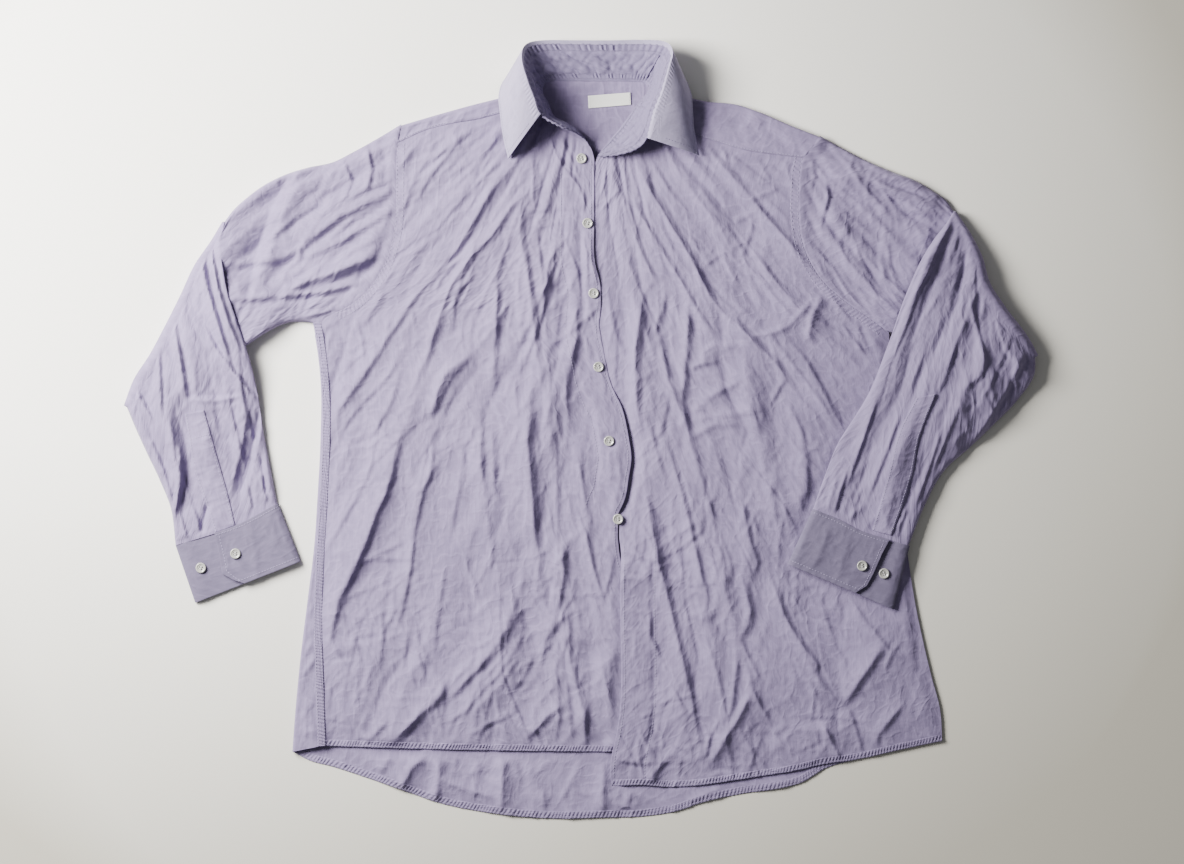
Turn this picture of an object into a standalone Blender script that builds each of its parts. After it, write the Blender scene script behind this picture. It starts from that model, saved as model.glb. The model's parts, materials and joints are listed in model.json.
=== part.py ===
"""A crumpled button-front shirt, laid on its back on a table with both forearms folded over.

Plan places are in millimetres on the laying table: u runs to the right and v from the collar
towards the hem. Heights are in millimetres above the table. Left and right are as seen from
above. place() turns a plan place and a height into metres about the middle of the garment.
"""

import math
from collections import namedtuple

import bmesh
import bpy
import numpy as np
from mathutils import Vector
from mathutils.bvhtree import BVHTree

MM = 0.001
TABLE_MIDDLE_U = 581.0
TABLE_MIDDLE_V = 429.8

CLOTH = 1.2
COLLAR_CLOTH = 1.6
CUFF_CLOTH = 1.8
LABEL_CLOTH = 1.0
SEAM_GAP = 0.35
SEAT_GAP = 0.3

FLOOR_LAYER = CLOTH / 2
FRONT_LEVEL = 6.2
FRONT_HEM_LEVEL = 3.2
FRONT_LOWEST = 2.7
FRONT_TOP_EDGE = 8.2
FRONT_UNDER_EDGE = 3.4
SIDE_EDGE_LEVEL = 2.2
SIDE_SEAM_LEVEL = 5.9
SHOULDER_LEVEL = 7.6
NECK_LEVEL = 9.0
NECK_BACK_LEVEL = 4.2
COVERED_LEVEL = 5.0

# Where the fronts' height changes, and over what distance.
BODY_TOP = 318.0
BODY_BLEND = 30.0
CHEST_TOP = 130.0
CHEST_BLEND = 150.0
NECK_MIDDLE = (592.0, 128.0)
NECK_REACH = 75.0
ARMHOLES_U = (390.0, 804.0)
ARMHOLE_REACH = 60.0
SIDE_REACH = 16.0
SIDE_CALM = 24.0
SIDE_SEAM_REACH = 22.0
SEAM_CALM = 14.0
HEM_REACH = 34.0
HEM_FOLD_SHARE = 0.6
LAP_WIDTH = 26.0
LAP_BLEND = 22.0
UNDER_LAP = 13.0
LAP_TOP = 158.0
LAP_SWITCH_BLEND = 27.0
LEFT_LAP_END = 522.0
RIGHT_UNDER_END = 516.0
LEFT_UNDER_START = 528.0
RIGHT_LAP_START = 540.0
# Where the back comes out from under the fronts, in plan.
BACK_SHOWN_FROM = ((320, 756), (612, 762), (640, 793), (730, 788), (900, 765))
BACK_SHOWN_BLEND = 8.0
NECK_BACK_REACH = 24.0

WRAP_DEPTH = 2.2
LEAF_RISE = 2.5
STRIP_REACH = 6.0
LABEL_REACH = 3.5

BUTTON_RADIUS = 5.7
BUTTON_SIDES = 12
# A button's rings from its underside to the floor of the hollow in its top: radius and height.
BUTTON_PROFILE = ((5.4, 0.0), (5.7, 1.6), (4.8, 2.4), (3.7, 1.7))

LILAC = (0.46, 0.42, 0.60, 1.0)
LILAC_LIGHT = (0.55, 0.52, 0.68, 1.0)
LABEL_WHITE = (0.86, 0.86, 0.82, 1.0)
PEARL = (0.83, 0.82, 0.77, 1.0)

# Seams and outlines of the pieces, in plan.
ARMHOLE_LEFT_YOKE = ((400, 125.5), (398.3, 134), (396.6, 143))
ARMHOLE_LEFT_FRONT = (
    (396.6, 143), (395.6, 170), (395.3, 196), (394.4, 223), (389, 250),
    (379, 273), (361, 296), (345, 307.5), (331, 314), (322.5, 319), (319, 324.5),
)
ARMHOLE_RIGHT_YOKE = ((821, 137), (812.3, 147.5), (803.5, 158))
ARMHOLE_RIGHT_FRONT = (
    (803.5, 158), (800.6, 172), (799.4, 190), (799.4, 218), (805, 249), (820, 277),
    (848, 303), (874, 321), (888.5, 332),
)
SHOULDER_LEFT = ((400.9, 125.2), (432, 116), (462, 107.5), (499, 98), (522, 92.5), (541, 88))
SHOULDER_RIGHT = (
    (650, 87), (672, 92), (692, 98), (705, 101), (735, 104), (760, 112), (790, 125), (819.4, 136.4),
)
YOKE_SEAM_LEFT = ((397.5, 142.7), (429, 129), (455, 123), (474, 120), (505, 112), (547.5, 104))
YOKE_SEAM_RIGHT = ((636, 108), (665, 120), (695, 135), (716, 142), (746, 150.6), (777, 155), (802.7, 157.9))
BACK_ARMHOLE_LEFT = ARMHOLE_LEFT_FRONT[1:-1] + ((318.5, 328), (314.5, 330))
BACK_ARMHOLE_RIGHT = ARMHOLE_RIGHT_FRONT[2:]
YOKE_SIDE_LEFT = ARMHOLE_LEFT_YOKE + ((395.6, 170),)
YOKE_SIDE_RIGHT = ARMHOLE_RIGHT_YOKE + ((800.6, 172), (799.4, 190))
YOKE_SEAM_BACK = ((395.6, 170), (450, 158), (520, 150), (600, 148), (680, 151), (750, 168), (799.4, 190))
NECKLINE_LEFT = ((547.5, 104), (553.5, 117), (566, 124), (577, 131), (586.5, 141.5))
NECKLINE_RIGHT = ((597.5, 157), (608, 144.5), (621, 129.6), (636, 108))
NECKLINE_BACK = ((541, 88), (545, 82.5), (553, 81), (590, 80.6), (633, 81), (645, 82), (650, 87))
EDGE_LEFT = (
    (313.5, 331), (316, 345), (320, 380), (320, 440), (317, 497),
    (314, 543), (307, 601), (300, 658), (294.6, 715), (292, 751),
)
SIDE_SEAM = (
    (319, 324.5), (321.5, 345), (326.5, 400), (325, 480), (320.5, 560), (318.5, 620), (320, 680), (322, 745.5),
)
EDGE_RIGHT = (
    (888.5, 332), (892, 390), (898, 450), (903, 520), (907.6, 555),
    (914.5, 601), (921.4, 635), (930.6, 674), (940, 711), (942, 740.7),
)
CENTRE_LEFT_UPPER = (
    (586.5, 141.5), (591, 149), (593.6, 157), (594, 175), (594, 220), (594.5, 262), (600, 286),
    (600.5, 305), (598.5, 325),
)
CENTRE_LEFT_MIDDLE = (
    (598.5, 325), (604, 355), (611, 385), (621, 406), (628.4, 438), (631, 457), (628.4, 477),
    (624, 500), (617.5, 514),
)
CENTRE_LEFT_CROSSING = ((617.5, 514), (617.5, 525), (617.5, 537))
CENTRE_LEFT_LOWER = ((617.5, 537), (619, 553), (624, 575), (633, 620), (639, 680), (641, 752))
CENTRE_LEFT = CENTRE_LEFT_UPPER + CENTRE_LEFT_MIDDLE[1:] + CENTRE_LEFT_CROSSING[1:] + CENTRE_LEFT_LOWER[1:]
CENTRE_RIGHT_UPPER = (
    (597.5, 157), (593, 172), (586, 195), (580, 230), (577, 280), (578, 330),
)
CENTRE_RIGHT_MIDDLE = ((578, 330), (583, 380), (593, 430), (605, 475), (613, 498), (619.7, 514))
CENTRE_RIGHT_CROSSING = ((619.7, 514), (619.7, 525), (619.7, 537))
CENTRE_RIGHT_LOWER = (
    (619.7, 537), (621.4, 551), (621, 577), (621, 620), (622, 676), (621, 705), (617, 734),
    (612.6, 753), (611, 770), (612, 786),
)
CENTRE_RIGHT = (
    CENTRE_RIGHT_UPPER + CENTRE_RIGHT_MIDDLE[1:] + CENTRE_RIGHT_CROSSING[1:] + CENTRE_RIGHT_LOWER[1:]
)
HEM_FRONT_LEFT = (
    (322, 745.5), (382, 747.6), (474, 750), (542, 751), (598, 751.5), (641, 752),
)
HEM_FRONT_RIGHT = (
    (612, 786), (646, 785), (664, 786.6), (696, 785.5), (728.5, 781), (761, 776), (795, 770.6),
    (825, 763.7), (852.5, 760), (898, 750), (921, 745), (942, 740.7),
)
HEM_BACK = (
    (292, 751), (310, 760.5), (331, 766), (365, 777), (400, 789), (440, 803), (500, 814), (560, 818.5),
    (600, 817.5), (640, 816.5), (680, 810), (700, 803), (740, 794), (780, 788), (800, 783),
    (826, 768), (862, 758), (941.5, 740),
)

# A fold is a ridge, or a trough where its height is below nought, that fades out at both ends.
# Its two widths are those of its slopes: left is the smaller-u side of a path that runs down.
Fold = namedtuple("Fold", "height left right path")

FRONT_LEFT_FOLDS = (
    Fold(4.5, 16, 9, ((532, 186), (506, 211), (476, 250), (448, 290), (432, 340), (426, 372))),
    Fold(3.5, 14, 8, ((500, 166), (480, 206), (458, 246))),
    Fold(3.0, 14, 9, ((472, 172), (452, 220), (424, 246), (402, 262))),
    Fold(4.0, 14, 8, ((444, 264), (412, 304), (386, 342), (358, 384), (332, 428))),
    Fold(7.0, 26, 11, ((440, 352), (414, 402), (399, 440), (384, 500), (358, 556), (338, 598), (329, 650))),
    Fold(4.5, 8, 10, ((468, 356), (446, 375), (436, 396), (430, 416))),
    Fold(4.0, 12, 8, ((434, 430), (432, 466), (420, 500), (413, 556), (404, 610))),
    Fold(3.0, 10, 9, ((498, 262), (495, 330), (494, 388))),
    Fold(3.5, 14, 12, ((520, 200), (524, 240), (530, 290), (539, 370))),
    Fold(3.5, 10, 8, ((566, 240), (550, 260), (544, 300), (542, 336))),
    Fold(5.0, 11, 11, ((582, 326), (568, 358), (560, 386), (556, 424))),
    Fold(5.0, 14, 12, ((546, 340), (549, 376), (550, 430), (552, 480))),
    Fold(6.5, 18, 11, ((524, 400), (526, 440), (531, 500), (536, 552))),
    Fold(4.0, 12, 12, ((484, 400), (480, 460), (488, 520), (492, 572))),
    Fold(4.0, 11, 9, ((574, 432), (584, 500), (592, 560), (602, 596))),
    Fold(5.0, 12, 11, ((562, 536), (564, 580), (556, 616), (542, 646))),
    Fold(4.5, 12, 11, ((528, 552), (520, 590), (506, 630), (484, 658), (450, 696))),
    Fold(4.5, 14, 11, ((522, 646), (504, 680), (478, 706), (462, 718))),
    Fold(5.5, 14, 10, ((448, 680), (430, 704), (410, 724), (392, 742))),
    Fold(4.0, 11, 10, ((568, 612), (569, 662), (580, 700), (584, 744))),
    Fold(4.0, 10, 10, ((566, 700), (546, 716), (528, 738))),
    Fold(3.5, 12, 10, ((600, 650), (608, 700), (614, 742))),
    Fold(3.0, 12, 10, ((385, 722), (366, 743))),
    Fold(-2.4, 10, 10, ((550, 215), (584, 214))),
    Fold(2.5, 12, 12, ((474, 128), (440, 150), (428, 160))),
)
FRONT_RIGHT_FOLDS = (
    Fold(4.5, 10, 14, ((640, 168), (664, 214), (690, 256), (712, 300), (748, 344), (790, 390))),
    Fold(3.5, 10, 12, ((622, 190), (634, 236), (656, 286))),
    Fold(4.0, 10, 12, ((632, 186), (655, 245), (684, 288), (722, 346))),
    Fold(3.5, 10, 12, ((706, 148), (736, 184), (770, 224), (818, 284))),
    Fold(3.5, 10, 10, ((752, 242), (776, 286), (796, 324))),
    Fold(3.0, 10, 10, ((700, 188), (724, 236), (738, 288))),
    Fold(6.5, 16, 12, ((641, 300), (635, 350), (637, 400), (640, 436))),
    Fold(4.5, 10, 12, ((656, 330), (667, 380), (690, 438), (703, 488), (722, 560), (733, 634))),
    Fold(4.0, 10, 10, ((687, 306), (688, 346), (682, 402))),
    Fold(3.5, 12, 10, ((738, 345), (714, 352), (692, 368))),
    Fold(3.5, 12, 12, ((690, 412), (716, 394), (740, 380))),
    Fold(3.5, 12, 12, ((696, 434), (724, 418), (764, 410))),
    Fold(4.0, 11, 13, ((738, 345), (752, 400), (764, 464), (778, 540))),
    Fold(4.0, 10, 12, ((770, 335), (806, 372), (834, 424))),
    Fold(4.0, 12, 10, ((822, 292), (810, 316), (808, 342))),
    Fold(3.0, 12, 12, ((752, 336), (776, 331), (812, 300))),
    Fold(4.5, 14, 12, ((792, 396), (800, 440), (806, 500))),
    Fold(4.0, 14, 10, ((640, 440), (650, 500), (657, 560), (676, 640), (690, 708), (702, 760))),
    Fold(5.0, 12, 12, ((674, 436), (688, 510), (702, 590), (718, 670), (724, 706))),
    Fold(4.0, 11, 13, ((742, 500), (750, 560), (746, 616), (738, 656))),
    Fold(5.5, 14, 12, ((752, 688), (734, 722), (708, 760))),
    Fold(3.5, 10, 11, ((738, 640), (752, 684), (762, 714))),
    Fold(4.0, 12, 11, ((770, 580), (790, 630), (816, 674), (838, 700))),
    Fold(4.0, 12, 14, ((888, 644), (862, 674), (842, 704))),
    Fold(3.5, 12, 11, ((820, 718), (832, 744), (840, 762))),
    Fold(3.5, 14, 12, ((908, 698), (888, 722), (876, 744))),
    Fold(-2.0, 10, 10, ((626, 702), (660, 736), (698, 758))),
)
BACK_FOLDS = (
    Fold(3.0, 12, 12, ((398, 752), (380, 774))),
    Fold(3.5, 14, 9, ((422, 752), (406, 776), (400, 790))),
    Fold(3.4, 8, 8, ((440, 758), (438, 780), (434, 802))),
    Fold(2.6, 10, 10, ((442, 782), (478, 792), (498, 800))),
    Fold(4.0, 10, 10, ((505, 752), (503, 780), (503, 812))),
    Fold(3.0, 10, 10, ((524, 762), (536, 784), (544, 808))),
    Fold(3.0, 10, 10, ((604, 770), (602, 794), (604, 814))),
    Fold(3.0, 10, 10, ((632, 790), (626, 810))),
)
SLEEVE_LEFT_UPPER_FOLDS = (
    Fold(3.5, 12, 9, ((398, 180), (366, 202), (338, 222), (306, 244))),
    Fold(3.5, 12, 9, ((392, 208), (346, 240), (304, 262))),
    Fold(3.5, 12, 9, ((388, 256), (340, 272), (300, 284))),
    Fold(3.0, 10, 8, ((362, 292), (330, 300), (300, 312))),
)
SLEEVE_LEFT_FORE_FOLDS = (
    Fold(4.0, 12, 9, ((214, 250), (220, 300), (230, 344), (246, 392))),
    Fold(4.0, 12, 9, ((184, 310), (190, 352), (202, 404), (214, 470))),
    Fold(3.5, 12, 9, ((164, 366), (166, 420), (186, 500))),
    Fold(3.0, 12, 9, ((138, 408), (154, 450), (170, 490))),
)
SLEEVE_RIGHT_UPPER_FOLDS = (
    Fold(3.5, 10, 12, ((812, 172), (846, 178), (900, 190), (940, 206))),
    Fold(3.5, 10, 12, ((842, 212), (826, 226), (818, 240))),
    Fold(3.0, 10, 12, ((846, 248), (866, 278), (892, 312))),
)
SLEEVE_RIGHT_FORE_FOLDS = (
    Fold(4.0, 10, 12, ((950, 222), (926, 262), (908, 312), (884, 382), (850, 470))),
    Fold(5.0, 12, 14, ((984, 262), (962, 312), (938, 372), (904, 440), (872, 500))),
    Fold(3.5, 10, 12, ((998, 290), (984, 344), (956, 404), (924, 470))),
)

# One row for each place along the sleeve: how far along its stretch, then the height of the
# middle of the flattened tube at the over-arm edge, the middle, near the underarm edge and at
# it, and half the distance between its two layers.
SleeveRow = namedtuple("SleeveRow", "along over middle near_under under half_gap")
ACROSS_STATIONS = (0.0, 0.5, 0.85, 1.0)
UPPER_ARM_ROWS = (
    SleeveRow(0.0, 4.0, 4.0, 4.0, 3.9, 3.3),
    SleeveRow(0.5, 4.2, 4.2, 4.2, 4.1, 3.5),
    SleeveRow(1.0, 3.8, 3.8, 3.8, 3.8, 3.1),
)
LEFT_FOREARM_ROWS = (
    SleeveRow(0.0, 18.0, 17.0, 15.0, 12.5, 3.0),
    SleeveRow(0.25, 22.0, 16.0, 12.0, 8.0, 3.0),
    SleeveRow(0.5, 16.0, 9.0, 6.0, 4.2, 3.0),
    SleeveRow(0.75, 6.0, 4.2, 3.6, 3.4, 2.8),
    SleeveRow(1.0, 3.2, 3.2, 3.2, 3.2, 2.6),
)
RIGHT_FOREARM_ROWS = (
    SleeveRow(0.0, 17.0, 20.0, 16.5, 11.5, 3.2),
    SleeveRow(0.2, 22.0, 21.0, 19.0, 7.5, 3.2),
    SleeveRow(0.4, 18.0, 18.0, 14.0, 4.4, 3.2),
    SleeveRow(0.6, 13.5, 13.0, 9.5, 4.0, 3.0),
    SleeveRow(0.8, 11.2, 10.8, 9.4, 5.4, 2.6),
    SleeveRow(1.0, 9.5, 9.4, 9.3, 8.6, 2.2),
)
# Fractions across a sleeve from the over-arm edge, and how far the two layers part there.
SLEEVE_ACROSS = (
    (0.0, 0.0), (0.012, 0.6), (0.045, 0.93), (0.1, 1.0), (0.17, 1.0), (0.28, 1.0), (0.4, 1.0),
    (0.52, 1.0), (0.64, 1.0), (0.76, 1.0), (0.86, 1.0), (0.93, 1.0), (0.968, 0.93), (0.99, 0.6), (1.0, 0.0),
)
UPPER_ARM_STEPS = 8
FOLD_STEPS = 4
FOREARM_STEPS = 12

Sleeve = namedtuple(
    "Sleeve",
    "armhole over_upper under_upper fold over_fore under_fore cuff_seam outward rows upper_folds fore_folds",
)
SLEEVE_LEFT = Sleeve(
    armhole=ARMHOLE_LEFT_YOKE[:2] + ARMHOLE_LEFT_FRONT,
    over_upper=((379, 138), (352, 153), (334, 162), (307, 168), (286, 174.6), (262.5, 187)),
    under_upper=((306, 322), (290, 322.5), (268, 332), (248, 345), (210, 362), (165, 386)),
    fold=((229, 205), (211, 241), (195, 264), (180, 296), (166, 324), (150, 354), (134, 379), (124, 405)),
    over_fore=((236, 228), (231, 248), (229, 268), (231, 292), (237, 317), (249, 353), (258, 392), (262, 420)),
    under_fore=((139, 424), (160, 470), (169, 505)),
    cuff_seam=((277, 502), (236, 523.5), (213, 531.5), (175.7, 543.5)),
    outward=((-1.0, 0.0), (-0.85, -0.527)),
    rows=LEFT_FOREARM_ROWS,
    upper_folds=SLEEVE_LEFT_UPPER_FOLDS,
    fore_folds=SLEEVE_LEFT_FORE_FOLDS,
)
SLEEVE_RIGHT = Sleeve(
    armhole=ARMHOLE_RIGHT_YOKE[:2] + ARMHOLE_RIGHT_FRONT,
    over_upper=((860, 158), (892, 172), (913.6, 180)),
    under_upper=((920, 338), (960, 344), (1005, 350)),
    fold=((947, 198), (971, 234), (983, 259), (989, 281), (1004.6, 306), (1029.6, 339.6), (1038, 355)),
    over_fore=(
        (935, 218), (929, 238), (921, 254), (904.6, 295), (887, 345), (865, 398.6), (852, 420), (838, 442), (825, 474),
    ),
    under_fore=((1034, 372), (1017, 400), (993, 425), (970, 447), (943.7, 471), (924.5, 505)),
    cuff_seam=((813, 507.5), (836.5, 517), (861.4, 529.5), (886, 537), (908.6, 544)),
    outward=((1.0, 0.0), (0.82, -0.572)),
    rows=RIGHT_FOREARM_ROWS,
    upper_folds=SLEEVE_RIGHT_UPPER_FOLDS,
    fore_folds=SLEEVE_RIGHT_FORE_FOLDS,
)

# The forearm and the cuff on the right lie over this part of the front, which is smooth there.
COVERED_BY_SLEEVE = (
    (880, 330), (858, 384), (840, 411), (816, 468), (797, 504), (772, 560), (780, 574),
    (842, 610), (894, 626), (960, 615), (960, 330),
)

# A cuff's top and bottom lines in plan, the height of its lowest layer, and its path: the share
# across it and the layer. Its free end holds the share down the cuff and how far the end moves there.
Cuff = namedtuple("Cuff", "top bottom base path free_end")
CUFF_LAYER = 3.0
CUFF_DOWN = (0.0, 0.25, 0.5, 0.7, 0.85, 1.0)
CUFF_LEFT = Cuff(
    top=((176.2, 544.9), (213.5, 533), (236.5, 525), (277.8, 503.4)),
    bottom=((195.9, 602.5), (248, 582), (300.4, 561.4)),
    base=CUFF_CLOTH / 2,
    path=(
        (0.37, 2.0), (0.52, 2.0), (0.66, 2.0), (0.82, 2.0), (0.965, 1.9), (1.0, 1.0), (0.965, 0.0),
        (0.7, 0.0), (0.35, 0.0), (0.035, 0.0), (0.0, 0.5), (0.035, 1.0), (0.2, 1.0), (0.42, 0.95), (0.6, 0.95),
    ),
    free_end=((0.0, 0.0), (0.4, -0.03), (0.7, -0.06), (0.88, 0.02), (1.0, 0.1)),
)
CUFF_RIGHT = Cuff(
    top=((812.6, 508.9), (836.2, 518.4), (861, 530.9), (885.7, 538.4), (908.2, 545.5)),
    bottom=((787.7, 563.8), (840, 586), (892, 608.8)),
    base=7.3,
    path=(
        (0.8, 2.0), (0.6, 2.0), (0.4, 2.0), (0.2, 2.0), (0.035, 1.9), (0.0, 1.0), (0.035, 0.0),
        (0.3, 0.0), (0.65, 0.0), (0.965, 0.0), (1.0, 0.5), (0.965, 1.0), (0.8, 1.0), (0.62, 0.95), (0.45, 0.95),
    ),
    free_end=((0.0, 0.0), (0.25, -0.03), (0.6, -0.055), (0.82, -0.08), (1.0, -0.16)),
)

# The collar, from its left front end round the back to its right front end. Each row holds
# the seam at the neck, the top of the stand, the free edge of the leaf where it has one, and
# how the leaf runs between: out first and then down at 1, down first and then out at 0.
CollarRow = namedtuple("CollarRow", "neck top edge bend")
COLLAR_ROWS = (
    CollarRow((586.3, 141.6, 10.3), (585.4, 139.4, 12.6), None, 0.8),
    CollarRow((577, 131, 10.3), (573, 132.8, 26.0), None, 0.8),
    CollarRow((566, 124, 10.3), (560, 128, 35.0), None, 0.8),
    CollarRow((553.5, 117, 10.3), (541.5, 117, 40.0), (508.8, 159, 11.0), 0.75),
    CollarRow((547.5, 104, 10.3), (535, 101, 42.0), (504, 139, 11.5), 0.8),
    CollarRow((542, 93, 10.4), (528.5, 84, 42.0), (500.5, 113, 12.5), 0.8),
    CollarRow((543.5, 83.6, 7.6), (523.5, 64, 36.0), (499.5, 95, 12.0), 0.7),
    CollarRow((551, 80.2, 4.4), (527, 49.8, 24.0), (506, 82, 5.0), 0.3),
    CollarRow((566, 79.8, 4.2), (543, 44.4, 14.0), (530, 86, 1.2), 0.05),
    CollarRow((590, 79.7, 4.2), (576, 44.2, 11.0), (567, 88, 1.1), 0.0),
    CollarRow((614, 79.8, 4.2), (611, 44.4, 11.0), (613, 88, 1.1), 0.0),
    CollarRow((633, 80.1, 4.3), (642, 44.2, 13.0), (655, 86, 1.2), 0.05),
    CollarRow((645, 81.2, 5.2), (664, 47.2, 22.0), (683, 83, 4.5), 0.3),
    CollarRow((650.5, 85.5, 8.8), (671, 57, 33.0), (690, 93, 11.5), 0.6),
    CollarRow((648, 93, 10.4), (668, 71, 38.0), (691.8, 104, 12.5), 0.75),
    CollarRow((641.5, 101, 10.3), (661, 95, 38.0), (692.6, 119, 12.5), 0.8),
    CollarRow((635.5, 109, 10.3), (654, 113, 35.0), (694.2, 134, 12.0), 0.8),
    CollarRow((624, 126, 10.3), (647, 139.5, 31.0), (698.7, 156, 11.4), 0.75),
    CollarRow((614, 138, 10.3), (636, 150.6, 25.0), None, 0.8),
    CollarRow((605.5, 147.8, 10.3), (617, 156, 18.0), None, 0.8),
    CollarRow((598.2, 156.2, 10.3), (600.4, 157.0, 12.4), None, 0.8),
)

# The buttons' middles in plan, from the neck down, and those of the cuffs.
FRONT_BUTTONS = ((581.5, 159), (587.6, 223.5), (593.6, 293.5), (598.5, 367), (609, 441), (618, 519))
CUFF_BUTTONS = ((236, 553.4), (201.3, 567.7), (861.4, 565.4), (883.4, 573.2))
LABEL_CORNERS = ((588, 96), (630.3, 92.7), (631, 104.8), (588.6, 108.4))
LABEL_STEPS = (6, 2)

# Sleeve plackets: the two long edges in plan, from the top down to the cuff's seam.
PLACKET_LEFT = (
    ((186, 414), (190, 440), (196, 475), (207, 505), (214.3, 528.6)),
    ((205, 410), (212, 436), (220, 465), (228, 494), (234.3, 521.4)),
)
PLACKET_RIGHT = (
    ((915, 398), (897, 434), (888, 470), (880, 500), (871.4, 530)),
    ((934, 394), (918, 438), (911, 474), (902, 504), (890.4, 535)),
)


def place(u, v, height):
    """The point in metres for a plan place and a height in millimetres."""
    return ((u - TABLE_MIDDLE_U) * MM, (TABLE_MIDDLE_V - v) * MM, height * MM)


def smooth_step(value):
    """Nought below 0, one above 1 and an even slope between."""
    value = np.clip(value, 0.0, 1.0)
    return value * value * (3.0 - 2.0 * value)


def spread(count):
    """The fractions of a length cut into so many equal steps."""
    return np.linspace(0.0, 1.0, count + 1)


def blend(at, stations, values):
    """Values given at stations, carried smoothly to the places between them."""
    stations = np.asarray(stations, float)
    values = np.asarray(values, float)
    slopes = np.gradient(values, stations, axis=0)
    at = np.asarray(at, float)
    i = np.clip(np.searchsorted(stations, at, side="right") - 1, 0, len(stations) - 2)
    span = (stations[i + 1] - stations[i])[..., None]
    t = (at - stations[i])[..., None] / span
    return (
        (2 * t**3 - 3 * t**2 + 1) * values[i]
        + (t**3 - 2 * t**2 + t) * span * slopes[i]
        + (3 * t**2 - 2 * t**3) * values[i + 1]
        + (t**3 - t**2) * span * slopes[i + 1]
    )


def run_lengths(line):
    """How far each place of a line lies from its start, along the line."""
    return np.concatenate([[0.0], np.cumsum(np.linalg.norm(np.diff(line, axis=0), axis=1))])


def curve(points, fractions):
    """Places at fractions of the length of a smooth curve through the points."""
    points = np.asarray(points, float)
    knots = run_lengths(points)
    dense = blend(np.linspace(0.0, knots[-1], 12 * len(points)), knots, points)
    lengths = run_lengths(dense)
    wanted = np.asarray(fractions, float) * lengths[-1]
    return np.stack([np.interp(wanted, lengths, dense[:, k]) for k in range(points.shape[1])], 1)


def chain(*stretches):
    """Curves joined end to end. Each stretch is its points and its number of steps."""
    parts = [curve(points, spread(steps)) for points, steps in stretches]
    return np.concatenate([parts[0]] + [part[1:] for part in parts[1:]])


def share_along(line):
    """How far along a line each of its places lies, from 0 to 1."""
    lengths = run_lengths(line)
    return lengths / lengths[-1]


def patch(top, bottom, left, right):
    """Rows of places that fill the space between four lines. Left and right run downwards."""
    s = ((share_along(top) + share_along(bottom)) / 2)[None, :, None]
    t = ((share_along(left) + share_along(right)) / 2)[:, None, None]
    sides = (1 - s) * left[:, None] + s * right[:, None]
    ends = (1 - t) * top[None] + t * bottom[None]
    corners = (1 - t) * ((1 - s) * top[0] + s * top[-1]) + t * ((1 - s) * bottom[0] + s * bottom[-1])
    return sides + ends - corners


def moved_aside(line, distance):
    """A line moved sideways: a line that runs down the table moves towards smaller u."""
    line = np.asarray(line, float)
    run = np.gradient(line, axis=0)
    run /= np.linalg.norm(run, axis=1)[:, None]
    return line + distance * np.stack([-run[:, 1], run[:, 0]], 1)


def distance_to(path, u, v):
    """Distance to a path and the share along it. It is above nought on the path's smaller-u side,
    where the path runs down the table."""
    path = np.asarray(path, float)
    ends = run_lengths(path)
    nearest = np.full(np.shape(u), np.inf)
    share = np.zeros(np.shape(u))
    for i in range(len(path) - 1):
        run = path[i + 1] - path[i]
        length = ends[i + 1] - ends[i]
        du, dv = u - path[i, 0], v - path[i, 1]
        t = (du * run[0] + dv * run[1]) / length**2
        first = -0.5 if i == 0 else 0.0
        last = 1.5 if i == len(path) - 2 else 1.0
        t = np.clip(t, first, last)
        off_u, off_v = du - t * run[0], dv - t * run[1]
        away = np.hypot(off_u, off_v) * np.where(run[0] * off_v - run[1] * off_u > 0, 1.0, -1.0)
        closer = np.abs(away) < np.abs(nearest)
        nearest = np.where(closer, away, nearest)
        share = np.where(closer, (ends[i] + t * length) / ends[-1], share)
    return nearest, share


def fold_height(folds, u, v):
    """The height that a table of folds adds at plan places."""
    total = np.zeros(np.shape(u))
    for fold in folds:
        away, share = distance_to(fold.path, u, v)
        width = np.where(away > 0, fold.left, fold.right)
        fade = smooth_step((share + 0.08) / 0.3) * smooth_step((1.08 - share) / 0.3)
        total += fold.height * fade * np.exp(-((np.abs(away) / width) ** 1.5))
    return total


def inside_polygon(corners, u, v):
    """Distance inside a closed outline, nought outside it."""
    corners = np.asarray(corners, float)
    away, _ = distance_to(np.concatenate([corners, corners[:1]]), u, v)
    crossings = np.zeros(np.shape(u), bool)
    for (u0, v0), (u1, v1) in zip(corners, np.roll(corners, -1, axis=0)):
        spans = (v0 > v) != (v1 > v)
        at = u0 + (v - v0) * (u1 - u0) / (v1 - v0 if v1 != v0 else 1.0)
        crossings ^= spans & (u < at)
    return np.where(crossings, np.abs(away), 0.0)


def line_u(line, v):
    """Where a line that runs down the table stands at each v."""
    dense = curve(line, spread(60))
    return np.interp(v, dense[:, 1], dense[:, 0])


def front_level(u, v):
    """Height of the fronts without their folds, before their sides and hems fall to the table."""
    body = smooth_step((v - BODY_TOP) / BODY_BLEND)
    from_neck = np.hypot(u - NECK_MIDDLE[0], v - NECK_MIDDLE[1])
    neck = (NECK_LEVEL - FRONT_LEVEL) * np.exp(-((from_neck / NECK_REACH) ** 2))
    raised = SHOULDER_LEVEL - FRONT_LEVEL
    shoulder = raised * (1 - smooth_step((v - CHEST_TOP) / CHEST_BLEND))
    inside = np.minimum(u - ARMHOLES_U[0], ARMHOLES_U[1] - u)
    armhole = raised * np.exp(-((inside / ARMHOLE_REACH) ** 2)) * (1 - body)
    return FRONT_LEVEL + np.maximum(np.maximum(neck, shoulder), armhole)


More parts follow.
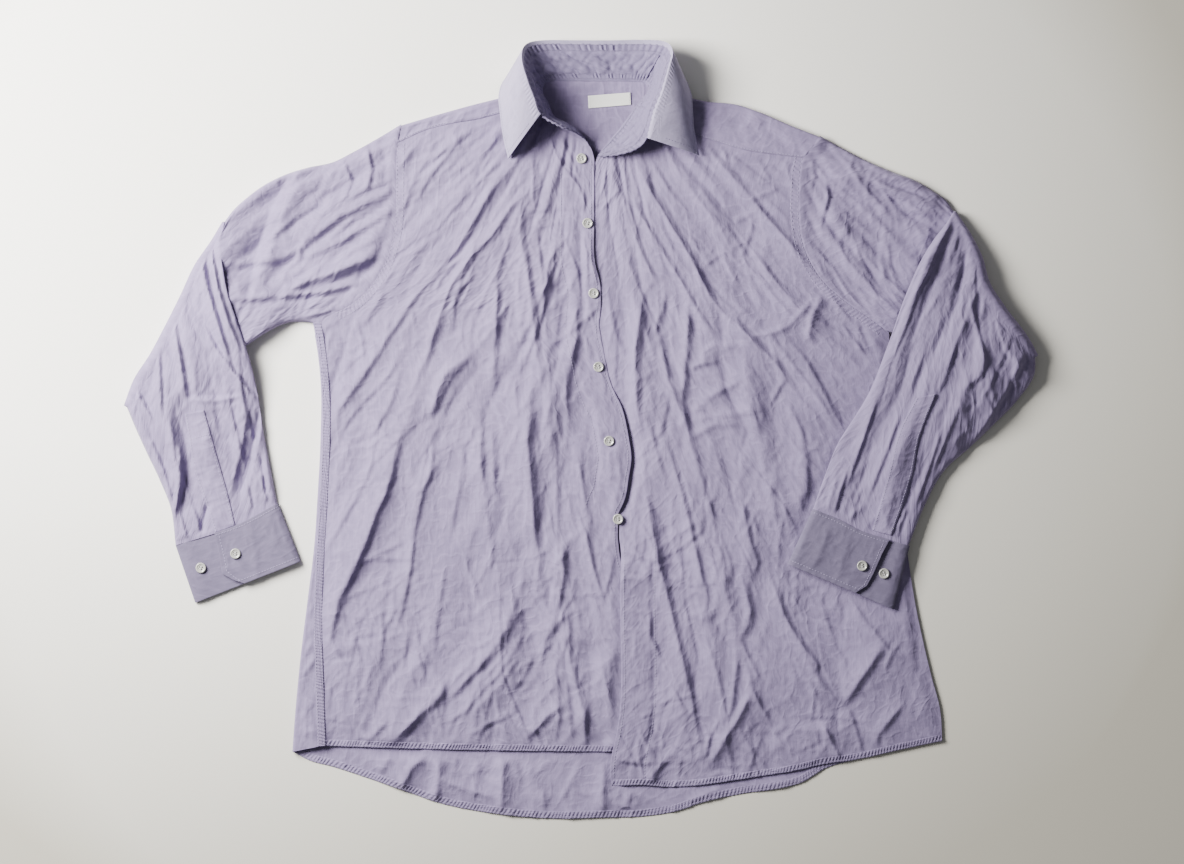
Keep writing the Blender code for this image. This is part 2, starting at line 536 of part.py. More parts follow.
def away_from_seams(u, v):
    """Nought on the seams round the chest, one at a short way from them."""
    calm = np.ones(np.shape(u))
    seams = (
        YOKE_SEAM_LEFT, YOKE_SEAM_RIGHT, ARMHOLE_LEFT_FRONT, ARMHOLE_RIGHT_FRONT, NECKLINE_LEFT, NECKLINE_RIGHT,
    )
    for line in seams:
        away, _ = distance_to(line, u, v)
        calm *= smooth_step(np.abs(away) / SEAM_CALM)
    return calm


def above_hem(hem, u, v):
    """How far up the table from a front's hem a plan place lies."""
    line = np.asarray(hem, float)
    return np.interp(u, line[:, 0], line[:, 1]) - v


def shaped_front(u, v, folds, hem, hidden):
    """Height of a front. Hidden is 1 where the other front lies over it."""
    body = smooth_step((v - BODY_TOP) / BODY_BLEND)
    right_edge = line_u(EDGE_RIGHT, v) - u
    left_edge = u - line_u(SIDE_SEAM, v)
    near_side = body * (1 - smooth_step(right_edge / SIDE_REACH))
    near_seam = body * (1 - smooth_step(left_edge / SIDE_SEAM_REACH))
    near_hem = (1 - smooth_step(above_hem(hem, u, v) / HEM_REACH)) * (1 - near_seam)
    level = front_level(u, v) - (FRONT_LEVEL - SIDE_EDGE_LEVEL) * near_side
    level += (SIDE_SEAM_LEVEL - FRONT_LEVEL) * near_seam
    level += (np.minimum(level, FRONT_HEM_LEVEL) - level) * near_hem
    calm = away_from_seams(u, v) * smooth_step(right_edge / SIDE_CALM) * (1 - near_seam)
    calm *= 1 - (1 - HEM_FOLD_SHARE) * near_hem
    folded = fold_height(folds, u, v) * calm
    covered = smooth_step(inside_polygon(COVERED_BY_SLEEVE, u, v) / SEAM_CALM)
    height = (level + folded) * (1 - covered) + np.minimum(level, COVERED_LEVEL) * covered
    height = np.maximum(height, np.where(right_edge < SIDE_REACH, SIDE_EDGE_LEVEL, FRONT_LOWEST))
    return height * (1 - hidden) + FRONT_UNDER_EDGE * hidden


def over_edge(height, away, drawn):
    """Lifts the lap of the front that lies on top, within its width from the free edge."""
    lap = (1 - smooth_step((away - LAP_WIDTH) / LAP_BLEND)) * drawn
    return np.maximum(height, FRONT_TOP_EDGE * lap)


def front_left_height(u, v):
    """Height of the left front, which laps over the right one down to the sixth button."""
    lower = smooth_step((v - LEFT_UNDER_START) / LAP_SWITCH_BLEND)
    hidden = smooth_step((u - line_u(CENTRE_RIGHT, v) + UNDER_LAP) / UNDER_LAP) * lower
    height = shaped_front(u, v, FRONT_LEFT_FOLDS, HEM_FRONT_LEFT, hidden)
    drawn = (1 - smooth_step((v - LEFT_LAP_END) / LAP_SWITCH_BLEND)) * smooth_step((v - LAP_TOP) / UNDER_LAP)
    return over_edge(height, line_u(CENTRE_LEFT, v) - u, drawn)


def front_right_height(u, v):
    """Height of the right front, which laps over the left one below the sixth button."""
    upper = (1 - smooth_step((v - RIGHT_UNDER_END) / LAP_SWITCH_BLEND)) * smooth_step((v - LAP_TOP) / UNDER_LAP)
    hidden = smooth_step((line_u(CENTRE_LEFT, v) + UNDER_LAP - u) / UNDER_LAP) * upper
    height = shaped_front(u, v, FRONT_RIGHT_FOLDS, HEM_FRONT_RIGHT, hidden)
    drawn = smooth_step((v - RIGHT_LAP_START) / LAP_SWITCH_BLEND)
    drawn *= smooth_step(above_hem(HEM_FRONT_RIGHT, u, v) / HEM_REACH)
    return over_edge(height, u - line_u(CENTRE_RIGHT, v), drawn)


def make_material(name, colour, roughness, metallic=0.0):
    """A Principled material."""
    material = bpy.data.materials.new(name)
    material.use_nodes = True
    shader = material.node_tree.nodes["Principled BSDF"]
    shader.inputs["Base Color"].default_value = colour
    shader.inputs["Roughness"].default_value = roughness
    shader.inputs["Metallic"].default_value = metallic
    return material


def make_sheet(name, grids, cloth, colour, roughness=0.85):
    """A piece of cloth from grids of (u, v, height) rows that share edges, given its thickness."""
    form = bmesh.new()
    for grid in grids:
        rows = [[form.verts.new(place(*point)) for point in row] for row in np.asarray(grid)]
        for above, below in zip(rows, rows[1:]):
            for i in range(len(above) - 1):
                form.faces.new((above[i], below[i], below[i + 1], above[i + 1]))
    bmesh.ops.remove_doubles(form, verts=form.verts, dist=1e-6)
    bmesh.ops.recalc_face_normals(form, faces=form.faces)
    mesh = bpy.data.meshes.new(name)
    form.to_mesh(mesh)
    form.free()
    piece = bpy.data.objects.new(name, mesh)
    bpy.context.scene.collection.objects.link(piece)
    wall = piece.modifiers.new("Wall", "SOLIDIFY")
    wall.thickness = cloth * MM
    wall.offset = 0.0
    wall.use_even_offset = True
    mesh.shade_smooth()
    mesh.materials.append(make_material(name, colour, roughness))
    return piece


def with_height(plan, height):
    """A grid of plan places with a height for each."""
    return np.concatenate([plan, np.broadcast_to(height, plan.shape[:-1])[..., None]], axis=-1)


def build_front_left():
    """The front whose edge carries the buttons."""
    top = chain((YOKE_SEAM_LEFT, 9), (NECKLINE_LEFT, 5))
    bottom = curve(HEM_FRONT_LEFT, spread(14))
    left = chain((ARMHOLE_LEFT_FRONT, 12), (SIDE_SEAM, 22))[1:-1]
    left = np.concatenate([top[:1], moved_aside(left, -2 * SEAM_GAP), bottom[:1]])
    right = chain((CENTRE_LEFT_UPPER, 11), (CENTRE_LEFT_MIDDLE, 10), (CENTRE_LEFT_CROSSING, 2), (CENTRE_LEFT_LOWER, 11))
    plan = patch(top, bottom, left, right)
    u, v = plan[..., 0], plan[..., 1]
    return make_sheet("front_left", [with_height(plan, front_left_height(u, v))], CLOTH, LILAC)


def build_front_right():
    """The front with the buttonholes."""
    top = chain((NECKLINE_RIGHT, 5), (YOKE_SEAM_RIGHT, 9))
    bottom = curve(HEM_FRONT_RIGHT, spread(14))
    left = chain((CENTRE_RIGHT_UPPER, 10), (CENTRE_RIGHT_MIDDLE, 10), (CENTRE_RIGHT_CROSSING, 2), (CENTRE_RIGHT_LOWER, 12))
    right = chain((ARMHOLE_RIGHT_FRONT, 12), (EDGE_RIGHT, 22))[1:-1]
    right = np.concatenate([top[-1:], moved_aside(right, 2 * SEAM_GAP), bottom[-1:]])
    plan = patch(top, bottom, left, right)
    u, v = plan[..., 0], plan[..., 1]
    return make_sheet("front_right", [with_height(plan, front_right_height(u, v))], CLOTH, LILAC)


def back_height(u, v):
    """Height of the back: flat on the table, with folds where it shows below the fronts."""
    shown = smooth_step((v - np.interp(u, *zip(*BACK_SHOWN_FROM))) / BACK_SHOWN_BLEND)
    return FLOOR_LAYER + np.maximum(fold_height(BACK_FOLDS, u, v) * shown, 0.0)


def turned_over(line, outward, low, high, steps=6):
    """Columns of a sheet that turns over at a line, from its low layer to its high one."""
    columns = []
    for angle in spread(steps) * math.pi:
        out = -np.asarray(outward) * (WRAP_DEPTH * (1 - math.sin(angle)) + CLOTH / 2)
        height = (low + high) / 2 - (high - low) / 2 * math.cos(angle)
        columns.append(with_height(line + out, height))
    return columns


def build_back():
    """The back: flat on the table, its left edge turned over up to the side seam."""
    left = chain((BACK_ARMHOLE_LEFT, 10), (EDGE_LEFT, 22))
    right = chain((BACK_ARMHOLE_RIGHT, 10), (EDGE_RIGHT, 22))
    bottom = curve(HEM_BACK, spread(26))
    wrap = turned_over(left[10:], (-1.0, 0.0), FLOOR_LAYER, SIDE_SEAM_LEVEL)
    left[10:] = wrap[0][:, :2]
    left[:10] = moved_aside(left[:11], -2 * SEAM_GAP)[:10]
    right[:11] = moved_aside(right[:11], 2 * SEAM_GAP)
    top = curve(YOKE_SEAM_BACK, spread(26)) + (0.0, SEAM_GAP)
    top[0], top[-1] = left[0], right[0]
    bottom[0], bottom[-1] = left[-1], right[-1]
    plan = patch(top, bottom, left, right)
    flat = with_height(plan, back_height(plan[..., 0], plan[..., 1]))
    flat[:, 0, 2] = FLOOR_LAYER
    seam = curve(((319.6, 334),) + SIDE_SEAM[1:], spread(22)) - (2 * SEAM_GAP, 0.0)
    over = [with_height(wrap[-1][:, :2] * (1 - f) + seam * f, SIDE_SEAM_LEVEL) for f in (0.5, 1.0)]
    return make_sheet("back", [flat, np.stack(wrap + over, 1)], CLOTH, LILAC)


def yoke_back_height(u, v):
    """Height of the yoke's under layer, raised to meet the collar at the back of the neck."""
    away, _ = distance_to(curve(NECKLINE_BACK, spread(10)), u, v)
    near_neck = 1 - smooth_step((np.abs(away) - COLLAR_CLOTH) / NECK_BACK_REACH)
    return FLOOR_LAYER + (NECK_BACK_LEVEL - FLOOR_LAYER) * near_neck


def yoke_top_height(u, v):
    """Height of the yoke where it lies over the shoulders."""
    from_neck = np.hypot(u - NECK_MIDDLE[0], v - NECK_MIDDLE[1])
    return SHOULDER_LEVEL + (NECK_LEVEL - SHOULDER_LEVEL) * np.exp(-((from_neck / NECK_REACH) ** 2))


def yoke_shoulder(line, seam):
    """Columns of the yoke from its under layer, over a shoulder and down to the front's seam."""
    outward = moved_aside(line, -1.0) - line
    low = yoke_back_height(line[:, 0], line[:, 1])
    high = yoke_top_height(line[:, 0], line[:, 1])
    columns = turned_over(line, outward, low, high, 5)
    front = curve(seam, spread(len(line) - 1)) - (0.0, 2 * SEAM_GAP)
    for share in (0.5, 1.0):
        plan = columns[5][:, :2] * (1 - share) + front * share
        columns.append(with_height(plan, yoke_top_height(plan[:, 0], plan[:, 1])))
    return columns


def build_yoke():
    """The yoke: under the neck and turned over both shoulders to the fronts."""
    left = yoke_shoulder(curve(SHOULDER_LEFT, spread(12)), YOKE_SEAM_LEFT)
    right = yoke_shoulder(curve(SHOULDER_RIGHT, spread(13)), YOKE_SEAM_RIGHT)
    back_neck = with_height(curve(NECKLINE_BACK, spread(10)), NECK_BACK_LEVEL)
    top = np.concatenate([left[0], back_neck[1:-1], right[0]])
    bottom = curve(YOKE_SEAM_BACK, share_along(top)) - (0.0, SEAM_GAP)
    sides = []
    for line, end, shift in ((YOKE_SIDE_LEFT, 0, -2 * SEAM_GAP), (YOKE_SIDE_RIGHT, -1, 2 * SEAM_GAP)):
        side = moved_aside(curve(line, spread(6)), shift)
        side[0], side[-1] = top[end, :2], bottom[end]
        sides.append(side)
    plan = patch(top[:, :2], bottom, *sides)
    flat = with_height(plan, yoke_back_height(plan[..., 0], plan[..., 1]))
    flat[0] = top
    return make_sheet("yoke", [flat, np.stack(left, 1), np.stack(right, 1)], CLOTH, LILAC)


def sleeve_form(sleeve, across, upper_steps, fold_steps, fore_steps):
    """Rings of a flattened sleeve, from the armhole over the elbow's fold to the cuff's seam."""
    s = np.array([place for place, _ in across])
    part = np.array([part for _, part in across])
    outward = np.outer(1 - s, sleeve.outward[0]) + np.outer(s, sleeve.outward[1])

    def middle(rows, along):
        table = [row[1:] for row in rows]
        found = blend(along, [row.along for row in rows], table)
        heights = np.array([np.interp(s, ACROSS_STATIONS, row[:4]) for row in found])
        return heights, found[:, 4]

    low_z, low_half = middle(UPPER_ARM_ROWS, spread(upper_steps))
    high_z, high_half = middle(sleeve.rows, spread(fore_steps))
    radius = (high_z[0] - low_z[-1]) / 2
    outline = curve(sleeve.fold, s)
    inset = outline - outward * (radius + low_half[-1] + CLOTH / 2)[:, None]
    armhole = curve(sleeve.armhole, s)
    over = curve((armhole[0],) + sleeve.over_upper + (tuple(inset[0]),), spread(upper_steps))
    under = curve((armhole[-1],) + sleeve.under_upper + (tuple(inset[-1]),), spread(upper_steps))
    upper = patch(armhole, inset, over, under)
    seam = curve(sleeve.cuff_seam, s)
    over = curve((tuple(inset[0]),) + sleeve.over_fore + (seam[0],), spread(fore_steps))
    under = curve((tuple(inset[-1]),) + sleeve.under_fore + (seam[-1],), spread(fore_steps))
    fore = patch(inset, seam, over, under)

    ring = np.concatenate([np.arange(len(s)), np.arange(len(s) - 2, -1, -1)])
    sign = np.concatenate([np.ones(len(s)), -np.ones(len(s) - 1)])
    gap = part[ring] * sign
    rings = []
    for i in range(upper_steps + 1):
        u, v = upper[i, ring, 0], upper[i, ring, 1]
        fade = smooth_step(i / 2) * smooth_step((upper_steps - i) / 2)
        fold = fold_height(sleeve.upper_folds, u, v) * fade * (gap < -0.9)
        rings.append(np.stack([u, v, low_z[i, ring] - gap * low_half[i] + fold], 1))
    for angle in spread(fold_steps)[1:-1] * math.pi:
        half = low_half[-1] + (high_half[0] - low_half[-1]) * angle / math.pi
        reach = (radius[ring] + gap * half) * math.sin(angle)
        height = (low_z[-1, ring] + high_z[0, ring]) / 2 - (radius[ring] + gap * half) * math.cos(angle)
        rings.append(np.concatenate([inset[ring] + outward[ring] * reach[:, None], height[:, None]], 1))
    for i in range(fore_steps + 1):
        u, v = fore[i, ring, 0], fore[i, ring, 1]
        fade = smooth_step(i / 2) * smooth_step((fore_steps - i) / 2)
        fold = fold_height(sleeve.fore_folds, u, v) * fade * (gap > 0.9)
        rings.append(np.stack([u, v, high_z[i, ring] + gap * high_half[i] + fold], 1))
    return np.array(rings)


def build_sleeve(name, sleeve):
    """A sleeve: one flattened tube whose forearm is folded over its upper arm."""
    rings = sleeve_form(sleeve, SLEEVE_ACROSS, UPPER_ARM_STEPS, FOLD_STEPS, FOREARM_STEPS)
    return make_sheet(name, [rings], CLOTH, LILAC)


def build_cuff(name, cuff):
    """A cuff: a band that goes round once and laps over itself."""
    columns = []
    for i, (across, layer) in enumerate(cuff.path):
        column = []
        for down in CUFF_DOWN:
            e = across
            if i == 0:
                e += np.interp(down, *zip(*cuff.free_end))
            u, v = curve(cuff.top, [e])[0] * (1 - down) + curve(cuff.bottom, [e])[0] * down
            column.append((u, v, cuff.base + layer * CUFF_LAYER))
        columns.append(column)
    return make_sheet(name, [np.array(columns)], CUFF_CLOTH, LILAC_LIGHT)


def collar_form(rows, down_steps):
    """The stand and the leaf of the collar as grids, a column for each row of the table."""
    neck = np.array([row.neck for row in rows])
    top = np.array([row.top for row in rows])
    up = top - neck
    up /= np.linalg.norm(up, axis=1)[:, None]
    stand = [neck + (top - neck) * share for share in spread(3)]
    leaf = []
    for i, row in enumerate(rows):
        if row.edge is None:
            continue
        edge = np.array(row.edge)
        start = top[i] + up[i] * LEAF_RISE
        bend = row.bend
        turn = np.append(start[:2] + (edge[:2] - start[:2]) * bend, edge[2] + (start[2] - edge[2]) * bend)
        t = spread(down_steps)[:, None]
        leaf.append((1 - t) ** 2 * start + 2 * t * (1 - t) * turn + t**2 * edge)
    return np.array(stand), np.array(leaf)


def between_rows(rows):
    """The collar's rows with one more set between each two of them."""
    found = []
    for i, row in enumerate(rows):
        found.append(row)
        if i + 1 == len(rows):
            break
        after = rows[i + 1]
        at = [i + 0.5]
        neck, top = (blend(at, range(len(rows)), [getattr(r, key) for r in rows])[0] for key in ("neck", "top"))
        edge = None
        if row.edge is not None and after.edge is not None:
            with_edge = [(k, r.edge) for k, r in enumerate(rows) if r.edge is not None]
            edge = blend(at, [k for k, _ in with_edge], [e for _, e in with_edge])[0]
        found.append(CollarRow(neck, top, edge, (row.bend + after.bend) / 2))
    return found


def build_collar():
    """The collar's stand and its leaf."""
    stand, leaf = collar_form(between_rows(COLLAR_ROWS), 6)
    make_sheet("collar_stand", [stand], COLLAR_CLOTH, LILAC_LIGHT)
    make_sheet("collar_leaf", [leaf], COLLAR_CLOTH, LILAC_LIGHT)


def surface_of(piece):
    """A tree of a piece's surface that rays can meet."""
    bpy.context.view_layer.update()
    return BVHTree.FromObject(piece, bpy.context.evaluated_depsgraph_get())


def height_on(trees, u, v, reach):
    """The highest place of the pieces within reach of a plan place, in millimetres."""
    heights = []
    for du, dv in ((0, 0), (1, 0), (-1, 0), (0, 1), (0, -1), (0.7, 0.7), (-0.7, 0.7), (0.7, -0.7), (-0.7, -0.7)):
        start = Vector(place(u + du * reach, v + dv * reach, 200.0))
        for tree in trees:
            hit = tree.ray_cast(start, Vector((0.0, 0.0, -1.0)))[0]
            if hit is not None:
                heights.append(hit.z / MM)
    return max(heights)


def build_strip(name, edges, steps, cloth, colour, piece, reach):
    """A strip that lies on a piece, between two edges given in plan."""
    tree = surface_of(piece)
    first, last = (curve(edge, spread(steps[0])) for edge in edges)
    plan = np.stack([first * (1 - share) + last * share for share in spread(steps[1])], 1)
    heights = np.array([[height_on([tree], u, v, reach) for u, v in row] for row in plan])
    return make_sheet(name, [with_height(plan, heights + SEAT_GAP + cloth / 2)], cloth, colour)


def build_button(name, u, v, pieces):
    """A button with a raised rim, seated flat on the cloth below it."""
    seat = height_on([surface_of(piece) for piece in pieces], u, v, BUTTON_RADIUS) + SEAT_GAP
    form = bmesh.new()
    rings = []
    for radius, height in BUTTON_PROFILE:
        ring = []
        for i in range(BUTTON_SIDES):
            angle = 2 * math.pi * i / BUTTON_SIDES
            ring.append(form.verts.new(place(u + radius * math.cos(angle), v + radius * math.sin(angle), seat + height)))
        rings.append(ring)
    for low, high in zip(rings, rings[1:]):
        for i in range(BUTTON_SIDES):
            form.faces.new((low[i - 1], low[i], high[i], high[i - 1]))
    form.faces.new(rings[0])
    form.faces.new(rings[-1])
    bmesh.ops.recalc_face_normals(form, faces=form.faces)
    mesh = bpy.data.meshes.new(name)
    form.to_mesh(mesh)
    form.free()
    mesh.materials.append(make_material(name, PEARL, 0.2))
    button = bpy.data.objects.new(name, mesh)
    bpy.context.scene.collection.objects.link(button)
    return button


def main():
    """Clears the scene and builds every piece."""
    for item in list(bpy.data.objects):
        bpy.data.objects.remove(item, do_unlink=True)
    build_back()
    yoke = build_yoke()
    front_left = build_front_left()
    front_right = build_front_right()
    sleeve_left = build_sleeve("sleeve_left", SLEEVE_LEFT)
    sleeve_right = build_sleeve("sleeve_right", SLEEVE_RIGHT)
    build_strip("sleeve_placket_left", PLACKET_LEFT, (12, 2), CLOTH, LILAC, sleeve_left, STRIP_REACH)
    build_strip("sleeve_placket_right", PLACKET_RIGHT, (12, 2), CLOTH, LILAC, sleeve_right, STRIP_REACH)
    cuff_left = build_cuff("cuff_left", CUFF_LEFT)
    cuff_right = build_cuff("cuff_right", CUFF_RIGHT)
    build_collar()
    label = (LABEL_CORNERS[0], LABEL_CORNERS[1]), (LABEL_CORNERS[3], LABEL_CORNERS[2])
    build_strip("neck_label", label, LABEL_STEPS, LABEL_CLOTH, LABEL_WHITE, yoke, LABEL_REACH)
    for number, (u, v) in enumerate(FRONT_BUTTONS, 1):
        build_button(f"front_button_{number}", u, v, (front_left, front_right))
    for number, (u, v) in enumerate(CUFF_BUTTONS, 1):
        build_button(f"cuff_button_{number}", u, v, (cuff_left, cuff_right))


if __name__ == "__main__":
    main()
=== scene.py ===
"""A crumpled lilac button-front shirt, dressed for its photograph.

The cloth is laid out with the same plan lines and heights as the solids it stands for. Plan
places are in millimetres on the laying table: u runs to the right and v from the collar
towards the hem. Heights are in millimetres above the table. Left and right are as seen from
above.
"""

import json
import logging
import math
from dataclasses import dataclass, field, replace
from enum import Enum
from functools import cached_property
from typing import Callable, NamedTuple, Sequence

import bmesh
import bpy
import numpy as np
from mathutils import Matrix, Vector
from mathutils.bvhtree import BVHTree

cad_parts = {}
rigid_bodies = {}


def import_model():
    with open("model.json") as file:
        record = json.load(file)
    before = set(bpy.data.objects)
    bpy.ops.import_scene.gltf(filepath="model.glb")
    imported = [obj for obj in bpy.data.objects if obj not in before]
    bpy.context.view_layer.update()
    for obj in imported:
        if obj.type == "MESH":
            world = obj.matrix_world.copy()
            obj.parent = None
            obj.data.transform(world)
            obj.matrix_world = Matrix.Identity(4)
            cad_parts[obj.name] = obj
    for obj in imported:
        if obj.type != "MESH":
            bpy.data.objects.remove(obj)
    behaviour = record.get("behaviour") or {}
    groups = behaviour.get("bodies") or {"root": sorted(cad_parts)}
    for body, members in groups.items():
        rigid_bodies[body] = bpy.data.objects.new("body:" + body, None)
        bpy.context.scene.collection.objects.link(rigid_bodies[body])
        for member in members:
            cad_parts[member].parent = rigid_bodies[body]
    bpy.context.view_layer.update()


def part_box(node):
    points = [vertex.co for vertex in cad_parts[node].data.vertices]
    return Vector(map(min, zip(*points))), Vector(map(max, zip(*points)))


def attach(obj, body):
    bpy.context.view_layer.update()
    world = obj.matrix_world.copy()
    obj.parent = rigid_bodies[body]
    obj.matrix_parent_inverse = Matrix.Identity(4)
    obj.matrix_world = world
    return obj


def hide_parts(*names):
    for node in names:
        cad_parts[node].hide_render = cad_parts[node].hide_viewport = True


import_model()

LOG = logging.getLogger("shirt")

Plan = Sequence[tuple[float, float]]
Heights = Callable[[np.ndarray, np.ndarray], np.ndarray]

MM = 0.001
TABLE_MIDDLE_U = 581.0
TABLE_MIDDLE_V = 429.8
PHOTO_WIDTH = 1184
PHOTO_HEIGHT = 864
CLOTH_LENGTHS = "cloth_lengths"

LILAC = (0.262, 0.214, 0.358, 1.0)
LILAC_DEEP = (0.158, 0.125, 0.228, 1.0)
# Painted light: the collar leaf's cotton is a lighter copy of the lilac, standing in for the light that falls
# on the leaf.
LEAF_LIT_LILAC = (0.335, 0.295, 0.432, 1.0)
LEAF_LIT_LILAC_DEEP = (0.25, 0.222, 0.335, 1.0)
# Painted shade: the collar stand's cotton is a darker copy of the lilac, standing in for the shade inside the
# stand.
STAND_SHADED_LILAC = (0.205, 0.172, 0.288, 1.0)
STAND_SHADED_LILAC_DEEP = (0.135, 0.111, 0.20, 1.0)
# Painted shade: the cuffs' cotton is a darker copy of the lilac, standing in for the shade on the tilted
# cuffs.
CUFF_SHADED_LILAC = (0.150, 0.127, 0.205, 1.0)
CUFF_SHADED_LILAC_DEEP = (0.10, 0.084, 0.14, 1.0)

# How the visible cloth lies against its solids and its neighbours.
OVER_SOLID = 0.4
UNDER_SEAM = 1.6
SEAM_RISE = 0.45
UNDER_LAP_CLOSE = 6.6
LAP_LEVEL = 7.8
HEM_EDGE_LEVEL = 2.7
LOWEST_FRONT = 1.5
LOWEST_SLEEVE = 0.25

# How strong the folds and the creases are, how sharp their crests are, and how they fade at their ends.
FOLD_SHARE = 0.78
LOWER_CREASED = 0.3
CREASE_GAIN = 1.02
SLEEVE_CREASE_GAIN = 1.25
SHARP = 1.15
BACK_SHARP = 1.2
END_FADE = 0.3
END_FADE_PAST = 0.08

# Along a stitch: the share of its length from its middle, and its thickness there.
STITCH_SHARES = np.array([-0.5, -0.2, 0.2, 0.5])
STITCH_SWELL = np.array([0.25, 1.0, 1.0, 0.25])
UP = np.array([0.0, 0.0, 1.0])

# Across a sewn band: the share from its middle to its edge, and how high it stands there.
BAND_PROFILE = (
    (-1.0, -0.3), (-0.93, 0.5), (-0.72, 0.8), (-0.4, 0.9), (0.0, 0.95), (0.3, 0.9), (0.55, 0.7), (0.75, 0.8),
    (0.93, 0.5), (1.0, -0.3),
)

# The solids' thickness, and heights of the middle of the cloth above the table.
CLOTH = 1.2
COLLAR_CLOTH = 1.6
CUFF_CLOTH = 1.8
FLOOR_LAYER = CLOTH / 2
FRONT_LEVEL = 6.2
FRONT_HEM_LEVEL = 3.2
FRONT_UNDER_EDGE = 3.4
SIDE_EDGE_LEVEL = 2.2
SIDE_SEAM_LEVEL = 5.9
SHOULDER_LEVEL = 7.6
NECK_LEVEL = 9.0
NECK_BACK_LEVEL = 4.2
COVERED_LEVEL = 5.0

# Where the fronts' height changes, and over what distance.
BODY_TOP = 318.0
BODY_BLEND = 30.0
CHEST_TOP = 130.0
CHEST_BLEND = 150.0
NECK_MIDDLE = (592.0, 128.0)
NECK_REACH = 75.0
ARMHOLES_U = (390.0, 804.0)
ARMHOLE_REACH = 60.0
SIDE_REACH = 16.0
SIDE_CALM = 24.0
SIDE_SEAM_REACH = 22.0
SEAM_CALM = 14.0
HEM_REACH = 34.0
HEM_FOLD_SHARE = 0.6
LAP_WIDTH = 26.0
LAP_BLEND = 22.0
UNDER_LAP = 13.0
LAP_TOP = 158.0
LAP_SWITCH_BLEND = 27.0
LEFT_LAP_END = 522.0
RIGHT_UNDER_END = 516.0
LEFT_UNDER_START = 528.0
RIGHT_LAP_START = 540.0
GAPE_TOP = 385.0
GAPE_END = 500.0
LOWER_FROM = 330.0
LOWER_BLEND = 200.0

# How near to a seam, a side, a button or a hem the small creases end, and how deep they may be.
SEAM_TIGHT = 15.0
SIDE_SEAM_TIGHT = 12.0
SIDE_TIGHT = 10.0
PAST_SIDE = 400.0
BUTTON_TIGHT_FROM = 5.0
BUTTON_TIGHT = 6.0
HEM_TURN = 9.0
COVERED_SMOOTH = 0.9
HIDDEN_SMOOTH = 0.85
LAP_TROUGH = -0.9

# Where the back comes out from under the fronts, in plan.
BACK_SHOWN_FROM = ((320, 756), (612, 762), (640, 793), (730, 788), (900, 765))
BACK_SHOWN_BLEND = 8.0
NECK_BACK_REACH = 24.0

# How far the back turns over, how far the leaf rises over the stand, and where the collar's tab is.
WRAP_DEPTH = 2.2
LEAF_RISE = 2.5
TAB_FROM = 645.0
TAB_TO = 656.0

# Seams and outlines of the pieces, in plan.
ARMHOLE_LEFT_YOKE = ((400, 125.5), (398.3, 134), (396.6, 143))
ARMHOLE_LEFT_FRONT = (
    (396.6, 143), (395.6, 170), (395.3, 196), (394.4, 223), (389, 250),
    (379, 273), (361, 296), (345, 307.5), (331, 314), (322.5, 319), (319, 324.5),
)
ARMHOLE_RIGHT_YOKE = ((821, 137), (812.3, 147.5), (803.5, 158))
ARMHOLE_RIGHT_FRONT = (
    (803.5, 158), (800.6, 172), (799.4, 190), (799.4, 218), (805, 249), (820, 277),
    (848, 303), (874, 321), (888.5, 332),
)
SHOULDER_LEFT = ((400.9, 125.2), (432, 116), (462, 107.5), (499, 98), (522, 92.5), (541, 88))
SHOULDER_RIGHT = (
    (650, 87), (672, 92), (692, 98), (705, 101), (735, 104), (760, 112), (790, 125), (819.4, 136.4),
)
YOKE_SEAM_LEFT = ((397.5, 142.7), (429, 129), (455, 123), (474, 120), (505, 112), (547.5, 104))
YOKE_SEAM_RIGHT = ((636, 108), (665, 120), (695, 135), (716, 142), (746, 150.6), (777, 155), (802.7, 157.9))
BACK_ARMHOLE_LEFT = ARMHOLE_LEFT_FRONT[1:-1] + ((318.5, 328), (314.5, 330))
BACK_ARMHOLE_RIGHT = ARMHOLE_RIGHT_FRONT[2:]
YOKE_SIDE_LEFT = ARMHOLE_LEFT_YOKE + ((395.6, 170),)
YOKE_SIDE_RIGHT = ARMHOLE_RIGHT_YOKE + ((800.6, 172), (799.4, 190))
YOKE_SEAM_BACK = ((395.6, 170), (450, 158), (520, 150), (600, 148), (680, 151), (750, 168), (799.4, 190))
NECKLINE_LEFT = ((547.5, 104), (553.5, 117), (566, 124), (577, 131), (586.5, 141.5))
NECKLINE_RIGHT = ((597.5, 157), (608, 144.5), (621, 129.6), (636, 108))
NECKLINE_BACK = ((541, 88), (545, 82.5), (553, 81), (590, 80.6), (633, 81), (645, 82), (650, 87))
EDGE_LEFT = (
    (313.5, 331), (316, 345), (320, 380), (320, 440), (317, 497),
    (314, 543), (307, 601), (300, 658), (294.6, 715), (292, 751),
)
SIDE_SEAM = (
    (319, 324.5), (321.5, 345), (326.5, 400), (325, 480), (320.5, 560), (318.5, 620), (320, 680),
    (322, 745.5),
)
EDGE_RIGHT = (
    (888.5, 332), (892, 390), (898, 450), (903, 520), (907.6, 555),
    (914.5, 601), (921.4, 635), (930.6, 674), (940, 711), (942, 740.7),
)
CENTRE_LEFT_UPPER = (
    (586.5, 141.5), (591, 149), (593.6, 157), (594, 175), (594, 220), (594.5, 262), (600, 286),
    (600.5, 305), (598.5, 325),
)
CENTRE_LEFT_MIDDLE = (
    (598.5, 325), (604, 355), (611, 385), (621, 406), (628.4, 438), (631, 457), (628.4, 477),
    (624, 500), (617.5, 514),
)
CENTRE_LEFT_CROSSING = ((617.5, 514), (617.5, 525), (617.5, 537))
CENTRE_LEFT_LOWER = ((617.5, 537), (619, 553), (624, 575), (633, 620), (639, 680), (641, 752))
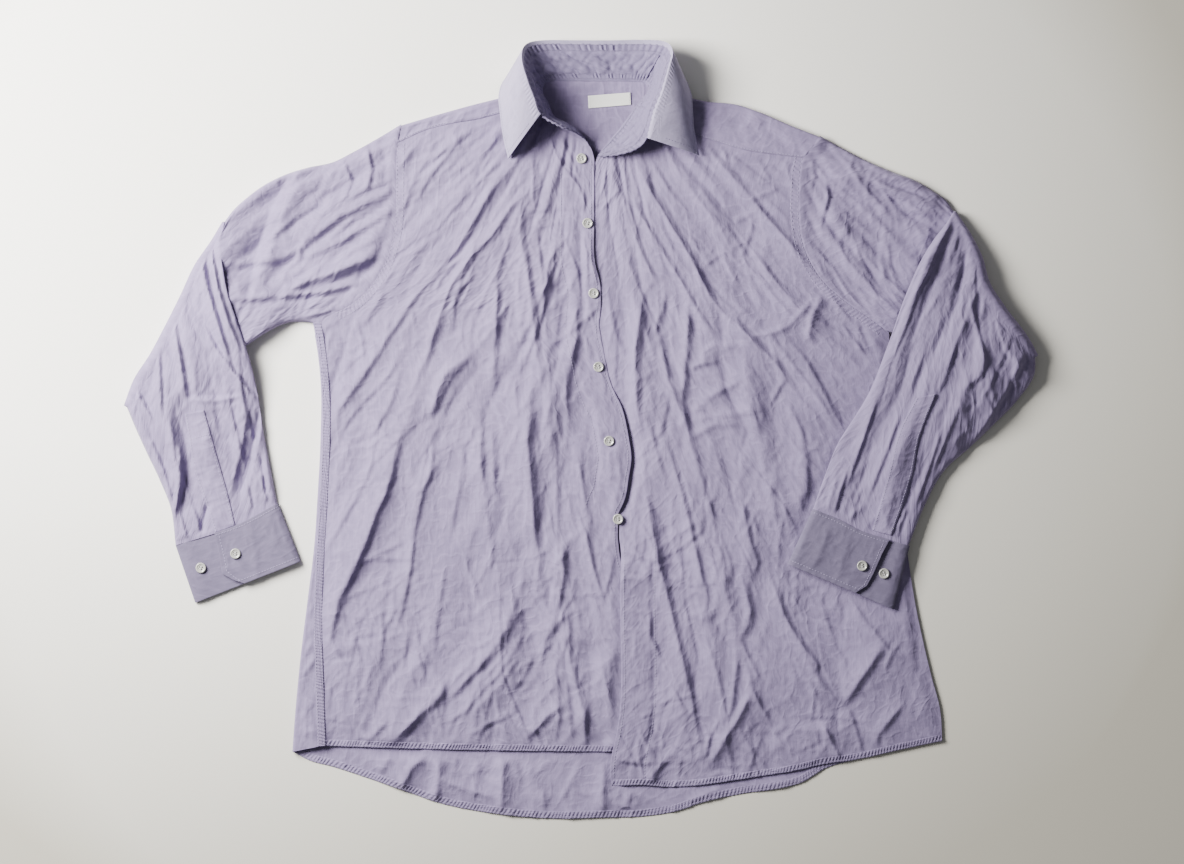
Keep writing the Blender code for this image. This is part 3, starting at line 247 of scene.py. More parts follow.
CENTRE_LEFT_PARTS = (CENTRE_LEFT_UPPER, CENTRE_LEFT_MIDDLE, CENTRE_LEFT_CROSSING, CENTRE_LEFT_LOWER)
CENTRE_LEFT = CENTRE_LEFT_UPPER + CENTRE_LEFT_MIDDLE[1:] + CENTRE_LEFT_CROSSING[1:] + CENTRE_LEFT_LOWER[1:]
CENTRE_RIGHT_UPPER = (
    (597.5, 157), (593, 172), (586, 195), (580, 230), (577, 280), (578, 330),
)
CENTRE_RIGHT_MIDDLE = ((578, 330), (583, 380), (593, 430), (605, 475), (613, 498), (619.7, 514))
CENTRE_RIGHT_CROSSING = ((619.7, 514), (619.7, 525), (619.7, 537))
CENTRE_RIGHT_LOWER = (
    (619.7, 537), (621.4, 551), (621, 577), (621, 620), (622, 676), (621, 705), (617, 734),
    (612.6, 753), (611, 770), (612, 786),
)
CENTRE_RIGHT_PARTS = (CENTRE_RIGHT_UPPER, CENTRE_RIGHT_MIDDLE, CENTRE_RIGHT_CROSSING, CENTRE_RIGHT_LOWER)
CENTRE_RIGHT = (
    CENTRE_RIGHT_UPPER + CENTRE_RIGHT_MIDDLE[1:] + CENTRE_RIGHT_CROSSING[1:] + CENTRE_RIGHT_LOWER[1:]
)
HEM_FRONT_LEFT = (
    (322, 745.5), (382, 747.6), (474, 750), (542, 751), (598, 751.5), (641, 752),
)
HEM_FRONT_RIGHT = (
    (612, 786), (646, 785), (664, 786.6), (696, 785.5), (728.5, 781), (761, 776), (795, 770.6),
    (825, 763.7), (852.5, 760), (898, 750), (921, 745), (942, 740.7),
)
HEM_BACK = (
    (292, 751), (310, 760.5), (331, 766), (365, 777), (400, 789), (440, 803), (500, 814), (560, 818.5),
    (600, 817.5), (640, 816.5), (680, 810), (700, 803), (740, 794), (780, 788), (800, 783),
    (826, 768), (862, 758), (941.5, 740),
)
CHEST_SEAMS = (
    YOKE_SEAM_LEFT, YOKE_SEAM_RIGHT, ARMHOLE_LEFT_FRONT, ARMHOLE_RIGHT_FRONT, NECKLINE_LEFT, NECKLINE_RIGHT,
)


class Fold(NamedTuple):
    """A ridge, or a trough where its height is below nought, that fades out at both ends of its path.

    Its two widths are those of its slopes: left is the smaller-u side of a path that runs down.
    """

    height: float
    left: float
    right: float
    path: Plan


def folds(*rows: tuple) -> tuple[Fold, ...]:
    """Folds from rows of a height, the widths of the two slopes and the places of the path."""
    return tuple(Fold(*row[:3], row[3:]) for row in rows)


FRONT_LEFT_FOLDS = folds(
    (4.5, 16, 9, (532, 186), (506, 211), (476, 250), (448, 290), (432, 340), (426, 372)),
    (3.5, 14, 8, (500, 166), (480, 206), (458, 246)),
    (3.0, 14, 9, (472, 172), (452, 220), (424, 246), (402, 262)),
    (4.0, 14, 8, (444, 264), (412, 304), (386, 342), (358, 384), (332, 428)),
    (7.0, 26, 11, (440, 352), (414, 402), (399, 440), (384, 500), (358, 556), (338, 598), (329, 650)),
    (4.5, 8, 10, (468, 356), (446, 375), (436, 396), (430, 416)),
    (4.0, 12, 8, (434, 430), (432, 466), (420, 500), (413, 556), (404, 610)),
    (3.0, 10, 9, (498, 262), (495, 330), (494, 388)),
    (3.5, 14, 12, (520, 200), (524, 240), (530, 290), (539, 370)),
    (3.5, 10, 8, (566, 240), (550, 260), (544, 300), (542, 336)),
    (5.0, 11, 11, (582, 326), (568, 358), (560, 386), (556, 424)),
    (5.0, 14, 12, (546, 340), (549, 376), (550, 430), (552, 480)),
    (6.5, 18, 11, (524, 400), (526, 440), (531, 500), (536, 552)),
    (4.0, 12, 12, (484, 400), (480, 460), (488, 520), (492, 572)),
    (4.0, 11, 9, (574, 432), (584, 500), (592, 560), (602, 596)),
    (5.0, 12, 11, (562, 536), (564, 580), (556, 616), (542, 646)),
    (4.5, 12, 11, (528, 552), (520, 590), (506, 630), (484, 658), (450, 696)),
    (4.5, 14, 11, (522, 646), (504, 680), (478, 706), (462, 718)),
    (5.5, 14, 10, (448, 680), (430, 704), (410, 724), (392, 742)),
    (4.0, 11, 10, (568, 612), (569, 662), (580, 700), (584, 744)),
    (4.0, 10, 10, (566, 700), (546, 716), (528, 738)),
    (3.5, 12, 10, (600, 650), (608, 700), (614, 742)),
    (3.0, 12, 10, (385, 722), (366, 743)),
    (-2.4, 10, 10, (550, 215), (584, 214)),
    (2.5, 12, 12, (474, 128), (440, 150), (428, 160)),
)
FRONT_RIGHT_FOLDS = folds(
    (4.5, 10, 14, (640, 168), (664, 214), (690, 256), (712, 300), (748, 344), (790, 390)),
    (3.5, 10, 12, (622, 190), (634, 236), (656, 286)),
    (4.0, 10, 12, (632, 186), (655, 245), (684, 288), (722, 346)),
    (3.5, 10, 12, (706, 148), (736, 184), (770, 224), (818, 284)),
    (3.5, 10, 10, (752, 242), (776, 286), (796, 324)),
    (3.0, 10, 10, (700, 188), (724, 236), (738, 288)),
    (6.5, 16, 12, (641, 300), (635, 350), (637, 400), (640, 436)),
    (4.5, 10, 12, (656, 330), (667, 380), (690, 438), (703, 488), (722, 560), (733, 634)),
    (4.0, 10, 10, (687, 306), (688, 346), (682, 402)),
    (3.5, 12, 10, (738, 345), (714, 352), (692, 368)),
    (3.5, 12, 12, (690, 412), (716, 394), (740, 380)),
    (3.5, 12, 12, (696, 434), (724, 418), (764, 410)),
    (4.0, 11, 13, (738, 345), (752, 400), (764, 464), (778, 540)),
    (4.0, 10, 12, (770, 335), (806, 372), (834, 424)),
    (4.0, 12, 10, (822, 292), (810, 316), (808, 342)),
    (3.0, 12, 12, (752, 336), (776, 331), (812, 300)),
    (4.5, 14, 12, (792, 396), (800, 440), (806, 500)),
    (4.0, 14, 10, (640, 440), (650, 500), (657, 560), (676, 640), (690, 708), (702, 760)),
    (5.0, 12, 12, (674, 436), (688, 510), (702, 590), (718, 670), (724, 706)),
    (4.0, 11, 13, (742, 500), (750, 560), (746, 616), (738, 656)),
    (5.5, 14, 12, (752, 688), (734, 722), (708, 760)),
    (3.5, 10, 11, (738, 640), (752, 684), (762, 714)),
    (4.0, 12, 11, (770, 580), (790, 630), (816, 674), (838, 700)),
    (4.0, 12, 14, (888, 644), (862, 674), (842, 704)),
    (3.5, 12, 11, (820, 718), (832, 744), (840, 762)),
    (3.5, 14, 12, (908, 698), (888, 722), (876, 744)),
    (-2.0, 10, 10, (626, 702), (660, 736), (698, 758)),
)
BACK_FOLDS = folds(
    (3.0, 12, 12, (398, 752), (380, 774)),
    (3.5, 14, 9, (422, 752), (406, 776), (400, 790)),
    (3.4, 8, 8, (440, 758), (438, 780), (434, 802)),
    (2.6, 10, 10, (442, 782), (478, 792), (498, 800)),
    (4.0, 10, 10, (505, 752), (503, 780), (503, 812)),
    (3.0, 10, 10, (524, 762), (536, 784), (544, 808)),
    (3.0, 10, 10, (604, 770), (602, 794), (604, 814)),
    (3.0, 10, 10, (632, 790), (626, 810)),
)
SLEEVE_LEFT_UPPER_FOLDS = folds(
    (3.5, 12, 9, (398, 180), (366, 202), (338, 222), (306, 244)),
    (3.5, 12, 9, (392, 208), (346, 240), (304, 262)),
    (3.5, 12, 9, (388, 256), (340, 272), (300, 284)),
    (3.0, 10, 8, (362, 292), (330, 300), (300, 312)),
)
SLEEVE_LEFT_FORE_FOLDS = folds(
    (4.0, 12, 9, (214, 250), (220, 300), (230, 344), (246, 392)),
    (4.0, 12, 9, (184, 310), (190, 352), (202, 404), (214, 470)),
    (3.5, 12, 9, (164, 366), (166, 420), (186, 500)),
    (3.0, 12, 9, (138, 408), (154, 450), (170, 490)),
)
SLEEVE_RIGHT_UPPER_FOLDS = folds(
    (3.5, 10, 12, (812, 172), (846, 178), (900, 190), (940, 206)),
    (3.5, 10, 12, (842, 212), (826, 226), (818, 240)),
    (3.0, 10, 12, (846, 248), (866, 278), (892, 312)),
)
SLEEVE_RIGHT_FORE_FOLDS = folds(
    (4.0, 10, 12, (950, 222), (926, 262), (908, 312), (884, 382), (850, 470)),
    (5.0, 12, 14, (984, 262), (962, 312), (938, 372), (904, 440), (872, 500)),
    (3.5, 10, 12, (998, 290), (984, 344), (956, 404), (924, 470)),
)


class SleeveRow(NamedTuple):
    """A flattened sleeve at one place along its stretch.

    It holds the height of the tube's middle at the over-arm edge, at the middle, near the underarm
    edge and at it, and half the distance between the two layers.
    """

    along: float
    over: float
    middle: float
    near_under: float
    under: float
    half_gap: float


ACROSS_STATIONS = (0.0, 0.5, 0.85, 1.0)
UPPER_ARM_ROWS = (
    SleeveRow(0.0, 4.0, 4.0, 4.0, 3.9, 3.3),
    SleeveRow(0.5, 4.2, 4.2, 4.2, 4.1, 3.5),
    SleeveRow(1.0, 3.8, 3.8, 3.8, 3.8, 3.1),
)
LEFT_FOREARM_ROWS = (
    SleeveRow(0.0, 8.0, 14.5, 14.5, 12.5, 3.0),
    SleeveRow(0.25, 22.0, 16.0, 12.0, 8.0, 3.0),
    SleeveRow(0.5, 16.0, 9.0, 6.0, 4.2, 3.0),
    SleeveRow(0.75, 6.0, 4.2, 3.6, 3.4, 2.8),
    SleeveRow(1.0, 3.2, 3.2, 3.2, 3.2, 2.6),
)
RIGHT_FOREARM_ROWS = (
    SleeveRow(0.0, 8.0, 17.5, 16.5, 11.5, 3.2),
    SleeveRow(0.2, 20.0, 21.0, 18.0, 7.5, 3.2),
    SleeveRow(0.4, 18.0, 18.0, 14.0, 4.4, 3.2),
    SleeveRow(0.6, 13.5, 13.0, 9.5, 4.0, 3.0),
    SleeveRow(0.8, 11.2, 10.8, 9.4, 5.4, 2.6),
    SleeveRow(1.0, 9.5, 9.4, 9.3, 8.6, 2.2),
)


# The upper arm swells up to the forearm's edge where it goes on into the elbow's fold.
ELBOW_SWELL_LEFT = folds(
    (12.0, 8, 42, (296, 140), (262, 188), (240, 207), (226, 224), (221, 245), (224, 268), (234, 305),
     (248, 345), (258, 380)),
)
ELBOW_SWELL_RIGHT = folds(
    (3.0, 24, 8, (930, 190), (926, 232), (910, 275), (892, 325), (874, 368)),
)


class SleeveCut(NamedTuple):
    """A sleeve's lines in plan, its heights and its folds."""

    armhole: Plan
    over_upper: Plan
    under_upper: Plan
    fold: Plan
    over_fore: Plan
    under_fore: Plan
    cuff_seam: Plan
    outward: Plan
    rows: tuple[SleeveRow, ...]
    swell: tuple[Fold, ...]
    upper_folds: tuple[Fold, ...]
    fore_folds: tuple[Fold, ...]


SLEEVE_LEFT = SleeveCut(
    armhole=ARMHOLE_LEFT_YOKE[:2] + ARMHOLE_LEFT_FRONT,
    over_upper=(
        (379, 138), (352, 153), (334, 162), (307, 168), (286, 174.6), (262.5, 186.5), (247, 198),
        (233, 211),
    ),
    under_upper=((306, 322), (290, 322.5), (268, 332), (248, 345), (210, 362), (165, 386)),
    fold=((222, 222), (211, 240.5), (195, 264), (180, 296), (166, 324), (150, 354), (134, 379), (124, 405)),
    over_fore=(
        (221, 234), (221, 248), (224, 268), (229, 293), (237, 317), (249, 353), (258, 392), (262, 420),
    ),
    under_fore=((133, 420), (146, 450), (160, 480), (171, 508)),
    cuff_seam=((277, 502), (236, 523.5), (213, 531.5), (175.7, 543.5)),
    outward=((-1.0, 0.0), (-0.85, -0.527)),
    rows=LEFT_FOREARM_ROWS,
    swell=ELBOW_SWELL_LEFT,
    upper_folds=SLEEVE_LEFT_UPPER_FOLDS,
    fore_folds=SLEEVE_LEFT_FORE_FOLDS,
)
SLEEVE_RIGHT = SleeveCut(
    armhole=ARMHOLE_RIGHT_YOKE[:2] + ARMHOLE_RIGHT_FRONT,
    over_upper=((860, 158), (892, 172), (913.6, 180), (933, 191.5), (946, 201)),
    under_upper=((920, 338), (960, 344), (1005, 350)),
    fold=((956, 211.5), (971, 234), (983, 259), (989, 281), (1004.6, 306), (1029.6, 339.6), (1038, 355)),
    over_fore=(
        (946, 223), (935, 237), (922, 257), (904.6, 295), (887, 345), (865, 398.6), (852, 420),
        (838, 442), (825, 474),
    ),
    under_fore=((1034, 372), (1017, 400), (993, 425), (970, 447), (943.7, 471), (924.5, 505)),
    cuff_seam=((813, 507.5), (836.5, 517), (861.4, 529.5), (886, 537), (908.6, 544)),
    outward=((1.0, 0.0), (0.82, -0.572)),
    rows=RIGHT_FOREARM_ROWS,
    swell=ELBOW_SWELL_RIGHT,
    upper_folds=SLEEVE_RIGHT_UPPER_FOLDS,
    fore_folds=SLEEVE_RIGHT_FORE_FOLDS,
)

# The forearm and the cuff on the right lie over this part of the front, which is smooth there.
COVERED_BY_SLEEVE = (
    (880, 330), (858, 384), (840, 411), (816, 468), (797, 504), (772, 560), (780, 574),
    (842, 610), (894, 626), (960, 615), (960, 330),
)


class CuffCut(NamedTuple):
    """A cuff's top and bottom lines in plan, the height of its lowest layer, its path and its free end.

    The path holds the share across the cuff and the layer. The free end holds the share down the
    cuff and how far the end moves there.
    """

    top: Plan
    bottom: Plan
    base: float
    path: Plan
    free_end: Plan


CUFF_LAYER = 3.0
CUFF_LEFT = CuffCut(
    top=((176.2, 544.9), (213.5, 533), (236.5, 525), (277.8, 503.4)),
    bottom=((195.9, 602.5), (248, 582), (300.4, 561.4)),
    base=CUFF_CLOTH / 2,
    path=(
        (0.37, 2.0), (0.52, 2.0), (0.66, 2.0), (0.82, 2.0), (0.965, 1.9), (1.0, 1.0), (0.965, 0.0),
        (0.7, 0.0), (0.35, 0.0), (0.035, 0.0), (0.0, 0.5), (0.035, 1.0), (0.2, 1.0), (0.42, 0.95),
        (0.6, 0.95),
    ),
    free_end=((0.0, 0.0), (0.4, -0.03), (0.7, -0.06), (0.88, 0.02), (1.0, 0.1)),
)
CUFF_RIGHT = CuffCut(
    top=((812.6, 508.9), (836.2, 518.4), (861, 530.9), (885.7, 538.4), (908.2, 545.5)),
    bottom=((787.7, 563.8), (840, 586), (892, 608.8)),
    base=7.3,
    path=(
        (0.8, 2.0), (0.6, 2.0), (0.4, 2.0), (0.2, 2.0), (0.035, 1.9), (0.0, 1.0), (0.035, 0.0),
        (0.3, 0.0), (0.65, 0.0), (0.965, 0.0), (1.0, 0.5), (0.965, 1.0), (0.8, 1.0), (0.62, 0.95),
        (0.45, 0.95),
    ),
    free_end=((0.0, 0.0), (0.25, -0.03), (0.6, -0.055), (0.82, -0.08), (1.0, -0.16)),
)


class CollarRow(NamedTuple):
    """The collar at one place round the neck, from its left front end round the back to its right one.

    It holds the seam at the neck, the top of the stand, the free edge of the leaf where it has one,
    and how the leaf runs between: out first and then down at 1, down first and then out at 0.
    """

    neck: tuple[float, float, float]
    top: tuple[float, float, float]
    edge: tuple[float, float, float] | None
    bend: float


COLLAR_ROWS = (
    CollarRow((586.3, 141.6, 10.3), (585.4, 139.4, 12.6), None, 0.8),
    CollarRow((577, 131, 10.3), (573, 132.8, 26.0), None, 0.8),
    CollarRow((566, 124, 10.3), (560, 128, 35.0), None, 0.8),
    CollarRow((553.5, 117, 10.3), (541.5, 117, 40.0), (508.8, 159, 11.0), 0.75),
    CollarRow((547.5, 104, 10.3), (535, 101, 42.0), (504, 139, 11.5), 0.8),
    CollarRow((542, 93, 10.4), (528.5, 84, 42.0), (500.5, 113, 12.5), 0.8),
    CollarRow((543.5, 83.6, 7.6), (523.5, 64, 36.0), (499.5, 95, 12.0), 0.7),
    CollarRow((551, 80.2, 4.4), (527, 49.8, 24.0), (506, 82, 5.0), 0.3),
    CollarRow((566, 79.8, 4.2), (543, 44.4, 14.0), (530, 86, 1.2), 0.05),
    CollarRow((590, 79.7, 4.2), (576, 44.2, 11.0), (567, 88, 1.1), 0.0),
    CollarRow((614, 79.8, 4.2), (611, 44.4, 11.0), (613, 88, 1.1), 0.0),
    CollarRow((633, 80.1, 4.3), (642, 44.2, 13.0), (655, 86, 1.2), 0.05),
    CollarRow((645, 81.2, 5.2), (664, 47.2, 22.0), (683, 83, 4.5), 0.3),
    CollarRow((650.5, 85.5, 8.8), (671, 57, 33.0), (690, 93, 11.5), 0.6),
    CollarRow((648, 93, 10.4), (668, 71, 38.0), (691.8, 104, 12.5), 0.75),
    CollarRow((641.5, 101, 10.3), (661, 95, 38.0), (692.6, 119, 12.5), 0.8),
    CollarRow((635.5, 109, 10.3), (654, 113, 35.0), (694.2, 134, 12.0), 0.8),
    CollarRow((624, 126, 10.3), (647, 139.5, 31.0), (698.7, 156, 11.4), 0.75),
    CollarRow((614, 138, 10.3), (636, 150.6, 25.0), None, 0.8),
    CollarRow((605.5, 147.8, 10.3), (617, 156, 18.0), None, 0.8),
    CollarRow((598.2, 156.2, 10.3), (600.4, 157.0, 12.4), None, 0.8),
)

# The middles of the front's buttons, from the neck down, and of the cuffs', and the label's corners, in plan.
FRONT_BUTTONS = ((581.5, 159), (587.6, 223.5), (593.6, 293.5), (598.5, 367), (609, 441), (618, 519))
CUFF_BUTTONS = ((236, 553.4), (201.3, 567.7), (861.4, 565.4), (883.4, 573.2))
LABEL_CORNERS = ((588, 96), (630.3, 92.7), (631, 104.8), (588.6, 108.4))

# Sleeve plackets: the two long edges in plan, from the top down to the cuff's seam.
PLACKET_LEFT = (
    ((186, 414), (190, 440), (196, 475), (207, 505), (215.4, 532.4)),
    ((205, 410), (212, 436), (220, 465), (228, 494), (235.3, 525.2)),
)
PLACKET_RIGHT = (
    ((915, 398), (897, 434), (888, 470), (880, 500), (871.4, 530)),
    ((934, 394), (918, 438), (911, 474), (902, 504), (890.4, 535)),
)

# The fine creases, charted from the photograph. A crease is a ridge whose slopes have
# their own widths, left being the smaller-u side of a path that runs down. A narrow right
# side makes the dark line that the light from the upper left leaves beside a ridge.
FRONT_LEFT_CREASES = folds(
    (2.2, 9, 3.0, (510, 160), (500, 174), (486, 200), (472, 226), (456, 252), (440, 268), (428, 284)),
    (2.0, 9, 3.0, (428, 284), (416, 296), (398, 322), (380, 350), (360, 382), (340, 408), (332, 426)),
    (1.5, 7, 2.6, (506, 160), (492, 168), (480, 180), (464, 198), (448, 216), (438, 228), (420, 238),
     (388, 260)),
    (2.6, 5, 4.0, (532, 188), (510, 208), (492, 236), (470, 258), (452, 284), (438, 320), (428, 354),
     (408, 400)),
    (3.2, 14, 3.4, (402, 434), (396, 462), (386, 494), (376, 514), (368, 540), (352, 576), (338, 604),
     (327, 654)),
    (2.0, 5, 3.5, (470, 356), (455, 364), (444, 376), (438, 392), (431, 416)),
    (1.7, 6, 2.2, (470, 359), (452, 375), (439, 402), (432, 418)),
    (1.4, 6, 2.4, (455, 262), (441, 279), (436, 290)),
    (1.0, 5, 2.4, (412, 308), (415, 328)),
    (1.8, 7, 3.6, (497, 272), (497, 310), (495, 340), (493, 370), (491, 392)),
    (2.1, 6, 4.4, (521, 200), (520, 235), (527, 275), (533, 320), (536, 350), (540, 374)),
    (1.3, 6, 2.4, (537, 228), (541, 270), (544, 302)),
    (-1.4, 3, 3.0, (527, 216), (550, 213), (587, 213)),
    (-0.8, 3, 3.0, (537, 232), (562, 226)),
    (1.6, 4, 3.0, (597, 309), (578, 325), (564, 336), (549, 346)),
    (1.7, 5, 2.6, (549, 135), (556, 155), (566, 172), (578, 185), (584, 200), (586, 222)),
    (1.3, 4, 2.4, (560, 135), (566, 150), (574, 165), (580, 180)),
    (1.6, 4, 4.0, (533, 158), (533, 200), (537, 214)),
    (1.0, 5, 2.4, (526, 155), (515, 176)),
    (1.5, 4, 3.0, (566, 238), (555, 250), (548, 264), (545, 292)),
    (1.7, 4, 3.6, (577, 298), (576, 340), (566, 376), (566, 400), (570, 424)),
    (1.4, 6, 3.0, (556, 378), (555, 410), (561, 442)),
    (1.1, 6, 2.6, (515, 378), (517, 420)),
    (-2.2, 7, 6.0, (350, 333), (345, 350), (338, 370), (329, 402)),
    (1.9, 8, 4.0, (385, 290), (378, 303), (370, 315), (360, 328)),
    (1.4, 4, 3.0, (356, 322), (362, 340), (364, 358)),
    (1.2, 4, 3.0, (346, 336), (362, 340), (377, 344)),
    (1.6, 7, 3.0, (404, 352), (385, 380), (365, 400), (350, 418), (332, 442)),
    (1.6, 7, 3.0, (402, 363), (392, 400), (380, 420), (372, 460), (366, 480), (355, 500), (335, 535),
     (325, 556)),
    (1.9, 9, 2.6, (434, 440), (430, 478), (422, 494), (414, 530), (410, 570), (402, 610), (396, 630)),
    (2.8, 9, 4.6, (529, 394), (531, 415), (528, 440), (532, 490), (536, 540), (539, 554), (538, 584)),
    (1.4, 6, 3.0, (552, 430), (556, 446), (557, 512)),
    (2.0, 7, 3.4, (562, 545), (564, 566), (560, 596), (556, 612)),
    (1.4, 5, 3.0, (567, 612), (569, 630), (570, 662)),
    (1.6, 4, 4.0, (571, 607), (555, 625), (545, 640), (539, 672)),
    (2.4, 7, 3.4, (494, 648), (482, 664), (466, 680), (448, 700)),
    (2.4, 6, 4.0, (449, 677), (438, 698), (418, 716), (402, 732), (392, 744)),
    (1.2, 4, 3.0, (434, 703), (440, 718), (444, 737)),
    (1.2, 4, 3.0, (443, 680), (443, 718)),
    (2.0, 8, 5.0, (513, 604), (506, 626), (498, 644), (489, 662)),
    (1.8, 6, 3.0, (521, 638), (498, 674), (482, 690), (466, 710), (449, 721)),
    (1.5, 5, 3.0, (533, 654), (524, 676), (513, 690)),
    (1.2, 4, 3.0, (503, 715), (490, 722), (469, 735)),
    (1.8, 5, 3.4, (563, 703), (548, 716), (526, 739)),
    (1.4, 4, 3.0, (562, 706), (557, 724), (555, 742)),
    (1.7, 5, 3.4, (570, 664), (580, 698), (584, 714), (586, 745)),
    (1.5, 5, 3.0, (564, 660), (568, 698), (572, 742)),
    (1.3, 5, 3.0, (590, 664), (586, 710), (584, 748)),
    (1.4, 4, 4.0, (599, 664), (606, 682), (618, 732)),
    (1.7, 4, 3.0, (584, 524), (590, 558), (603, 602)),
    (1.4, 4, 3.0, (614, 552), (610, 574), (602, 602)),
    (-1.0, 3, 3.0, (583, 596), (603, 601)),
    (1.4, 5, 3.0, (578, 458), (586, 506), (590, 520)),
    (1.0, 4, 2.6, (572, 464), (578, 500)),
    (1.6, 4, 4.0, (492, 428), (495, 498)),
    (1.2, 5, 2.6, (482, 428), (485, 498)),
    (1.1, 5, 2.6, (494, 536), (490, 572)),
    (1.3, 4, 3.0, (404, 541), (382, 552), (360, 561)),
    (1.2, 4, 3.0, (412, 559), (380, 558), (360, 562)),
    (1.3, 4, 4.0, (464, 554), (474, 586), (482, 618)),
    (1.2, 5, 3.0, (418, 624), (418, 640), (430, 666)),
    (1.7, 6, 3.0, (389, 719), (374, 734), (362, 744)),
    (0.8, 3, 2.0, (321, 617), (338, 613)),
    (1.4, 7, 3.0, (472, 128), (452, 150), (430, 176), (412, 206)),
    (1.2, 6, 3.0, (440, 134), (426, 160), (409, 192), (400, 226)),
    (1.2, 6, 2.6, (500, 132), (488, 150), (470, 172), (448, 192)),
    (1.0, 6, 2.6, (396, 268), (380, 288), (352, 312)),
    (1.2, 7, 3.0, (466, 440), (458, 490), (450, 540)),
    (1.2, 7, 3.0, (446, 560), (440, 600), (432, 650)),
    (1.0, 6, 3.0, (350, 620), (360, 660), (356, 710)),
    (1.1, 6, 3.0, (380, 600), (384, 646), (372, 690)),
)
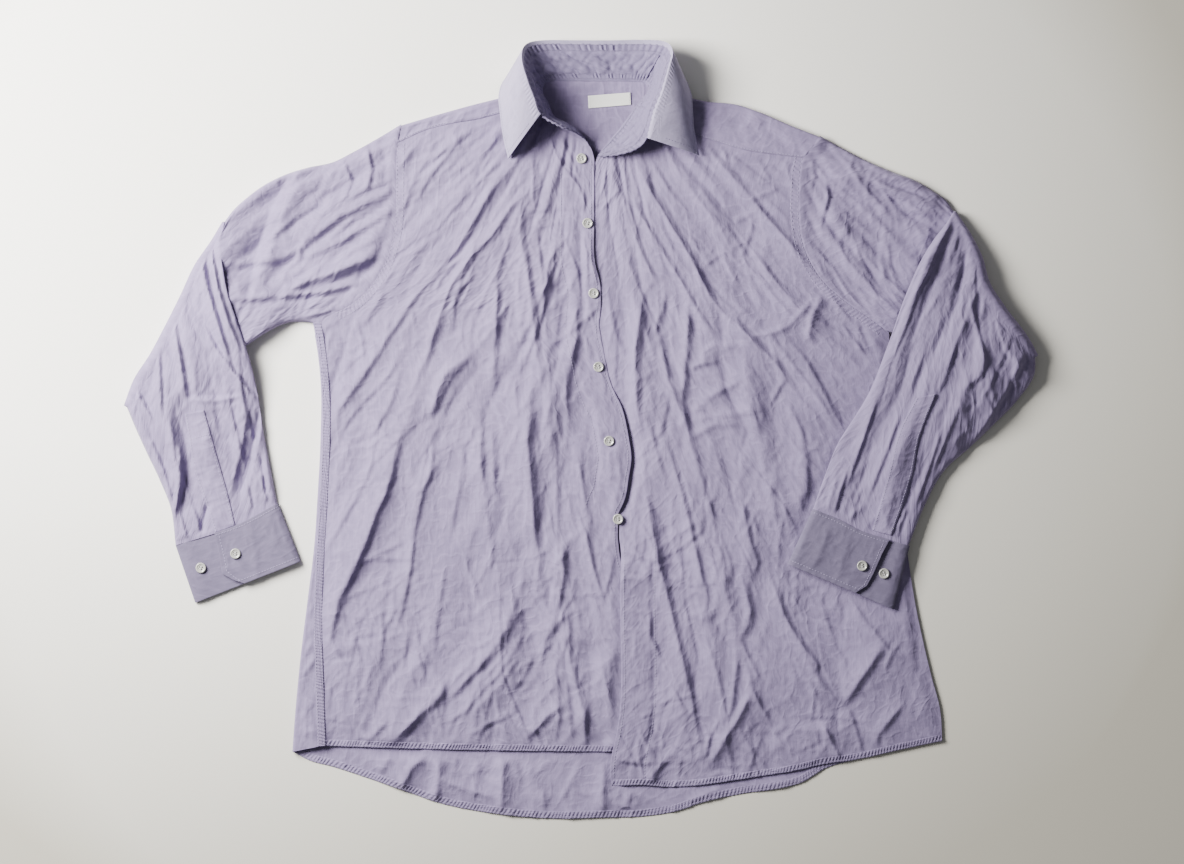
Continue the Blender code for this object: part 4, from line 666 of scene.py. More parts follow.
FRONT_RIGHT_CREASES = folds(
    (2.6, 5, 4.0, (636, 166), (655, 200), (674, 232), (692, 262), (708, 294), (720, 310)),
    (2.4, 5, 4.0, (720, 310), (740, 328), (766, 354), (780, 370), (794, 392)),
    (1.5, 4, 3.0, (622, 198), (636, 240), (645, 262), (661, 294)),
    (1.7, 4, 3.0, (627, 188), (642, 218), (662, 252), (680, 280), (698, 315), (717, 342)),
    (1.4, 4, 3.0, (685, 182), (700, 202), (717, 226)),
    (2.0, 4, 3.4, (706, 143), (715, 160), (742, 188), (770, 222), (795, 250), (822, 282)),
    (2.4, 4, 3.6, (799, 243), (816, 272), (832, 298), (845, 315), (857, 330)),
    (1.2, 4, 3.0, (756, 158), (764, 172), (771, 182)),
    (1.2, 4, 3.0, (785, 164), (790, 180), (795, 192)),
    (1.2, 3, 3.0, (779, 187), (765, 194), (750, 201)),
    (1.3, 3, 3.0, (753, 214), (735, 221)),
    (1.2, 3, 3.0, (750, 239), (730, 249)),
    (1.3, 3, 3.0, (752, 218), (750, 235), (740, 260)),
    (1.4, 5, 3.0, (723, 243), (725, 262), (739, 290)),
    (1.2, 3, 3.0, (724, 252), (712, 260), (700, 269)),
    (1.7, 4, 3.0, (747, 243), (760, 262), (775, 282), (802, 314)),
    (1.5, 4, 3.0, (740, 256), (755, 275), (785, 310), (796, 324)),
    (1.9, 3, 4.0, (814, 299), (788, 326), (775, 332), (750, 337)),
    (2.2, 3, 5.0, (821, 294), (810, 322), (808, 335), (813, 345)),
    (1.7, 4, 3.0, (791, 343), (805, 360), (824, 395), (832, 412), (851, 440)),
    (1.6, 4, 3.0, (767, 333), (800, 375), (825, 410), (839, 434)),
    (1.6, 3, 3.0, (786, 378), (780, 385), (771, 402)),
    (1.4, 5, 3.0, (790, 392), (790, 410), (801, 430), (806, 460), (808, 512)),
    (3.0, 5, 5.0, (642, 296), (635, 350), (634, 370), (637, 418)),
    (1.2, 3, 3.0, (652, 281), (644, 293), (643, 304)),
    (1.5, 4, 3.0, (666, 293), (662, 310), (654, 335)),
    (1.7, 5, 3.4, (659, 338), (668, 380), (682, 410), (691, 442)),
    (2.1, 6, 4.0, (686, 298), (688, 320), (685, 360), (682, 400), (688, 432)),
    (1.4, 3, 3.0, (718, 361), (700, 364), (689, 369)),
    (1.5, 3, 4.0, (740, 346), (715, 345), (699, 353)),
    (1.1, 4, 4.0, (740, 381), (715, 393), (699, 401)),
    (1.0, 4, 4.0, (758, 410), (725, 414), (689, 421)),
    (1.0, 4, 4.0, (742, 422), (712, 425), (689, 439)),
    (1.5, 8, 5.0, (741, 343), (750, 380), (769, 432)),
    (1.2, 7, 5.0, (768, 330), (778, 372)),
    (1.4, 3, 3.0, (620, 189), (610, 200), (595, 217)),
    (2.2, 4, 4.0, (645, 478), (650, 520), (666, 590), (678, 642), (692, 700), (702, 762)),
    (1.2, 3, 2.4, (636, 518), (648, 535), (658, 565), (656, 584)),
    (1.9, 5, 3.0, (664, 438), (678, 480), (688, 520), (698, 560), (704, 592)),
    (1.5, 4, 3.0, (703, 628), (718, 680), (728, 728)),
    (1.8, 8, 8.0, (682, 470), (700, 530), (720, 580), (735, 620), (735, 670), (726, 726)),
    (1.9, 7, 3.4, (740, 494), (750, 542), (757, 562), (751, 580)),
    (2.4, 7, 4.4, (740, 572), (750, 610), (748, 624), (739, 640)),
    (1.7, 4, 3.0, (740, 640), (756, 674), (761, 682)),
    (1.4, 4, 3.0, (748, 664), (750, 688), (773, 728)),
    (2.4, 4, 5.0, (753, 688), (735, 722), (715, 755), (703, 771)),
    (1.7, 4, 4.0, (738, 650), (733, 695), (727, 728)),
    (1.2, 3, 3.0, (700, 719), (708, 734), (706, 760)),
    (2.2, 5, 3.4, (771, 578), (784, 616), (802, 646), (817, 664), (811, 676)),
    (1.6, 4, 3.0, (814, 679), (839, 702)),
    (1.6, 4, 3.0, (849, 596), (866, 622), (882, 643)),
    (2.4, 8, 4.4, (885, 640), (866, 670), (842, 706)),
    (-2.0, 6, 6.0, (838, 706), (837, 734)),
    (1.6, 4, 3.0, (821, 722), (836, 751), (842, 763)),
    (1.4, 4, 3.0, (849, 708), (854, 726), (863, 755)),
    (1.6, 5, 3.0, (901, 704), (885, 725), (877, 735), (876, 747)),
    (1.2, 3, 3.0, (880, 640), (890, 652), (903, 658)),
    (1.1, 3, 3.0, (900, 640), (890, 655), (884, 672)),
    (-1.2, 2.4, 2.4, (623, 703), (640, 718), (670, 745), (701, 763)),
    (-1.0, 2.4, 2.4, (621, 703), (635, 725), (649, 762)),
    (-0.8, 2.4, 2.4, (616, 762), (647, 768)),
    (-0.6, 3, 3.0, (757, 735), (786, 735)),
    (1.2, 8, 5.0, (770, 478), (776, 520), (792, 572)),
    (1.2, 7, 7.0, (770, 438), (778, 480), (796, 556)),
    (1.2, 5, 3.0, (722, 146), (728, 166), (742, 184)),
    (1.1, 5, 3.0, (664, 128), (668, 152), (682, 180)),
    (1.2, 5, 3.0, (650, 160), (668, 190), (690, 216)),
    (1.0, 6, 3.0, (820, 470), (828, 490)),
    (1.2, 6, 3.0, (648, 420), (656, 452), (664, 480)),
    (1.1, 6, 3.0, (712, 440), (726, 486), (738, 524)),
    (1.0, 6, 3.0, (820, 600), (832, 640), (848, 670)),
)
BACK_CREASES = folds(
    (2.1, 4, 3.0, (393, 753), (380, 772)),
    (3.0, 6, 3.0, (427, 754), (410, 770), (401, 788)),
    (3.0, 4, 4.0, (439, 753), (438, 775), (436, 800)),
    (1.8, 4, 3.0, (457, 754), (455, 770), (441, 783)),
    (1.8, 3, 3.0, (439, 779), (470, 790), (497, 798)),
    (2.5, 4, 3.0, (503, 754), (502, 780), (501, 812)),
    (1.8, 4, 3.0, (507, 752), (515, 765), (521, 782)),
    (1.7, 4, 3.0, (561, 754), (545, 765), (529, 781)),
    (1.7, 4, 3.0, (543, 790), (544, 814)),
    (1.4, 3, 3.0, (571, 790), (592, 796)),
    (2.0, 5, 3.0, (604, 758), (603, 790), (602, 814)),
    (1.7, 4, 3.0, (632, 789), (624, 809)),
    (1.5, 4, 3.0, (720, 788), (687, 802)),
    (1.5, 4, 3.0, (340, 752), (346, 768)),
    (1.5, 4, 3.0, (476, 752), (478, 776), (470, 806)),
    (1.5, 4, 3.0, (584, 754), (574, 778), (560, 800)),
)
WRAP_CREASES = folds(
    (2.2, 4, 3.0, (321, 654), (310, 665), (299, 681)),
    (1.8, 4, 3.0, (313, 644), (301, 656)),
    (1.8, 4, 3.0, (305, 611), (313, 604)),
    (1.6, 4, 3.0, (306, 698), (306, 742)),
)
UPPER_LEFT_CREASES = folds(
    (-5.6, 36, 9, (296, 164), (284, 186), (273, 206), (266, 226), (260, 244), (253, 270), (247, 306)),
    (3.6, 11, 2.6, (409, 186), (369, 203), (340, 218), (316, 236), (292, 257)),
    (3.0, 8, 2.2, (322, 203), (295, 219), (266, 244)),
    (2.8, 8, 2.4, (404, 208), (384, 216), (348, 238), (326, 250), (299, 259)),
    (2.6, 7, 2.4, (411, 171), (394, 179), (366, 190), (345, 201)),
    (2.0, 5, 2.0, (400, 196), (376, 206), (352, 222), (330, 240)),
    (-4.0, 4, 12, (304, 256), (284, 264), (262, 267), (228, 271)),
    (-4.2, 4, 8, (388, 262), (360, 272), (340, 280), (318, 289)),
    (4.2, 14, 3.4, (388, 254), (356, 264), (330, 274), (305, 284), (278, 291)),
    (4.4, 9, 3.4, (368, 280), (345, 287), (324, 292), (276, 297), (224, 301)),
    (3.4, 7, 3.0, (364, 299), (343, 309), (318, 314), (292, 320)),
    (2.6, 6, 2.6, (332, 320), (300, 326), (266, 338)),
    (2.0, 4, 2.0, (299, 246), (302, 258), (290, 268)),
    (1.8, 5, 2.0, (262, 286), (276, 300), (262, 312)),
    (2.6, 5, 2.2, (367, 147), (372, 170), (367, 192)),
    (2.2, 3, 2.0, (398, 146), (404, 160), (409, 172)),
    (-3.0, 8, 7, (384, 150), (388, 165), (384, 184)),
    (1.8, 5, 2.2, (344, 162), (352, 182), (344, 200)),
    (1.6, 6, 2.2, (384, 236), (360, 248), (338, 260)),
    (-2.0, 9, 9, (330, 168), (318, 190), (296, 206)),
)
FORE_LEFT_CREASES = folds(
    (-4.0, 4, 5, (177, 412), (187, 445), (188, 472), (181, 522)),
    (2.8, 8, 2.4, (168, 416), (180, 450), (182, 480), (174, 522)),
    (-4.4, 5, 4, (260, 410), (252, 450), (240, 498)),
    (3.0, 10, 3.0, (250, 402), (243, 445), (231, 492)),
    (-3.4, 3, 3.0, (261, 454), (266, 496)),
    (-3.0, 3, 3.0, (208, 504), (201, 532)),
    (3.8, 3, 2.0, (212, 240), (214, 262), (220, 290), (230, 322), (242, 352)),
    (-2.9, 2, 2.0, (207, 250), (210, 275), (217, 305), (228, 338)),
    (4.1, 5, 2.4, (201, 252), (208, 285), (219, 322), (229, 356), (234, 372)),
    (3.5, 7, 2.2, (205, 326), (217, 348), (236, 374), (256, 398)),
    (3.3, 8, 2.0, (174, 312), (180, 347), (187, 385), (188, 404)),
    (2.6, 5, 1.8, (178, 336), (182, 364), (186, 396)),
    (3.2, 7, 2.0, (158, 340), (161, 366), (163, 418)),
    (3.5, 6, 1.6, (132, 380), (142, 398), (154, 420)),
    (2.6, 4, 2.0, (190, 399), (218, 400), (242, 396)),
    (2.5, 5, 2.0, (240, 372), (246, 410), (256, 450)),
    (2.3, 5, 2.0, (228, 392), (236, 430), (246, 470)),
    (2.2, 5, 2.0, (172, 420), (176, 460), (190, 500)),
    (2.0, 5, 2.0, (150, 436), (164, 470), (176, 512)),
    (2.5, 5, 2.0, (262, 470), (264, 490), (268, 502)),
    (2.2, 4, 2.0, (246, 480), (250, 498), (252, 512)),
    (2.0, 4, 2.0, (192, 506), (198, 520), (200, 534)),
    (1.9, 4, 2.0, (180, 512), (184, 528), (188, 538)),
)
UPPER_RIGHT_CREASES = folds(
    (1.5, 5, 2.2, (826, 183), (828, 197), (824, 212), (819, 230)),
    (1.1, 4, 2.4, (838, 206), (852, 222), (836, 244)),
    (1.1, 3, 2.2, (837, 240), (842, 254), (848, 268)),
    (1.2, 4, 2.2, (853, 247), (862, 262), (871, 278)),
    (1.5, 2.0, 6, (866, 177), (892, 194), (920, 204), (950, 212)),
    (1.3, 5, 2.4, (830, 178), (866, 175), (912, 180)),
    (-2.2, 5, 5, (902, 214), (920, 218), (940, 223)),
    (1.2, 5, 3.0, (850, 202), (880, 212), (905, 232)),
    (1.1, 4, 2.4, (856, 292), (880, 300), (898, 302)),
    (1.2, 4, 2.4, (812, 246), (830, 266), (846, 292), (866, 312)),
    (1.0, 4, 2.4, (810, 160), (815, 176), (810, 190)),
)
FORE_RIGHT_CREASES = folds(
    (-2.2, 1.8, 1.8, (951, 216), (930, 246), (919, 270), (905, 302), (893, 334), (880, 366)),
    (1.4, 3, 1.8, (956, 213), (937, 246), (926, 272), (912, 304), (900, 336), (886, 370)),
    (2.0, 6, 4.0, (960, 220), (953, 256), (941, 296), (932, 322), (920, 360), (905, 400)),
    (-1.8, 4, 6.0, (966, 250), (956, 290), (942, 330), (926, 372)),
    (1.8, 3, 5.0, (988, 268), (972, 298), (962, 325), (944, 372)),
    (1.7, 4, 2.2, (964, 320), (956, 334), (944, 375), (938, 392)),
    (1.8, 4, 2.2, (970, 307), (976, 334), (983, 361), (979, 376), (962, 390)),
    (2.0, 3, 4.0, (990, 270), (982, 300), (980, 316)),
    (2.2, 10, 3.0, (1030, 342), (1019, 365), (1004, 392), (971, 446)),
    (1.8, 6, 2.4, (900, 410), (886, 450), (866, 500)),
    (1.6, 6, 2.2, (876, 398), (862, 440), (846, 486)),
    (1.6, 6, 2.2, (942, 420), (930, 462), (914, 508)),
    (1.4, 5, 2.2, (960, 400), (944, 440), (930, 476)),
    (1.4, 4, 2.2, (846, 470), (838, 496), (834, 514)),
    (1.3, 4, 2.2, (862, 486), (854, 506), (850, 522)),
    (1.2, 4, 2.2, (906, 506), (900, 524), (896, 538)),
    (1.3, 4, 2.2, (1012, 330), (1000, 360), (982, 396)),
)
CUFF_LEFT_CREASES = folds(
    (1.1, 6, 4.0, (250, 524), (256, 556), (258, 584)),
    (0.9, 6, 4.0, (268, 512), (280, 548)),
    (0.9, 6, 4.0, (186, 548), (196, 580)),
    (-0.9, 5, 5.0, (226, 534), (232, 566)),
)
CUFF_RIGHT_CREASES = folds(
    (1.1, 6, 4.0, (830, 524), (818, 556), (806, 572)),
    (0.9, 6, 4.0, (850, 534), (838, 574)),
    (0.9, 6, 4.0, (890, 552), (884, 580)),
)


def place(grid: np.ndarray) -> np.ndarray:
    """Turns plan places and heights in millimetres into points in metres.

    Args:
        grid: Any array whose last axis holds u, v and height.

    Returns:
        The points in the frame of the part.
    """
    u, v, height = grid[..., 0], grid[..., 1], grid[..., 2]
    return np.stack([(u - TABLE_MIDDLE_U) * MM, (TABLE_MIDDLE_V - v) * MM, height * MM], -1)


def smooth_step(value: np.ndarray | float) -> np.ndarray:
    """Nought below 0, one above 1 and an even slope between."""
    value = np.clip(value, 0.0, 1.0)
    return value * value * (3.0 - 2.0 * value)


def spread(count: int) -> np.ndarray:
    """The fractions of a length cut into so many equal steps."""
    return np.linspace(0.0, 1.0, count + 1)


def blend(at: np.ndarray, stations: Sequence[float], values: Sequence) -> np.ndarray:
    """Carries values given at stations smoothly to the places between them.

    Args:
        at: The places wanted.
        stations: Rising places where the values are known.
        values: One value or row of values for each station.

    Returns:
        A row of values for each place wanted.
    """
    stations = np.asarray(stations, float)
    values = np.asarray(values, float)
    slopes = np.gradient(values, stations, axis=0)
    at = np.asarray(at, float)
    i = np.clip(np.searchsorted(stations, at, side="right") - 1, 0, len(stations) - 2)
    span = (stations[i + 1] - stations[i])[..., None]
    t = (at - stations[i])[..., None] / span
    return (
        (2 * t**3 - 3 * t**2 + 1) * values[i]
        + (t**3 - 2 * t**2 + t) * span * slopes[i]
        + (3 * t**2 - 2 * t**3) * values[i + 1]
        + (t**3 - t**2) * span * slopes[i + 1]
    )


def run_lengths(line: np.ndarray) -> np.ndarray:
    """How far each place of a line lies from its start, along the line."""
    return np.concatenate([[0.0], np.cumsum(np.linalg.norm(np.diff(line, axis=0), axis=1))])


def read_along(line: np.ndarray, stations: np.ndarray, at: np.ndarray) -> np.ndarray:
    """Reads the places of a line between its stations.

    Args:
        line: One place for each station.
        stations: Rising distances along the line.
        at: The distances wanted, in any grid.

    Returns:
        A place for each one wanted.
    """
    return np.stack([np.interp(at, stations, line[:, k]) for k in range(line.shape[1])], -1)


def unit(ways: np.ndarray) -> np.ndarray:
    """The same ways, each at a length of one."""
    return ways / np.maximum(np.linalg.norm(ways, axis=-1), 1e-9)[..., None]


def curve(points: Plan, fractions: np.ndarray) -> np.ndarray:
    """Finds places at fractions of the length of a smooth curve.

    Args:
        points: What the curve passes through.
        fractions: Shares of its length, from 0 to 1.

    Returns:
        One place for each fraction.
    """
    points = np.asarray(points, float)
    knots = run_lengths(points)
    dense = blend(np.linspace(0.0, knots[-1], 12 * len(points)), knots, points)
    lengths = run_lengths(dense)
    return read_along(dense, lengths, np.asarray(fractions, float) * lengths[-1])


def joined(stretches: Sequence[Plan], fractions: np.ndarray) -> np.ndarray:
    """Finds places along smooth stretches that meet end to end, each corner kept.

    Args:
        stretches: The points of each stretch, in order.
        fractions: Shares of the whole length, from 0 to 1.

    Returns:
        One place for each fraction.
    """
    parts = [curve(points, spread(24 * len(points))) for points in stretches]
    line = np.concatenate([parts[0]] + [part[1:] for part in parts[1:]])
    lengths = run_lengths(line)
    return read_along(line, lengths, np.asarray(fractions, float) * lengths[-1])


def share_along(line: np.ndarray) -> np.ndarray:
    """How far along a line each of its places lies, from 0 to 1."""
    lengths = run_lengths(line)
    return lengths / lengths[-1]


def patch(top: np.ndarray, bottom: np.ndarray, left: np.ndarray, right: np.ndarray) -> np.ndarray:
    """Fills the space between four lines with rows of places.

    Args:
        top: The first row, from left to right.
        bottom: The last row, from left to right.
        left: The first column, running down.
        right: The last column, running down.

    Returns:
        The rows of plan places.
    """
    s = ((share_along(top) + share_along(bottom)) / 2)[None, :, None]
    t = ((share_along(left) + share_along(right)) / 2)[:, None, None]
    sides = (1 - s) * left[:, None] + s * right[:, None]
    ends = (1 - t) * top[None] + t * bottom[None]
    corners = (1 - t) * ((1 - s) * top[0] + s * top[-1]) + t * ((1 - s) * bottom[0] + s * bottom[-1])
    return sides + ends - corners


def moved_aside(line: np.ndarray, distance: np.ndarray | float) -> np.ndarray:
    """Moves a line sideways: one that runs down the table moves towards smaller u.

    Args:
        line: Plan places.
        distance: How far, the same all along or one for each place.

    Returns:
        The moved line.
    """
    line = np.asarray(line, float)
    run = unit(np.gradient(line, axis=0))
    return line + np.reshape(distance, (-1, 1)) * np.stack([-run[:, 1], run[:, 0]], 1)


def distance_to(path: Plan, u: np.ndarray, v: np.ndarray) -> tuple[np.ndarray, np.ndarray]:
    """Measures how far plan places lie from a path.

    Args:
        path: The path's places.
        u: Places to the right.
        v: Places down the table.

    Returns:
        The distance, above nought on the smaller-u side of a path that runs down, and the share
        along the path.
    """
    path = np.asarray(path, float)
    ends = run_lengths(path)
    nearest = np.full(np.shape(u), np.inf)
    share = np.zeros(np.shape(u))
    for i in range(len(path) - 1):
        run = path[i + 1] - path[i]
        length = ends[i + 1] - ends[i]
        du, dv = u - path[i, 0], v - path[i, 1]
        first = -0.5 if i == 0 else 0.0
        last = 1.5 if i == len(path) - 2 else 1.0
        t = np.clip((du * run[0] + dv * run[1]) / length**2, first, last)
        off_u, off_v = du - t * run[0], dv - t * run[1]
        away = np.hypot(off_u, off_v) * np.where(run[0] * off_v - run[1] * off_u > 0, 1.0, -1.0)
        closer = np.abs(away) < np.abs(nearest)
        nearest = np.where(closer, away, nearest)
        share = np.where(closer, (ends[i] + t * length) / ends[-1], share)
    return nearest, share


def raised_by(ridges: Sequence[Fold], u: np.ndarray, v: np.ndarray, sharpness: float = 1.5) -> np.ndarray:
    """Adds up the heights of folds at plan places, each worked out only near its own path.

    Args:
        ridges: The folds.
        u: Places to the right.
        v: Places down the table.
        sharpness: The power of the slopes' fall: 1 for a sharp crest, 2 for a round one.

    Returns:
        The height to add at each place.
    """
    total = np.zeros(np.shape(u))
    flat_u, flat_v, flat = np.ravel(u), np.ravel(v), total.reshape(-1)
    for fold in ridges:
        path = np.asarray(fold.path, float)
        reach = 3.2 * max(fold.left, fold.right)
        low, high = path.min(0) - reach, path.max(0) + reach
        near = (flat_u > low[0]) & (flat_u < high[0]) & (flat_v > low[1]) & (flat_v < high[1])
        near = np.flatnonzero(near)
        if not len(near):
            continue
        away, share = distance_to(path, flat_u[near], flat_v[near])
        width = np.where(away > 0, fold.left, fold.right)
        fade = smooth_step((share + END_FADE_PAST) / END_FADE)
        fade *= smooth_step((1 + END_FADE_PAST - share) / END_FADE)
        flat[near] += fold.height * fade * np.exp(-((np.abs(away) / width) ** sharpness))
    return flat.reshape(np.shape(u))


def pinched(creases: Sequence[Fold], gain: float) -> list[Fold]:
    """Draws creases up and gives each a small trough along its steep side.

    Args:
        creases: The creases.
        gain: How much higher they become.

    Returns:
        The creases and their troughs.
    """
    drawn = []
    for fold in creases:
        steep = min(fold.left, fold.right)
        side = 1.0 if fold.left < fold.right else -1.0
        drawn.append(Fold(fold.height * gain, fold.left * 0.85, fold.right * 0.8, fold.path))
        beside = moved_aside(fold.path, side * steep * 1.5)
        drawn.append(Fold(-0.4 * fold.height * gain, steep, steep, beside))
    return drawn


def inside_polygon(corners: Plan, u: np.ndarray, v: np.ndarray) -> np.ndarray:
    """Measures how far inside a closed outline plan places lie.

    Args:
        corners: The outline, in order.
        u: Places to the right.
        v: Places down the table.

    Returns:
        The distance to the outline, nought outside it.
    """
    corners = np.asarray(corners, float)
    away, _ = distance_to(np.concatenate([corners, corners[:1]]), u, v)
    crossings = np.zeros(np.shape(u), bool)
    for (u0, v0), (u1, v1) in zip(corners, np.roll(corners, -1, axis=0)):
        spans = (v0 > v) != (v1 > v)
        at = u0 + (v - v0) * (u1 - u0) / (v1 - v0 if v1 != v0 else 1.0)
        crossings ^= spans & (u < at)
    return np.where(crossings, np.abs(away), 0.0)


def line_u(line: Plan, v: np.ndarray) -> np.ndarray:
    """Where a line that runs down the table stands at each v."""
    dense = curve(line, spread(160))
    return np.interp(v, dense[:, 1], dense[:, 0])


def hem_v(line: Plan, u: np.ndarray) -> np.ndarray:
    """Where a line that runs across the table stands at each u."""
    dense = curve(line, spread(160))
    return np.interp(u, dense[:, 0], dense[:, 1])


def with_height(plan: np.ndarray, height: np.ndarray | float) -> np.ndarray:
    """A grid of plan places with a height for each."""
    return np.concatenate([plan, np.broadcast_to(height, plan.shape[:-1])[..., None]], axis=-1)


def lying_on(height: Heights, plan: np.ndarray, lift: np.ndarray | float = 0.0) -> np.ndarray:
    """A grid of plan places laid on a form, or lifted off it."""
    return with_height(plan, height(plan[..., 0], plan[..., 1]) + lift)


def smooth_noise(x: np.ndarray, y: np.ndarray, seed: int) -> np.ndarray:
    """Smooth unevenness of about -1 to 1 whose bumps are one unit apart.

    Args:
        x: Places across, in bumps.
        y: Places along, in bumps.
        seed: Which of the even patterns to use.

    Returns:
        The value at each place.
    """
    turn = np.random.default_rng(seed).uniform(0.0, 2.0 * math.pi, (64, 64))
    lean_x, lean_y = np.cos(turn), np.sin(turn)
    cell_x, cell_y = np.floor(x).astype(int), np.floor(y).astype(int)
    in_x, in_y = x - cell_x, y - cell_y
    mix_x = in_x**3 * (in_x * (in_x * 6 - 15) + 10)
    mix_y = in_y**3 * (in_y * (in_y * 6 - 15) + 10)

    def corner(i: int, j: int) -> np.ndarray:
        """The slope of one corner of the cell, carried to the place."""
        a, b = (cell_x + i) % 64, (cell_y + j) % 64
        return lean_x[a, b] * (in_x - i) + lean_y[a, b] * (in_y - j)

    upper = corner(0, 0) * (1 - mix_x) + corner(1, 0) * mix_x
    lower = corner(0, 1) * (1 - mix_x) + corner(1, 1) * mix_x
    return 1.5 * (upper * (1 - mix_y) + lower * mix_y)


def crest(x: np.ndarray, y: np.ndarray, seed: int, narrow: float) -> np.ndarray:
    """A net of sharp crests.

    Args:
        x: Places across, in meshes of the net.
        y: Places along, in meshes of the net.
        seed: Which of the even patterns to use.
        narrow: How narrow the crests are.

    Returns:
        From 0 in the hollows to 1 on the crests.
    """
    return (1.0 - np.minimum(np.abs(smooth_noise(x, y, seed)) * narrow, 1.0)) ** 1.4


@dataclass(frozen=True)
class Crumple:
    """The small creases of a panel: a net of crests and a strewing of short sharp ones.

    Both run along the lines that leave the flow's start. Lengths are in millimetres.
    """

    seed: int
    flow_from: tuple[float, float]
    count: int
    depth: float = 0.75
    height: tuple[float, float] = (0.25, 0.95)
    length: tuple[float, float] = (18.0, 75.0)
    gentle_width: tuple[float, float] = (2.6, 7.0)
    steep_width: tuple[float, float] = (1.3, 2.6)
    lean: float = 0.42
    long_share: float = 0.12
    long_lean: float = 0.16
    longer: float = 2.4
    ridge_share: float = 0.75
    trough: float = -0.7
    steep_left_share: float = 0.3
    bow: float = 0.14
    loose_from: float = 380.0
    loose_blend: float = 260.0
    stretch: float = 2.4
    reach: float = 360.0
    patch_size: float = 120.0

    def net(self, u: np.ndarray, v: np.ndarray) -> np.ndarray:
        """Works out the net of crests: wide and fine ones along the flow, two kinds across it, and facets.

        Args:
            u: Places to the right.
            v: Places down the table.

        Returns:
            The height to add at each place.
        """
        du, dv = u - self.flow_from[0], v - self.flow_from[1]
        across = np.arctan2(du, dv) * self.reach
        along = np.hypot(du, dv) / self.stretch
        bend = smooth_noise(u / 90.0, v / 90.0, self.seed + 1) * 12.0
        layers = (
            (1.1, 0.2, crest((across + bend) / 46.0, along / 46.0, self.seed + 2, 5.0)),
            (0.7, 0.3, crest((across - bend) / 21.0, along / 25.0, self.seed + 3, 3.2)),
            (0.5, 0.2, crest(u / 34.0 + bend / 20.0, v / 34.0, self.seed + 4, 4.2)),
            (0.3, 0.3, crest(u / 13.0 - bend / 30.0, v / 17.0, self.seed + 6, 2.6)),
        )
        crests = sum(share * (layer - hollow) for share, hollow, layer in layers)
        facets = np.abs(smooth_noise((across + bend) / 38.0, along / 62.0, self.seed + 7))
        swell = smooth_noise(u / 70.0, v / 90.0, self.seed + 5)
        return self.depth * (crests * self.patches(u, v) + 4.2 * (facets - 0.3) + 0.8 * swell)

    def patches(self, u: np.ndarray, v: np.ndarray) -> np.ndarray:
        """Where the cloth is more and less crumpled, about 0.2 to 1.3."""
        uneven = smooth_noise(u / self.patch_size, v / self.patch_size, self.seed + 9)
        return np.clip(0.72 + 0.75 * uneven, 0.2, 1.3)

    def strewn(self, low: tuple[float, float], high: tuple[float, float]) -> list[Fold]:
        """Strews short creases over a stretch of the table.

        Args:
            low: The smallest u and v.
            high: The largest u and v.

        Returns:
            The creases, the same ones at each call.
        """
        draw = np.random.default_rng(self.seed)
        found = []
        for _ in range(self.count):
            middle = draw.uniform(low, high)
            away = middle - np.asarray(self.flow_from)
            flow = math.atan2(away[1], away[0])
            loose = smooth_step((middle[1] - self.loose_from) / self.loose_blend)
            turn = flow + draw.normal(0.0, self.lean * (0.7 + 1.1 * loose))
            half = draw.uniform(*self.length) / 2
            if draw.random() < self.long_share:
                half *= self.longer
                turn = flow + draw.normal(0.0, self.long_lean)
            run = np.array([math.cos(turn), math.sin(turn)])
            if run[1] < 0:
                run = -run
            side = np.array([-run[1], run[0]]) * draw.normal(0.0, self.bow) * half
            height = draw.uniform(*self.height) * (1.0 if draw.random() < self.ridge_share else self.trough)
            height *= float(self.patches(middle[0], middle[1]))
            wide, steep = draw.uniform(*self.gentle_width), draw.uniform(*self.steep_width)
            if draw.random() < self.steep_left_share:
                wide, steep = steep + 0.6, wide
            path = (tuple(middle - run * half), tuple(middle + side), tuple(middle + run * half))
            found.append(Fold(height, wide, steep, path))
        return found


class Slot(Enum):
    """The record's material slots."""

    CLOTH = "cloth"
    STIFFENED = "stiffened_cloth"
    LABEL = "label"
    PEARL = "pearl"


class Held(Enum):
    """How a piece of cloth lies."""

    LAID = "laid"
    FOLDED = "folded"


def new_group(
    name: str, takes: dict[str, object], gives: dict[str, str],
) -> tuple[bpy.types.NodeTree, "Wiring", bpy.types.NodeOutputs]:
    """Makes an empty node group for materials.

    Args:
        name: The group's name.
        takes: Each input's starting value, a number or a colour.
        gives: Each output's kind of socket.

    Returns:
        The group, the wiring of its nodes, and what it is given.
    """
    group = bpy.data.node_groups.new(name, "ShaderNodeTree")
    for label, value in takes.items():
        kind = "NodeSocketFloat" if isinstance(value, float) else "NodeSocketColor"
        group.interface.new_socket(label, in_out="INPUT", socket_type=kind).default_value = value
    for label, kind in gives.items():
        group.interface.new_socket(label, in_out="OUTPUT", socket_type=kind)
    given = group.nodes.new("NodeGroupInput").outputs
    group.nodes.new("NodeGroupOutput").name = "Gives"
    return group, Wiring(group), given


